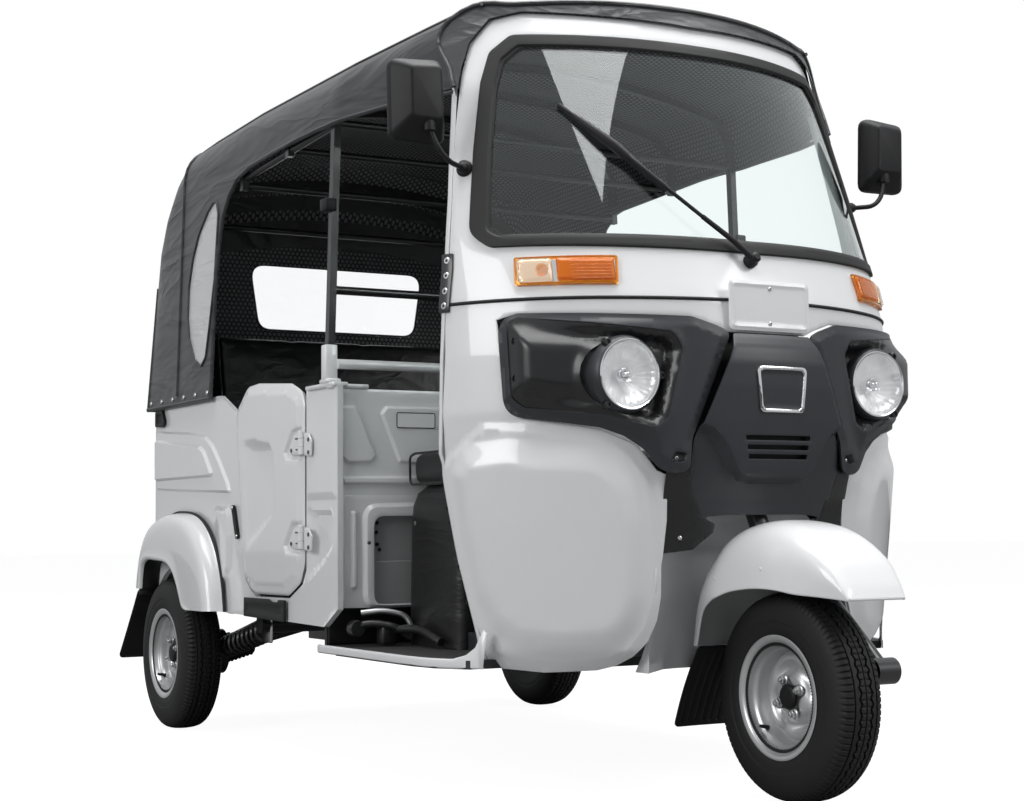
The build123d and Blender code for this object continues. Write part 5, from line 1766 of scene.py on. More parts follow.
    def rear_seam(self, side: int) -> list[Point3]:
        """Line of the piping down one rear corner."""
        line = []
        half, crown, drop = self.at(self.rear)
        for f in np.linspace(0, 1, 40):
            z = crown - drop - self.shoulder + (self.hem_z - crown + drop + self.shoulder) * f
            line.append((side * (half + (self.low_half - half) * f + 0.4), self.rear - 1, z))
        return line

    def front_edge(self) -> list[Point2]:
        """Line (x, z) where the roof and sides meet the band over the windscreen, from right to left."""
        half = [self.spot(s, u, 0)[::2] for s, u in self.front_line()]
        return [(-x, z) for x, z in half[:0:-1]] + half

    def band(self) -> None:
        """Fabric folded down over the windscreen's surround."""
        outer = self.front_edge()
        inner = [(x, z) for x, z in ((-502, 1466), (-488, 1525), (-466, 1590), (-426, 1643), (-370, 1658), (-212, 1652),
                                     (0, 1646), (212, 1652), (370, 1658), (426, 1643), (466, 1590), (488, 1525),
                                     (502, 1466))]
        outline = PLAN.front(outer + inner[::-1])
        strip = sheet("hood_front_band", outline, lambda t, z, h: PLAN.place(t, z, h + 11.5), 12, 2.4, 0)
        self.kit.keep(strip, "body", "hood_vinyl", "hood_fabric")

    def on_side(self, s: float, z: float, side: int, out: float) -> Point3:
        """Place on the fabric's side at a height."""
        half, crown, drop = self.at(s)
        top = crown - drop - self.shoulder
        f = min(max((top - z) / (top - self.hem_z), 0), 1)
        return side * (half + (self.foot(half) - half) * f + out), s, z

    def windows(self) -> None:
        """Clear sheets sewn into the sides and the rear, each in a stitched border."""
        borders = []
        for side, word in SIDES:
            outline = rounded(self.window, 18)
            grown = [(s + (s - 1800) * 0.03, z + (z - 1220) * 0.02) for s, z in outline]
            pane = sheet(f"side_pane_{word}", grown, lambda s, z, h: self.on_side(s, z, side, h - 1.6), 24, 1.2, 0)
            self.kit.keep(pane, "body", "window_sheet", "clear_sheet", *once(side, "hood_windows"))
            line = [self.on_side(s, z, side, 1.2) for s, z in resampled(outline, 18)]
            borders.append(self.kit.paints.on(tube(f"pane_border_{word}", line, 3.4, closed=True, sides=3),
                                              "hood_vinyl"))
        outline = rounded(self.rear_window, 45, 8)
        pane = sheet("rear_pane", [(x * 1.03, z + (z - 1255) * 0.05) for x, z in outline],
                     lambda x, z, h: (x, self.rear - 0.6 - h, z), 30, 1.2, 0)
        self.kit.keep(pane, "body", "rear_sheet", "clear_sheet")
        line = [(x, self.rear + 2, z) for x, z in resampled(outline, 24)]
        borders.append(self.kit.paints.on(tube("rear_border", line, 3.4, closed=True, sides=3), "hood_vinyl"))
        self.kit.gather("pane_borders", borders, "body", "hood_fabric")

    def fixings(self) -> None:
        """Press studs along the hem."""
        line_z = self.hem_z + 22
        places = [(self.on_side(float(s), line_z, side, 0.6), (side, 0, 0))
                  for side in (-1, 1) for s in np.linspace(1730, 2200, 6)]
        places += [((float(x), self.rear + 1.5, line_z), (0, 1, 0)) for x in np.linspace(-520, 520, 7)]
        studs = [turned("stud", [(7, 0), (7, 1.2), (5, 3), (0, 3.4)], place, axis, 18) for place, axis in places]
        self.kit.gather("hood_studs", studs, "body", "black_metal", finish="bright_steel")


# ------------------------------------------------------------------ wheels and front fender


@dataclass(frozen=True)
class WheelPlace:
    """Where a wheel is and which way its face looks."""

    name: str
    body: str
    centre_x: float
    centre_s: float
    outward: int
    tyre_node: str
    rim_node: str


WHEEL_PLACES = (WheelPlace("front", "front_wheel", 0, 0, -1, "tyre_front", "rim_front"),
                WheelPlace("rear_right", "rear_wheel_right", -582, WHEELBASE, -1, "tyre_rear_right",
                           "rim_rear_right"),
                WheelPlace("rear_left", "rear_wheel_left", 582, WHEELBASE, 1, "tyre_rear_left", "rim_rear_left"))


@dataclass
class Wheels:
    """Ribbed tyres on pressed steel rims with a black hub star and four nuts.

    Attributes:
        half: tyre section from its middle to the bead, as (across, radius, how much it follows the zigzag).
        face: rim section as (radius, outward from the middle plane).
        drawn_at: radii of the section as it is drawn.
        wanted_at: what each of them becomes.
        steps: divisions round the tyre.
        zigzags: of its grooves, round the tyre.
        zig: how far they swing to each side.
        sipes: cuts round the tyre, in the shoulders and between the grooves.
        sipe_depth: of the cuts in the shoulders.
        notch_depth: of the cuts between the grooves.
        first_nut: angle from which the four nuts are set out.
    """

    kit: Kit
    half: tuple[tuple[float, float, float], ...] = (
        (0.6, 205.2, 0.0), (1.8, 208.0, 0.0), (6.0, 208.0, 0.4), (10.8, 207.7, 1.0), (11.6, 201.8, 1.0),
        (15.2, 201.6, 1.0), (16.0, 207.3, 1.0), (20.0, 206.9, 0.7), (24.4, 206.2, 0.2), (25.2, 202.4, 0.0),
        (27.4, 202.2, 0.0), (28.2, 205.6, 0.0), (31.0, 204.9, 0.0), (34.5, 203.9, 0.0), (38.5, 202.3, 0.0),
        (42.5, 199.4, 0.0), (45.6, 195.4, 0.0), (48.6, 189.0, 0.0), (51.6, 180.0, 0.0), (53.6, 170.0, 0.0),
        (54.8, 158.0, 0.0), (55.0, 151.0, 0.0), (54.9, 149.6, 0.0), (54.2, 148.6, 0.0), (54.2, 140.0, 0.0),
        (53.4, 131.0, 0.0), (52.9, 129.8, 0.0), (51.2, 121.0, 0.0), (49.8, 115.6, 0.0), (47.8, 109.0, 0.0),
        (46.0, 102.0, 0.0))
    face: tuple[Point2, ...] = (
        (101.0, -40), (113.0, -47.5), (116.0, -47), (116.0, -44), (108, -36), (104.0, -20), (98.0, 8), (99.5, 24),
        (101.0, 34), (104.0, 41.5), (108.6, 45.4), (113.4, 45.8), (115.6, 46.6), (116.0, 47.6), (115.0, 48),
        (112.8, 47.8), (108.0, 47.4), (103.4, 44.6), (100.0, 38.0), (98.6, 30.6), (96.2, 28.0), (92.0, 27.0),
        (89.6, 24.6), (88.2, 17.0), (86.6, 6.0), (83.6, 0.4), (81.6, 0.8), (80.8, 3.4), (78.6, 8.6), (74.6, 11.4),
        (70.4, 11.6), (66.6, 9.4), (62.0, 5.4), (57.0, 3.6), (51.0, 5.0), (46.0, 9.6), (41.0, 14.0), (36.0, 16.0),
        (20.0, 16.6), (0.0, 16.8))
    drawn_at: tuple[float, ...] = (0.0, 60.0, 88.0, 101.0, 116.0)
    wanted_at: tuple[float, ...] = (0.0, 62.0, 95.0, 107.0, 123.5)
    steps: int = 500
    zigzags: int = 60
    zig: float = 2.6
    sipes: int = 100
    sipe_depth: float = 3.4
    notch_depth: float = 2.6
    first_nut: float = 0.35

    def build(self) -> None:
        """Builds the three wheels."""
        for place in WHEEL_PLACES:
            self.tyre(place)
            self.rim(place)
            self.hub(place)

    def tyre(self, place: WheelPlace) -> None:
        """Tyre with zigzag grooves, a middle groove and cuts in its shoulders."""
        table = np.array([(-w, r, z) for w, r, z in reversed(self.half)] + list(self.half))
        turns = np.arange(self.steps) * 2 * pi / self.steps
        phase = turns * self.zigzags / (2 * pi) % 1
        swing = self.zig * (4 * np.abs(phase - 0.5) - 1)
        w = table[None, :, 0] + swing[:, None] * table[None, :, 2]
        r = np.repeat(table[None, :, 1], self.steps, 0)
        beat, across = np.arange(self.steps) % (self.steps // self.sipes), np.abs(table[:, 0])
        for at, low, high, depth in ((0, 30, 47, self.sipe_depth), (3, 4, 11, self.notch_depth)):
            r -= depth * (beat == at)[:, None] * ((across > low) & (across < high))[None, :]
        x = place.centre_x + w
        s = place.centre_s + r * np.sin(turns)[:, None]
        z = AXLE_Z + r * np.cos(turns)[:, None]
        verts = np.stack([x, s + FRONT_AXLE_Y, z], -1).reshape(-1, 3) * MM
        count = len(table)
        i, j = np.meshgrid(np.arange(self.steps), np.arange(count - 1), indexing="ij")
        n = (i + 1) % self.steps
        faces = np.stack([i * count + j, n * count + j, n * count + j + 1, i * count + j + 1], -1).reshape(-1, 4)
        tyre = mesh_of(f"tyre_dressed_{place.name}", verts.tolist(), faces[:, ::-1].tolist())
        settle(tyre, 32)
        self.kit.keep(tyre, place.body, "tyre_rubber", "tyre", place.tyre_node)

    def rim(self, place: WheelPlace) -> None:
        """Stepped rim and a disc with four hollows."""
        section = []
        for radius, out in self.face:
            lip = np.interp(out, (8, 40), (0, 5.2)) if radius >= 100 else np.interp(radius, (80, 98), (0, 3))
            section.append((float(np.interp(radius, self.drawn_at, self.wanted_at)), out + float(lip)))
        rim = turned(f"rim_dressed_{place.name}", section, (place.centre_x, place.centre_s, AXLE_Z),
                     (place.outward, 0, 0), 144, 50)
        for vertex in rim.data.vertices:
            p = vertex.co / MM
            y, z = p.y - FRONT_AXLE_Y - place.centre_s, p.z - AXLE_Z
            r, angle = hypot(y, z), atan2(z, y)
            if 44 < r < 74:
                f = sin(pi * (r - 44) / 30)
                vertex.co.x += place.outward * MM * 5.5 * f * cos(4 * (angle - self.first_nut))
        settle(rim, 50)
        self.kit.keep(rim, place.body, "wheel_paint", "wheel_steel", place.rim_node)

    def hub(self, place: WheelPlace) -> None:
        """Black star over the hub, its cap, four nuts and the valve."""
        ahead = (place.outward, 0, 0)

        def spot(angle: float, radius: float, out: float) -> Point3:
            """Place on the wheel's face."""
            return (place.centre_x + place.outward * out, place.centre_s + radius * cos(angle),
                    AXLE_Z + radius * sin(angle))

        star = []
        for a in (2 * pi * k / 96 for k in range(96)):
            reach = 26 + 20 * (cos(4 * (a - self.first_nut - pi / 4)) * 0.5 + 0.5) ** 1.6
            star.append((reach * cos(a), reach * sin(a)))
        plate = sheet(f"hub_star_{place.name}", star,
                      lambda u, v, h: (place.centre_x + place.outward * (20.5 + h), place.centre_s + u, AXLE_Z + v),
                      7, 5, 1.4, pressings=[Pressing(star, 2.4, 9)])
        cap = turned(f"hub_cap_{place.name}", [(25, 19), (25, 25), (22.5, 28), (19, 29.4), (15, 29.8), (0, 30.2)],
                     spot(0, 0, 0), ahead, 56)
        parts = [self.kit.paints.on(plate, "black_metal"), self.kit.paints.on(cap, "black_plastic")]
        for k in range(4):
            angle = self.first_nut + pi / 4 + k * pi / 2
            nut = turned(f"nut_{k}", [(8.8, 19), (8.8, 29), (7.2, 30.6), (5.4, 30.6), (5.2, 27), (0, 27)],
                         spot(angle, 36, 0), ahead, 6, 25)
            stud = turned(f"stud_{k}", [(4.8, 26), (4.8, 34), (3.6, 35.4), (0, 35.4)], spot(angle, 36, 0), ahead, 18)
            collar = turned(f"nut_collar_{k}", [(11, 19), (11, 22.4), (9.4, 23.6), (8, 23.6)], spot(angle, 36, 0),
                            ahead, 28)
            parts += [self.kit.paints.on(p, "bright_steel") for p in (nut, stud, collar)]
        valve = [spot(5.5, 94, 24), spot(5.5, 90, 34), spot(5.5, 87, 47)]
        parts.append(self.kit.paints.on(tube(f"valve_{place.name}", valve, 4.2, scale=[1.2, 1.0, 0.8]),
                                        "black_rubber"))
        self.kit.gather(f"hub_{place.name}", parts, place.body, "wheel_steel")


@dataclass
class FrontFender:
    """Pressed fender over the front wheel, its grey inside, rolled rim and ribbed flap.

    Attributes:
        half_width: of the fender at its widest.
        crown: line (s, z) along its middle, from the front lip over the top.
        skirt: line (s, z) along its side edge, one place for each of the crown's.
        square: how square its section is at each place.
        spread: half its width at each place.
    """

    kit: Kit
    half_width: float = 110.0
    crown: tuple[Point2, ...] = ((-242, 409), (-225, 440), (-182, 492), (-110, 536), (-40, 554), (30, 555), (100, 540),
                                 (150, 507), (186, 450), (204, 380), (209, 302))
    skirt: tuple[Point2, ...] = ((-242, 407), (-220, 410), (-178, 414), (-120, 418), (-66, 425), (0, 426), (68, 419),
                                 (112, 408), (142, 396), (169, 370), (190, 302))
    square: tuple[float, ...] = (7.0, 6.0, 4.6, 3.6, 3.0, 2.8, 2.8, 2.8, 3.0, 3.2, 3.4)
    spread: tuple[float, ...] = (68.0, 76.0, 90.0, 103.0, 109.0, 110.0, 110.0, 110.0, 110.0, 110.0, 110.0)

    def build(self) -> None:
        """Builds the fender and its flap."""
        shell = self.shell("fender_skin", 0, "white_paint")
        self.kit.keep(shell, "steering", None, "white_paint", "front_fender")
        self.kit.keep(self.shell("fender_inside", 2.6, "grey_inner"), "steering", None, "white_paint")
        rim = smooth_line(self.skirt)
        edges = []
        wide = self.along(self.spread, len(rim))
        for side in (-1, 1):
            places = [(side * (w - 1), s, z) for w, (s, z) in zip(wide, rim)]
            edges.append(tube("fender_rim", places, 3.0, sides=3))
        front = [(x, -241.5, 408) for x in np.linspace(1 - wide[0], wide[0] - 1, 20)]
        edges.append(tube("fender_lip", front, 3.0, sides=3))
        self.kit.gather("fender_rims", edges, "steering", "white_paint", finish="white_paint")
        self.bolts()
        self.flap()

    def along(self, values: Sequence[float], count: int) -> np.ndarray:
        """Values given for each of the crown's places, spread over a finer line of count places."""
        return np.interp(np.linspace(0, 1, count), np.linspace(0, 1, len(values)), values)

    def shell(self, name: str, inset: float, finish: str) -> bpy.types.Object:
        """One skin of the fender, drawn in by inset."""
        crown, skirt = smooth_line(self.crown), smooth_line(self.skirt)
        powers, wide = self.along(self.square, len(crown)), self.along(self.spread, len(crown))
        rows = []
        for (ts, tz), (ks, kz), power, half in zip(crown, skirt, powers, wide):
            row = []
            top, side = np.array([ts, tz]), np.array([ks, kz])
            middle = top + (np.array([60.0, 300.0]) - top) * inset / 250
            for k in range(-18, 19):
                a = pi / 2 * abs(k) / 18
                across = sin(a) ** (2 / power) * (half - inset)
                place = middle + (side - middle) * (1 - cos(a) ** (2 / power))
                row.append((across if k >= 0 else -across, *map(float, place)))
            rows.append(row)
        skin = loft(name, rows, 2.2 if inset == 0 else 0, 0, flip=True)
        settle(skin, 60)
        return self.kit.paints.on(skin, finish)

    def bolts(self) -> None:
        """Screws that hold the fender to its stays."""
        heads = [screw(f"fender_bolt_{side}_{s}", (side * (self.half_width - 1.2), s, z), (side, 0, 0), 5)
                 for s, z in ((-30, 462), (120, 440)) for side in (-1, 1)]
        self.kit.gather("fender_bolts", heads, "steering", "white_paint", finish="white_paint")

    def flap(self) -> None:
        """Rubber flap with upright ribs."""
        ribs = [Pressing([(x, 136), (x + 9, 136), (x + 9, 292), (x, 292)], 2.2, 2.6)
                for x in np.arange(-86, 84, 19.0)]
        outline = rounded([(-96, 128), (96, 128), (94, 300), (-94, 300)], 10, 4)

        def hang(x: float, z: float, h: float) -> Point3:
            """Place on the flap, which hangs back with a slight bow."""
            f = (300 - z) / 170
            return x, 206 + 94 * f + 7 * sin(pi * f) + h - 5 * (x / 96) ** 2 * f, z

        flap = sheet("front_flap", outline, hang, 5, 5, 1.4, pressings=ribs)
        self.kit.keep(flap, "steering", "black_rubber", "black_rubber", "front_mudflap")


# ------------------------------------------------------------------ body sides, doors and rear


def on_plane(side: int, out: float) -> Mapping:
    """Mapping of (s, z, height) onto a plane at the vehicle's side."""
    return lambda s, z, h: (side * (out + h), s, z)


@dataclass
class SideBody:
    """Pressed body sides with their doors, hinges, fenders, flaps and sills.

    Attributes:
        panel: outline (s, z) of the side without the wheel's arch.
        door: outline (s, z) of the door.
        flare_top: outer line (s, z) of the fender, from its rear foot over the top.
        flare_lip: inner line (s, z) of the fender, beside the other.
    """

    kit: Kit
    panel: tuple[Point2, ...] = ((905, 878), (1085, 878), (1085, 451), (1108, 418), (1187, 383), (1408, 381),
                                 (1443, 396), (1480, 421), (1504, 531), (1542, 810), (1546, 846), (1560, 858),
                                 (1668, 905), (2180, 905))
    door: tuple[Point2, ...] = ((1458, 913), (1528, 862), (1536, 810), (1498, 532), (1474, 432), (1440, 402),
                                (1400, 388), (1189, 389), (1118, 420), (1091, 466), (1091, 851), (1109, 880),
                                (1170, 901), (1386, 917))
    flare_top: tuple[Point2, ...] = ((2215, 384), (2196, 450), (2160, 515), (2101, 562), (2011, 586), (1931, 591),
                                     (1820, 582), (1736, 548), (1670, 488), (1632, 416), (1612, 337))
    flare_lip: tuple[Point2, ...] = ((2165, 384), (2158, 420), (2144, 455), (2105, 470), (2040, 469), (1949, 464),
                                     (1892, 446), (1850, 412), (1818, 370), (1797, 344), (1760, 337))

    def build(self) -> None:
        """Builds both sides."""
        for side, word in SIDES:
            self.side_panel(side, word)
            self.door_leaf(side, word)
            self.hinge_plates(side, word)
            self.small_parts(side, word)
            self.flare(side, word)
            self.flap(side, word)
            self.sill(side, word)
            self.damper(side, word)

    def keep(self, piece: bpy.types.Object, finish: Optional[str], side: int, node: str = "",
             slot: str = "white_paint") -> None:
        """Hands a piece over; the right side's one stands for the frame's node."""
        self.kit.keep(piece, "body", finish, slot, *(once(side, node) if node else ()))

    def side_panel(self, side: int, word: str) -> None:
        """Outer panel with its creases and hollows."""
        arch = [(2000 + 242 * cos(radians(a)), 208 + 242 * sin(radians(a))) for a in np.linspace(45, 145, 30)]
        outline = [*self.panel, (2180, 380), *arch, (1640, 334), (984, 323), (905, 366)]
        raised = [(2170, 836), (1902, 819), (1770, 802), (1715, 778), (1651, 725), (1596, 672), (1580, 644),
                  (1700, 648), (1958, 656), (2170, 664)]
        pressings = [
            Pressing(rounded(raised, 12), 7, 7),
            Pressing(rounded([(2168, 811), (1797, 778), (1758, 762), (1701, 703), (1708, 690), (2168, 690)], 10), 8, 7),
            Pressing([(1795, 612), (1606, 610), (1604, 590), (1700, 600)], -12, 6, (1795, 1690)),
            Pressing(rounded([(1700, 614), (1603, 612), (1582, 590), (1577, 538), (1586, 446), (1660, 385),
                              (1700, 400)], 16), 8, 10, (1700, 1640)),
            Pressing(rounded([(1082, 594), (942, 592), (932, 578), (934, 512), (975, 481), (1082, 424)], 12), -13, 12,
                     (1085, 1040)),
            Pressing(rounded([(1084, 872), (912, 872), (912, 620), (1084, 620)], 8), 3, 6)]
        piece = sheet(f"side_panel_{word}", outline, on_plane(side, 594), 11, 14, 2.4, pressings=pressings)
        self.keep(piece, "white_paint", side, "side_panels")

    def door_leaf(self, side: int, word: str) -> None:
        """Door with a raised middle, a scooped hollow and seats for its hinges."""
        middle = [(1445, 900), (1515, 850), (1521, 806), (1484, 532), (1462, 446), (1432, 418), (1390, 408),
                  (1200, 409), (1132, 434), (1106, 474), (1106, 846), (1122, 868), (1175, 887), (1380, 902)]
        scoop = [(1479, 778), (1292, 763), (1266, 738), (1258, 700), (1258, 600), (1276, 580), (1450, 494)]
        pressings = [Pressing(rounded(self.door, 46, 8), 5, 7), Pressing(rounded(middle, 24), 6, 10),
                     Pressing(rounded(scoop, 14), -17, 17, (1480, 1300))]
        for low in (0, -224):
            seat = [(1198, 734 + low), (1150, 786 + low), (1097, 794 + low), (1097, 712 + low), (1184, 714 + low)]
            pressings.append(Pressing(rounded(seat, 8), -7, 6))
        name = f"door_{word}"
        leaf = sheet(f"{name}_leaf", rounded(self.door, 46, 8), on_plane(side, 595), 10, 16, 4, pressings=pressings)
        self.kit.keep(leaf, name, "white_paint", "white_paint", name)

    def hinge_plates(self, side: int, word: str) -> None:
        """Pressed hinge plates, their barrels, slots and screws."""
        fixed, moving = [], []
        for z in (530.0, 753.0):
            d = z - 753
            on_door = [(1088, 724 + d), (1150, 726 + d), (1161, 740 + d), (1138, 770 + d), (1108, 778 + d),
                       (1088, 777 + d)]
            on_body = [(1072, 777 + d), (1048, 774 + d), (1030, 756 + d), (1032, 720 + d), (1072, 723 + d)]
            moving.append(sheet("plate", rounded(on_door, 6), on_plane(side, 606), 7, 4, 1.2))
            fixed.append(sheet("plate", rounded(on_body, 6), on_plane(side, 606), 7, 4, 1.2))
            for low, high, parts in ((-28, -10, fixed), (-9.4, 9.4, moving), (10, 28, fixed)):
                parts.append(turned("barrel", [(0, low), (7.2, low), (8, low + 0.8), (8, high - 0.8), (7.2, high),
                                               (0, high)], (side * 610, 1080, z), (0, 0, 1), 28))
            for part in moving + fixed:
                if not part.material_slots:
                    self.kit.paints.on(part, "white_paint")
            for s, dz, parts in ((1148, -16, moving), (1045, 6, fixed), (1045, -24, fixed)):
                parts.append(self.kit.paints.on(turned("hinge_screw", [(0, 0.4), (5, 0.4), (5, 1.6), (0, 1.2)],
                                                       (side * 606, s, z + dz), (side, 0, 0), 20), "black_metal"))
            for a, b in (((1100, 764), (1122, 764)), ((1100, 764), (1100, 738)), ((1100, 738), (1118, 738))):
                slot = [(side * 606.4, s, slot_z + d) for s, slot_z in (a, b)]
                moving.append(self.kit.paints.on(tube("hinge_slot", slot, 2.2, sides=2), "black_metal"))
        self.kit.gather(f"hinge_plates_{word}", fixed, "body", "black_metal")
        self.kit.gather(f"door_hinges_{word}", moving, f"door_{word}", "black_metal")

    def small_parts(self, side: int, word: str) -> None:
        """Latch, step plate, vent under the hood's hem, foot of the door post."""
        latch = sheet(f"latch_{word}", rounded([(1562, 612), (1545, 613), (1513, 527), (1529, 524)], 6),
                      on_plane(side, 603), 6, 6, 1.5,
                      pressings=[Pressing([(1555, 596), (1547, 597), (1522, 540), (1530, 538)], -3, 2)])
        screws = [turned("latch_screw", [(5, 0), (4.4, 2), (0, 2.4)], (side * 603, s, z), (side, 0, 0), 16)
                  for s, z in ((1553, 605), (1521, 532))]
        parts = [self.kit.paints.on(latch, "black_plastic")] + [self.kit.paints.on(p, "bright_steel") for p in screws]
        self.keep(joined(f"door_latch_{word}", parts), None, side, slot="black_metal")
        step = sheet(f"step_plate_{word}", rounded([(1194, 378), (1230, 378), (1238, 372), (1290, 372), (1298, 378),
                                                    (1458, 378), (1459, 331), (1193, 326)], 3, 3),
                     on_plane(side, 607), 8, 6, 1.2,
                     pressings=[Pressing([(1206, 366), (1446, 366), (1446, 342), (1206, 338)], -2, 4)])
        self.keep(step, "black_rubber", side, "step_plates", "black_rubber")
        vent = [(2174, 890), (2160, 894), (2116, 893), (2096, 862), (2098, 850), (2112, 844), (2174, 848)]
        hollow = [(2166, 884), (2122, 884), (2106, 858), (2116, 852), (2166, 854)]
        rim = sheet(f"side_vent_{word}", rounded(vent, 8), on_plane(side, 604), 5, 6, 1.5,
                    pressings=[Pressing(rounded(hollow, 5), -4, 4)])
        self.keep(rim, "black_plastic", side, slot="black_rubber")
        self.post_foot(side, word)

    def post_foot(self, side: int, word: str) -> None:
        """Sleeve, foot plates and clamp of the post beside the door."""
        foot = [side_block(name, side, across, low, high, edge) for name, across, low, high, edge in (
            ("post_sleeve", (606.5, 576), (943, 884), (971, 975), 3),
            ("post_foot", (604, 566), (906, 876), (1072, 886), 3),
            ("post_foot", (604, 508), (918, 872), (950, 883), 3),
            ("post_foot", (607, 572), (930, 884), (984, 896), 5))]
        for part in foot:
            self.kit.paints.on(part, "white_paint")
        clamp = side_block("post_clamp", side, (608, 578), (940, 1288), (976, 1318), 4)
        foot.append(self.kit.paints.on(clamp, "black_plastic"))
        self.keep(joined(f"post_feet_{word}", foot), None, side)

    def flare(self, side: int, word: str) -> None:
        """Fender over the rear wheel, with a rolled lip and a gasket against the body."""
        outer = np.array(smooth_line(self.flare_top, 7))
        inner = np.array(smooth_line(self.flare_lip, 7))
        rows = []
        for o, i in zip(outer, inner):
            face = np.hypot(*(i - o))
            across = (i - o) / face
            section = ((600, -7), (603, -3.5), (612, -1), (624, 0), (634, 3), (642, 9), (647, 18), (650, 30),
                       (651, face * 0.55), (650, face - 12), (652.4, face - 5), (651, face), (643, face + 1))
            rows.append([(side * x, *(o + across * d)) for x, d in section])
        skin = loft(f"rear_fender_{word}", rows, 3, 0, sub=1, flip=side < 0)
        self.keep(skin, "white_paint", side, "rear_fenders")
        line = [(side * 603, *(o + (o - i) / np.hypot(*(o - i)) * 7)) for o, i in zip(outer, inner)]
        seal = tube(f"fender_gasket_{word}", line[18:], 4.4)
        self.keep(seal, "black_rubber", side, slot="black_rubber")
        roof = []
        for o, i in zip(outer, inner):
            inward = (i - o) / np.hypot(*(i - o))
            roof.append([(side * x, *(i + inward * d)) for x, d in ((643, 1), (628, 5), (606, 7), (596, 4))])
        liner = loft(f"fender_liner_{word}", roof, 2, 0, flip=side < 0)
        self.keep(liner, "black_plastic", side, slot="dark_plastic")

    def flap(self, side: int, word: str) -> None:
        """Rubber flap behind the wheel, hung from a steel strip."""
        def hang(x: float, z: float, h: float) -> Point3:
            """Place on the flap."""
            f = (384 - z) / 206
            return side * x, 2190 + 176 * f ** 1.05 + h, z

        outline = rounded([(522, 384), (646, 384), (648, 178), (522, 178)], 14)
        ribs = [Pressing(rounded([(536, 196), (634, 196), (634, 340), (536, 340)], 10), 1.6, 5)]
        flap = sheet(f"rear_flap_{word}", outline, hang, 10, 5, 1.2, pressings=ribs)
        self.keep(flap, "black_rubber", side, "rear_mudflaps", "black_rubber")
        strip = side_block(f"flap_strip_{word}", side, (524, 644), (2183, 366), (2189, 386), 1.5)
        self.keep(strip, "black_metal", side, slot="black_metal")

    def sill(self, side: int, word: str) -> None:
        """Pale tread strip along the edge of the cab's floor."""
        rows = []
        path = smooth_line([(600, 1004), (600, 900), (600, 700), (600, 560), (596, 490), (586, 438), (566, 398),
                            (545, 370), (524, 346)], 6)
        for x, s in path:
            up = float(np.interp(s, (346, 358, 376, 400), (60, 26, 8, 0)))
            rows.append([(side * (x - 7), s, 281 + up), (side * (x - 2), s, 282.6 + up),
                         (side * (x + 1.4), s, 280 + up), (side * (x + 1.4), s, 266), (side * (x - 2), s, 263)])
        strip = loft(f"sill_strip_{word}", rows, 2.4, 0.6, flip=side > 0)
        self.keep(strip, "white_paint", side, slot="white_paint")

    def damper(self, side: int, word: str) -> None:
        """Coil spring damper and the rubber bellows on the drive shaft."""
        start, end = np.array((side * 470, 1640.0, 282)), np.array((side * 492, 1880.0, 226))
        coil, turns, last, coil_radius = [], 9, 199, 27
        along = (end - start) / np.linalg.norm(end - start)
        right = np.cross(along, (0, 0, 1))
        right /= np.linalg.norm(right)
        over = np.cross(right, along)
        for k in range(last + 1):
            a = 2 * pi * turns * k / last
            coil.append(tuple(start + (end - start) * k / last + coil_radius * (right * cos(a) + over * sin(a))))
        spring = self.kit.paints.on(tube("coil", coil, 5, sides=2), "black_metal")
        rod = self.kit.paints.on(tube("damper_rod", [tuple(start), tuple(end)], 14), "cast_metal")
        profile = []
        for k in range(9):
            profile += [(26 + 2 * k, k * 12), (32 + 2 * k, k * 12 + 6)]
        boot = turned("bellows", profile, (side * 372, 2000, 225), (side, 0, -0.1), 40)
        parts = [spring, rod, self.kit.paints.on(boot, "black_rubber")]
        ear = side_block("spring_bracket", side, (470, 478), (1596, 250), (1662, 330), 6)
        parts.append(self.kit.paints.on(ear, "bright_steel"))
        self.keep(joined(f"spring_damper_{word}", parts), None, side, slot="black_metal")


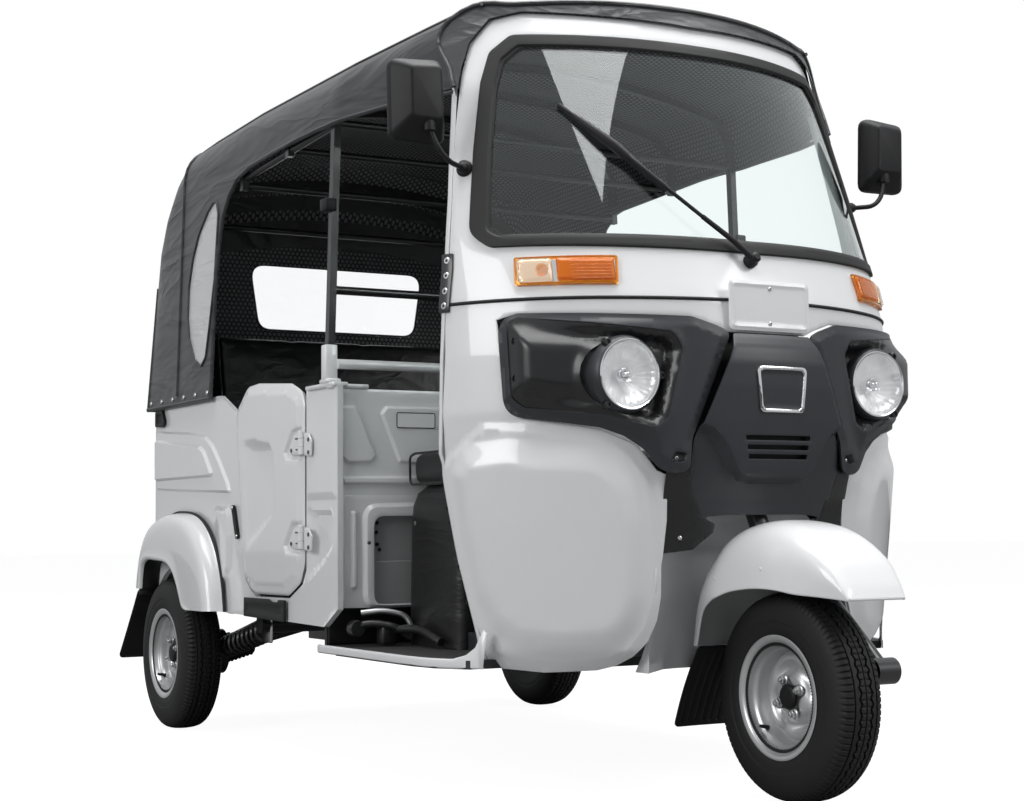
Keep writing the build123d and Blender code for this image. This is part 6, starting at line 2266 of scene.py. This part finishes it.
@dataclass
class Bulkhead:
    """Pressed wall behind the driver, with its arch, blank plate, rail and the well below, whose black back and roof
    are painted shade.

    Attributes:
        face: how far behind the front axle line the wall's front is.
        half_width: of the wall.
    """

    kit: Kit
    face: float = 925.0
    half_width: float = 579.0

    def build(self) -> None:
        """Builds the wall and what is fixed to it."""
        self.upper()
        self.lower()
        self.fittings()
        self.rail()
        self.well()

    def on_wall(self, x: float, z: float, h: float) -> Point3:
        """Place on the wall's front."""
        return x, self.face - h, z

    def upper(self) -> None:
        """Upper part of the wall with its raised fields."""
        half = [[(-573, 832), (-540, 834), (-489, 717), (-501, 700), (-564, 699), (-580, 715), (-580, 816)],
                [(-478, 816), (-464, 834), (-250, 836), (-250, 700), (-402, 699), (-430, 702)],
                [(-579, 670), (-250, 673), (-250, 650), (-575, 650)]]
        raised = [Pressing(turn(rounded(o, 9)), 8, 6) for turn in (list, mirrored) for o in half]
        w = self.half_width
        top = sheet("bulkhead_top", [(-w, 620), (w, 620), (w, 872), (-w, 872)], self.on_wall, 11, 3, 1,
                    pressings=raised)
        self.kit.keep(top, "body", "white_paint", "white_paint", "partition")

    def lower(self) -> None:
        """Lower part of the wall with two arched openings in their frames."""
        rib = rounded([(-556, 590), (-538, 590), (-538, 410), (-556, 410)], 8)
        arch = rounded([(-525, 364), (-525, 606), (-300, 612), (-300, 364)], 40, 8)
        opening = rounded([(-499, 372), (-499, 578), (-330, 578), (-330, 372)], 28, 8)
        raised = [Pressing(turn(edge), height, run) for edge, height, run in ((rib, 8, 6), (arch, 9, 9))
                  for turn in (list, mirrored)]
        w = self.half_width
        low = sheet("bulkhead_low", [(-w, 368), (-462, 366), (462, 366), (w, 368), (w, 626), (-w, 626)],
                    lambda x, z, h: self.on_wall(x, z, h + 4), 9, 3, 1, holes=[opening, mirrored(opening)],
                    pressings=raised)
        self.kit.keep(low, "body", "white_paint", "white_paint")

    def fittings(self) -> None:
        """Covers behind the arches, the bolts, and the blank plate in its border."""
        covers, dots = [], []
        for side in (-1, 1):
            outline = [(side * x, z) for x, z in ((-505, 366), (-505, 584), (-322, 584), (-322, 366))]
            raised = [(side * x, z) for x, z in ((-505, 474), (-322, 474), (-322, 366), (-505, 366))]
            covers.append(sheet("arch_cover", outline, lambda x, z, h: self.on_wall(x, z, h - 6), 14, 2, 0,
                                pressings=[Pressing(raised, 3, 3)]))
            for x, z in ((-484, 562), (-484, 512), (-478, 500), (-486, 540)):
                dots.append(turned("cover_bolt", [(0, 0), (4.6, 0), (4.2, 2), (0, 2)], (side * x, self.face + 4, z),
                                   (0, -1, 0), 16))
            dots.append(turned("frame_bolt", [(0, 0), (5, 0), (4.6, 2.4), (0, 2.4)],
                               (side * -512, self.face - 10.6, 516), (0, -1, 0), 16))
        self.kit.gather("arch_covers", covers, "body", "white_paint", finish="grey_sheet")
        plate = rounded([(-438, 819), (-338, 819), (-338, 784), (-438, 784)], 5)
        label = sheet("blank_plate", plate, lambda x, z, h: self.on_wall(x, z, h + 9.4), 8, 1, 0)
        dots.append(tube("plate_border", [self.on_wall(x, z, 9.6) for x, z in resampled(plate, 8)], 1.1, closed=True,
                         sides=2))
        self.kit.keep(label, "body", "plate_white", "white_paint")
        self.kit.gather("bulkhead_bolts", dots, "body", "black_metal", finish="black_metal")

    def rail(self) -> None:
        """Bar across the wall's top on two feet."""
        rail = [tube("rail", [(-578, 944, 930), (578, 944, 930)], 12)]
        rail += [block("rail_foot", (x - 10, 938, 868), (x + 10, 950, 928), 3) for x in (-200, 200)]
        self.kit.gather("bulkhead_rail", rail, "body", "white_paint", finish="white_paint")

    def well(self) -> None:
        """Space under the passenger floor, darkened by a black back and roof as painted shade, with the levers in front
        of it.
        """
        # black back and roof: painted shade of the space under the floor
        parts = [block("well_back", (-578, 990, 282), (578, 998, 372), 2),
                 block("well_roof", (-578, 930, 362), (578, 996, 370), 2)]
        for part in parts:
            self.kit.paints.on(part, "black_plastic")
        steel, dark = [], []
        for side in (-1, 1):
            dark += [tube("lever", bent([(side * 556, 900, 326), (side * 520, 884, 334), (side * 470, 862, 326),
                                         (side * 436, 852, 300)], 24), 9),
                     tube("lever", bent([(side * 470, 880, 318), (side * 440, 800, 322), (side * 436, 700, 296)], 30),
                          10),
                     turned("lever_boss", [(0, -14), (17, -14), (19, -10), (19, 10), (17, 14), (0, 14)],
                            (side * 552, 900, 322), (0, 1, 0), 28),
                     side_block("lever_foot", side, (500, 460), (868, 284), (904, 330), 6)]
            steel += [tube("link", bent([(side * 536, 905, 356), (side * 490, 884, 362), (side * 440, 868, 350),
                                         (side * 428, 860, 318)], 20), 7.5)]
        parts += [self.kit.paints.on(p, "black_metal") for p in dark]
        parts += [self.kit.paints.on(p, "bright_steel") for p in steel]
        self.kit.gather("floor_levers", parts, "body", "black_metal")


@dataclass
class Rear:
    """Rear wall, engine hatch, lamps and bumper.

    Attributes:
        half_width: of the wall.
        face: how far behind the front axle line it stands.
        corner: radius of its upright edges.
    """

    kit: Kit
    half_width: float = 600.0
    face: float = 2222.0
    corner: float = 42.0

    def build(self) -> None:
        """Builds the rear."""
        self.wall()
        self.hatch()
        for side, word in SIDES:
            self.lamp(side, word)
        self.bumper()

    def along(self, t: float, z: float, h: float) -> Point3:
        """Place on the rear wall at a length t from its middle."""
        side, t = (1 if t >= 0 else -1), abs(t)
        flat, bend, bend_s = self.half_width - self.corner, self.corner * pi / 2, self.face - self.corner
        if t <= flat:
            return side * t, self.face + h, z
        if t <= flat + bend:
            a = (t - flat) / self.corner
            return side * (flat + (self.corner + h) * sin(a)), bend_s + (self.corner + h) * cos(a), z
        return side * (self.half_width + h), bend_s - (t - flat - bend), z

    def wall(self) -> None:
        """Pressed wall round the hatch."""
        end = self.half_width - self.corner + self.corner * pi / 2
        outline = [(-end, 384), (end, 384), (end, 905), (-end, 905)]
        hatch = rounded([(-330, 430), (330, 430), (330, 790), (-330, 790)], 16)
        band = rounded([(-545, 815), (545, 815), (545, 885), (-545, 885)], 14)
        pressings = [Pressing(band, 5, 10)]
        for side in (-1, 1):
            lamp = rounded([(side * x, z) for x, z in ((428, 588), (552, 588), (552, 792), (428, 792))], 12)
            low = rounded([(side * x, z) for x, z in ((360, 420), (552, 420), (552, 560), (360, 560))], 18)
            pressings += [Pressing(lamp, -6, 8), Pressing(low, 5, 12)]
        piece = sheet("rear_wall", outline, lambda t, z, h: self.along(t, z, h - 3), 12, 14, 2, holes=[hatch],
                      pressings=pressings)
        self.kit.keep(piece, "body", "white_paint", "white_paint", "rear_panel")

    def hatch(self) -> None:
        """Engine hatch with louvres, its hinges and lock."""
        outline = rounded([(-324, 436), (324, 436), (324, 784), (-324, 784)], 14)
        slots = [Pressing(rounded([(x, z), (x + 200, z), (x + 200, z + 12), (x, z + 12)], 5), -6, 5)
                 for x in (-230, 30) for z in (520, 550, 580, 610, 640, 670)]
        leaf = sheet("hatch_leaf", outline, lambda x, z, h: (x, self.face - 3 + h, z), 11, 14, 3,
                     pressings=[Pressing(rounded([(-300, 460), (300, 460), (300, 760), (-300, 760)], 20), 4, 12),
                                *slots])
        lock = turned("hatch_lock", [(0, 0), (18, 0), (18, 5), (15, 9), (6, 10), (6, 6), (0, 6)], (0, self.face, 466),
                      (0, 1, 0), 32)
        parts = [self.kit.paints.on(leaf, "white_paint"), self.kit.paints.on(lock, "black_plastic")]
        fixed = []
        for x in (-200, 200):
            for low, high, to in ((-28, -10, fixed), (-9.4, 9.4, parts), (10, 28, fixed)):
                profile = [(0, low), (7.4, low), (8, low + 1), (8, high - 1), (7.4, high), (0, high)]
                barrel = turned("hatch_barrel", profile, (x, self.face + 10, 796), (1, 0, 0), 28)
                to.append(self.kit.paints.on(barrel, "black_metal"))
            for name, half, low, high, to in (("hatch_leaf_arm", 9, 766, 796, parts),
                                              ("hatch_plate", 28, 798, 826, fixed)):
                arm = block(name, (x - half, self.face, low), (x + half, self.face + 6, high), 1.5)
                to.append(self.kit.paints.on(arm, "black_metal"))
        self.kit.gather("hatch_dressed", parts, "hatch", "white_paint", "engine_hatch")
        self.kit.gather("hatch_hinges", fixed, "body", "black_metal", "hinges")

    def lamp(self, side: int, word: str) -> None:
        """Tail lamp with three lenses in a dark housing."""
        low, high = sorted((side * 440, side * 540))
        parts = [self.kit.paints.on(block("lamp_back", (low, 2218, 600), (high, 2236, 780), 5, 3), "black_plastic")]
        for z0, z1, lens in ((606, 662, "red_lens"), (666, 718, "amber_lens"), (722, 774, "red_lens")):
            rows = [Pressing([(low + 10, z), (high - 10, z), (high - 10, z + 3), (low + 10, z + 3)], -1.2, 1.2)
                    for z in np.arange(z0 + 8, z1 - 8, 8.0)]
            outline = rounded([(low + 5, z0), (high - 5, z0), (high - 5, z1), (low + 5, z1)], 5)
            parts.append(self.kit.paints.on(sheet("lens", outline, lambda x, z, h: (x, 2242 + h, z), 5.5, 6, 1.5,
                                                  pressings=rows), lens))
            parts.append(self.kit.paints.on(block("lens_back", (low + 8, 2235, z0 + 3), (high - 8, 2236.6, z1 - 3), 0),
                                            "chrome"))
        self.kit.gather(f"tail_lamp_{word}", parts, "body", "red_lens", *once(side, "tail_lamps"))

    def bumper(self) -> None:
        """Tubular bumper on two brackets, with capped ends."""
        parts = [tube("bumper_tube", [(-498, 2262, 340), (498, 2262, 340)], 19, sides=8)]
        for side in (-1, 1):
            parts.append(side_block("bumper_arm", side, (240, 270), (2150, 325), (2262, 355), 4))
            parts.append(turned("bumper_cap", [(19.6, -10), (20.4, -8), (20.4, 4), (16, 7), (0, 8)],
                                (side * 494, 2262, 340), (side, 0, 0), 40))
        self.kit.gather("rear_bumper_dressed", parts, "body", "black_metal", "rear_bumper", finish="black_metal")


# ------------------------------------------------------------------ seats


@dataclass(frozen=True)
class Cushion:
    """One stuffed piece.

    Attributes:
        name: the piece's name.
        node: frame node that it stands for.
        outline: section (s, z) of the cushion.
        half_width: across the vehicle.
        swell: cap on how far a place may move, in millimetres.
        channels: places across, where a sewn channel runs.
    """

    name: str
    node: str
    outline: tuple[Point2, ...]
    half_width: float
    swell: float
    channels: tuple[float, ...]


CUSHIONS = (
    Cushion("driver_cushion", "driver_seat", ((648, 650), (907, 650), (909, 716), (880, 722), (670, 722), (646, 712)),
            410, 8, (-205, 0, 205)),
    Cushion("bench_cushion", "passenger_seat", ((1553, 566), (1977, 566), (1977, 668), (1560, 670), (1551, 655)),
            470, 9, (-235, 0, 235)),
    Cushion("back_cushion", "passenger_backrest", ((1940, 686), (2034, 686), (2101, 1112), (2028, 1112)),
            470, 8, (-235, 0, 235)),
)


@dataclass
class Seats:
    """Vinyl cushions with piping and sewn channels, and the covered box under the driver.

    Attributes:
        voxel: size of the cushions' mesh in metres.
        quick_voxel: the same, meant for a run without the cloth; not used.
        channel_depth: of a sewn channel.
        channel_width: from its middle to where it is about a third as deep.
        frames: of the cloth's run.
    """

    kit: Kit
    voxel: float = 0.0125
    quick_voxel: float = 0.014
    channel_depth: float = 6.0
    channel_width: float = 7.0
    frames: int = 20

    def build(self) -> None:
        """Builds the cushions and the box."""
        for cushion in CUSHIONS:
            self.cushion(cushion)
        self.box()

    def cushion(self, c: Cushion) -> None:
        """Blows up one cushion with the cloth solver and sews its channels and piping.

        Args:
            c: the cushion's sizes.
        """
        section = rounded(c.outline, 16, 4)
        rows = [[(x, s, z) for s, z in section] for x in np.linspace(-c.half_width, c.half_width, 60)]
        start = loft(f"{c.name}_form", rows, across_closed=True, caps=True)
        shape = bmesh.new()
        shape.from_mesh(start.data)
        bmesh.ops.recalc_face_normals(shape, faces=shape.faces)
        shape.to_mesh(start.data)
        shape.free()
        pad = link(c.name, start.data.copy())
        bpy.data.objects.remove(start)
        remesh = pad.modifiers.new("remesh", "REMESH")
        remesh.mode, remesh.voxel_size = "VOXEL", self.voxel
        settle(pad, 180)
        before = np.array([v.co[:] for v in pad.data.vertices])
        self.inflate(pad, before, c.swell)
        after = np.array([v.co[:] for v in pad.data.vertices])
        across = before[:, 0] / MM
        for x in c.channels:
            deep = self.channel_depth * np.exp(-((across - x) / self.channel_width) ** 2)
            centre = before.mean(0)
            inward = centre[1:] - after[:, 1:]
            inward /= np.maximum(np.linalg.norm(inward, axis=1), 1e-6)[:, None]
            after[:, 1:] += inward * deep[:, None] * MM
        pad.data.vertices.foreach_set("co", after.ravel())
        finer = pad.modifiers.new("finer", "SUBSURF")
        finer.levels = finer.render_levels = 1
        settle(pad, 180)
        self.kit.keep(pad, "body", "seat_vinyl", "seat_vinyl", c.node)
        edges = []
        for side in (-1, 1):
            line = [(side * (c.half_width - 2), s, z) for s, z in resampled(section, 14)]
            edges.append(self.kit.paints.on(tube("piping", line, 3.2, closed=True, sides=2), "seat_vinyl"))
        self.kit.gather(f"{c.name}_piping", edges, "body", "seat_vinyl")

    def inflate(self, pad: bpy.types.Object, before: np.ndarray, cap: float) -> None:
        """Runs the cloth and limits how far each place moved.

        Args:
            pad: the cushion.
            before: its places at the start, in metres.
            cap: the limit in millimetres.
        """
        cloth = pad.modifiers.new("cloth", "CLOTH")
        cloth.settings.use_pressure = True
        cloth.settings.uniform_pressure_force = 4
        cloth.settings.effector_weights.gravity = 0
        cloth.point_cache.frame_start, cloth.point_cache.frame_end = 1, self.frames
        scene = bpy.context.scene
        for frame in range(1, self.frames + 1):
            scene.frame_set(frame)
        solved = pad.evaluated_get(bpy.context.evaluated_depsgraph_get())
        moved = np.array([v.co[:] for v in solved.data.vertices]) - before
        pad.modifiers.remove(cloth)
        scene.frame_set(1)
        length = np.linalg.norm(moved, axis=1)
        moved *= np.minimum(1.0, cap * MM / np.maximum(length, 1e-9))[:, None]
        pad.data.vertices.foreach_set("co", (before + moved).ravel())
        pad.data.update()

    def box(self) -> None:
        """Vinyl-covered box under the driver's cushion, screwed at its foot."""
        rows = []
        corner = rounded([(-414, 655), (414, 655), (414, 905), (-414, 905)], 30, 7)
        for z, inset in ((281, 0), (300, 0), (420, 1), (560, 3), (600, 6), (626, 14), (640, 28), (643, 60)):
            kx, ks = (414 - inset) / 414, (125 - inset) / 125
            rows.append([(x * kx, 780 + (s - 780) * ks, z) for x, s in corner])
        shell = loft("seat_box", rows, 5, 0, across_closed=True, flip=True)
        top = block("seat_box_top", (-380, 690, 634), (380, 870, 643), 2)
        parts = [self.kit.paints.on(shell, "seat_vinyl"), self.kit.paints.on(top, "black_plastic")]
        for side in (-1, 1):
            for s, z in ((700, 330), (868, 400), (868, 560)):
                parts.append(self.kit.paints.on(screw("box_screw", (side * 413.5, s, z), (side, 0, 0), 6),
                                                "bright_steel"))
        self.kit.gather("driver_seat_box", parts, "body", "dark_plastic", "driver_seat_base")


ASSEMBLIES = (CabShell, Windscreen, Fascias, CentrePanel, Lamps, Hood, Wheels, FrontFender, SideBody, Bulkhead, Rear,
              Seats)


# ------------------------------------------------------------------ carried-over pieces, studio and camera

CARRIED: dict[str, str] = {
    "centre_fascia": "charcoal_plastic", "chassis_frame": "black_metal", "dashboard": "black_plastic",
    "door_left": "white_paint", "door_right": "white_paint", "driver_seat": "seat_vinyl",
    "driver_seat_base": "black_plastic", "engine": "cast_metal", "engine_hatch": "white_paint",
    "floor_controls": "black_metal", "floor_pan": "floor_mat", "front_cowl": "white_paint",
    "front_fender": "white_paint", "front_indicators": "amber_lens", "front_mudflap": "black_rubber",
    "handlebar": "black_metal", "head_tube": "black_metal", "headlamp_fascias": "charcoal_plastic",
    "headlamps": "chrome", "hinges": "black_metal", "hood": "hood_vinyl", "hood_frame": "black_metal",
    "hood_windows": "window_sheet", "mirrors": "black_plastic", "number_plate": "plate_white",
    "partition": "white_paint", "passenger_backrest": "seat_vinyl", "passenger_seat": "seat_vinyl",
    "passenger_seat_base": "black_plastic", "rear_bumper": "black_metal", "rear_fenders": "white_paint",
    "rear_mudflaps": "black_rubber", "rear_panel": "white_paint", "rim_front": "wheel_paint",
    "rim_rear_left": "wheel_paint", "rim_rear_right": "wheel_paint", "side_panels": "white_paint",
    "steering_fork": "black_metal", "step_plates": "black_rubber", "tail_lamps": "red_lens",
    "trailing_arms": "black_metal", "tyre_front": "tyre_rubber", "tyre_rear_left": "tyre_rubber",
    "tyre_rear_right": "tyre_rubber", "wheel_housings": "black_plastic", "windscreen_frame": "white_paint",
    "windscreen_glass": "screen_glass", "windscreen_seal": "black_rubber", "wiper": "black_plastic",
}


def finish_carried(paints: Paints, nodes: dict[str, bpy.types.Object]) -> None:
    """Gives every node of the frame its finish."""
    for name, finish in CARRIED.items():
        node = nodes[name]
        if not node.material_slots:
            node.data.materials.append(paints[finish])
        for material_slot in node.material_slots:
            material_slot.material = paints[finish]


@dataclass(frozen=True)
class Studio:
    """White room with soft lights, most of them high and from the vehicle's left front.

    Attributes:
        white: how bright the surroundings look, seen directly or through a window.
        fill: how much light they give.
        mirrored: how bright they look in glossy surfaces.
        bounce: how pale the floor is as the vehicle's surfaces see it.
        matt: how pale the floor is where it is seen, for the light and shadow that fall on it.
        glow: its own light where it is seen.
    """

    white: float = 1.0
    fill: float = 0.17
    mirrored: float = 0.60
    bounce: float = 0.27
    matt: float = 0.2
    glow: float = 0.95

    def build(self) -> None:
        """Builds the floor, the surroundings and the lights."""
        self.floor()
        self.surroundings()
        self.softbox("top_light", (0.2, -0.6, 5.4), (0, -0.2, 0), (5.0, 5.0), 430)
        self.softbox("key_light", (3.4, -6.4, 4.4), (0.1, -0.8, 0.9), (3.0, 3.0), 165)
        self.softbox("side_light", (-6.2, -1.6, 3.0), (0, 0, 0.9), (3.6, 2.6), 165)

    def seen(self, graph: Graph) -> bpy.types.NodeSocket:
        """One where a ray comes straight from the camera or through a window."""
        path = graph.add("ShaderNodeLightPath")
        return graph.math("MAXIMUM", path.outputs["Is Camera Ray"], path.outputs["Is Transmission Ray"])

    def floor(self) -> None:
        """Pale floor that runs out of sight and takes only a faint shadow."""
        floor = mesh_of("floor", [(-40, -40, 0), (40, -40, 0), (40, 40, 0), (-40, 40, 0)], [(0, 1, 2, 3)])
        material = bpy.data.materials.new("studio_floor")
        material.use_nodes = True
        graph = Graph(material.node_tree)
        graph.tree.nodes.clear()
        matt = graph.add("ShaderNodeBsdfDiffuse")
        matt.inputs["Color"].default_value = (self.matt, self.matt, self.matt, 1)
        glow = graph.add("ShaderNodeEmission")
        glow.inputs["Strength"].default_value = self.glow
        both = graph.add("ShaderNodeAddShader")
        under = graph.add("ShaderNodeBsdfDiffuse")
        under.inputs["Color"].default_value = (self.bounce, self.bounce, self.bounce, 1)
        mix = graph.add("ShaderNodeMixShader")
        out = graph.add("ShaderNodeOutputMaterial")
        graph.join(matt.outputs[0], both.inputs[0])
        graph.join(glow.outputs[0], both.inputs[1])
        graph.join(self.seen(graph), mix.inputs[0])
        graph.join(under.outputs[0], mix.inputs[1])
        graph.join(both.outputs[0], mix.inputs[2])
        graph.join(mix.outputs[0], out.inputs["Surface"])
        floor.data.materials.append(material)

    def surroundings(self) -> None:
        """White where they are seen, softer as a source of light."""
        world = bpy.data.worlds.new("studio")
        bpy.context.scene.world = world
        world.use_nodes = True
        graph = Graph(world.node_tree)
        graph.tree.nodes.clear()
        shown = graph.add("ShaderNodeBackground")
        shown.inputs["Strength"].default_value = self.white
        shown.inputs["Color"].default_value = (1, 1, 1, 1)
        lit = graph.add("ShaderNodeBackground")
        lit.inputs["Color"].default_value = (0.95, 0.975, 1.0, 1)
        mix = graph.add("ShaderNodeMixShader")
        out = graph.add("ShaderNodeOutputWorld")
        glossy = graph.add("ShaderNodeLightPath").outputs["Is Glossy Ray"]
        strength = graph.math("MULTIPLY_ADD", glossy, self.mirrored - self.fill, self.fill)
        graph.join(strength, lit.inputs["Strength"])
        graph.join(self.seen(graph), mix.inputs[0])
        graph.join(lit.outputs[0], mix.inputs[1])
        graph.join(shown.outputs[0], mix.inputs[2])
        graph.join(mix.outputs[0], out.inputs["Surface"])

    def softbox(self, name: str, place: Point3, target: Point3, size: Point2, power: float) -> None:
        """Rectangular lamp at a place in metres, turned to a target."""
        lamp = bpy.data.lights.new(name, "AREA")
        lamp.shape = "RECTANGLE"
        lamp.size, lamp.size_y = size
        lamp.energy = power
        obj = bpy.data.objects.new(name, lamp)
        bpy.context.scene.collection.objects.link(obj)
        obj.location = place
        obj.rotation_euler = (Vector(target) - Vector(place)).to_track_quat("-Z", "Y").to_euler()


@dataclass(frozen=True)
class View:
    """Camera of the main picture, its place in metres and its angles in degrees."""

    place: Point3 = (-2.27783, -3.90491, 0.54643)
    yaw: float = 29.66
    pitch: float = 4.12
    roll: float = -0.49
    lens: float = 63.14
    shift_y: float = -0.00146

    def build(self) -> None:
        """Makes the camera and hands it to the scene."""
        camera = bpy.data.cameras.new("camera")
        camera.lens = self.lens
        camera.sensor_width = 36
        camera.shift_y = self.shift_y
        camera.clip_end = 200
        obj = bpy.data.objects.new("camera", camera)
        bpy.context.scene.collection.objects.link(obj)
        yaw, pitch, roll = radians(self.yaw), radians(self.pitch), radians(self.roll)
        ahead = Vector((sin(yaw) * cos(pitch), cos(yaw) * cos(pitch), sin(pitch)))
        level = Vector((cos(yaw), -sin(yaw), 0))
        up = level.cross(ahead)
        right = level * cos(roll) + up * sin(roll)
        over = up * cos(roll) - level * sin(roll)
        turn = Matrix((right, over, -ahead)).transposed()
        obj.matrix_world = Matrix.Translation(self.place) @ turn.to_4x4()
        bpy.context.scene.camera = obj


def main() -> None:
    """Builds the vehicle piece by piece, then the studio and the camera."""
    logging.basicConfig(level=logging.INFO, format="%(message)s", stream=sys.stdout)
    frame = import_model()
    nodes = frame["nodes"]
    bpy.context.scene.view_settings.view_transform = "Standard"
    View().build()
    build_effects()
    paints = Paints()
    finish_carried(paints, nodes)
    kit = Kit(paints, nodes)
    for part in ASSEMBLIES:
        before = set(bpy.data.objects)
        part(kit).build()
        made = [o for o in bpy.data.objects if o not in before]
        log.info("%s: %d pieces, %d faces", part.__name__, len(made), sum(len(o.data.polygons) for o in made))
    Studio().build()


if __name__ == "__main__":
    main()
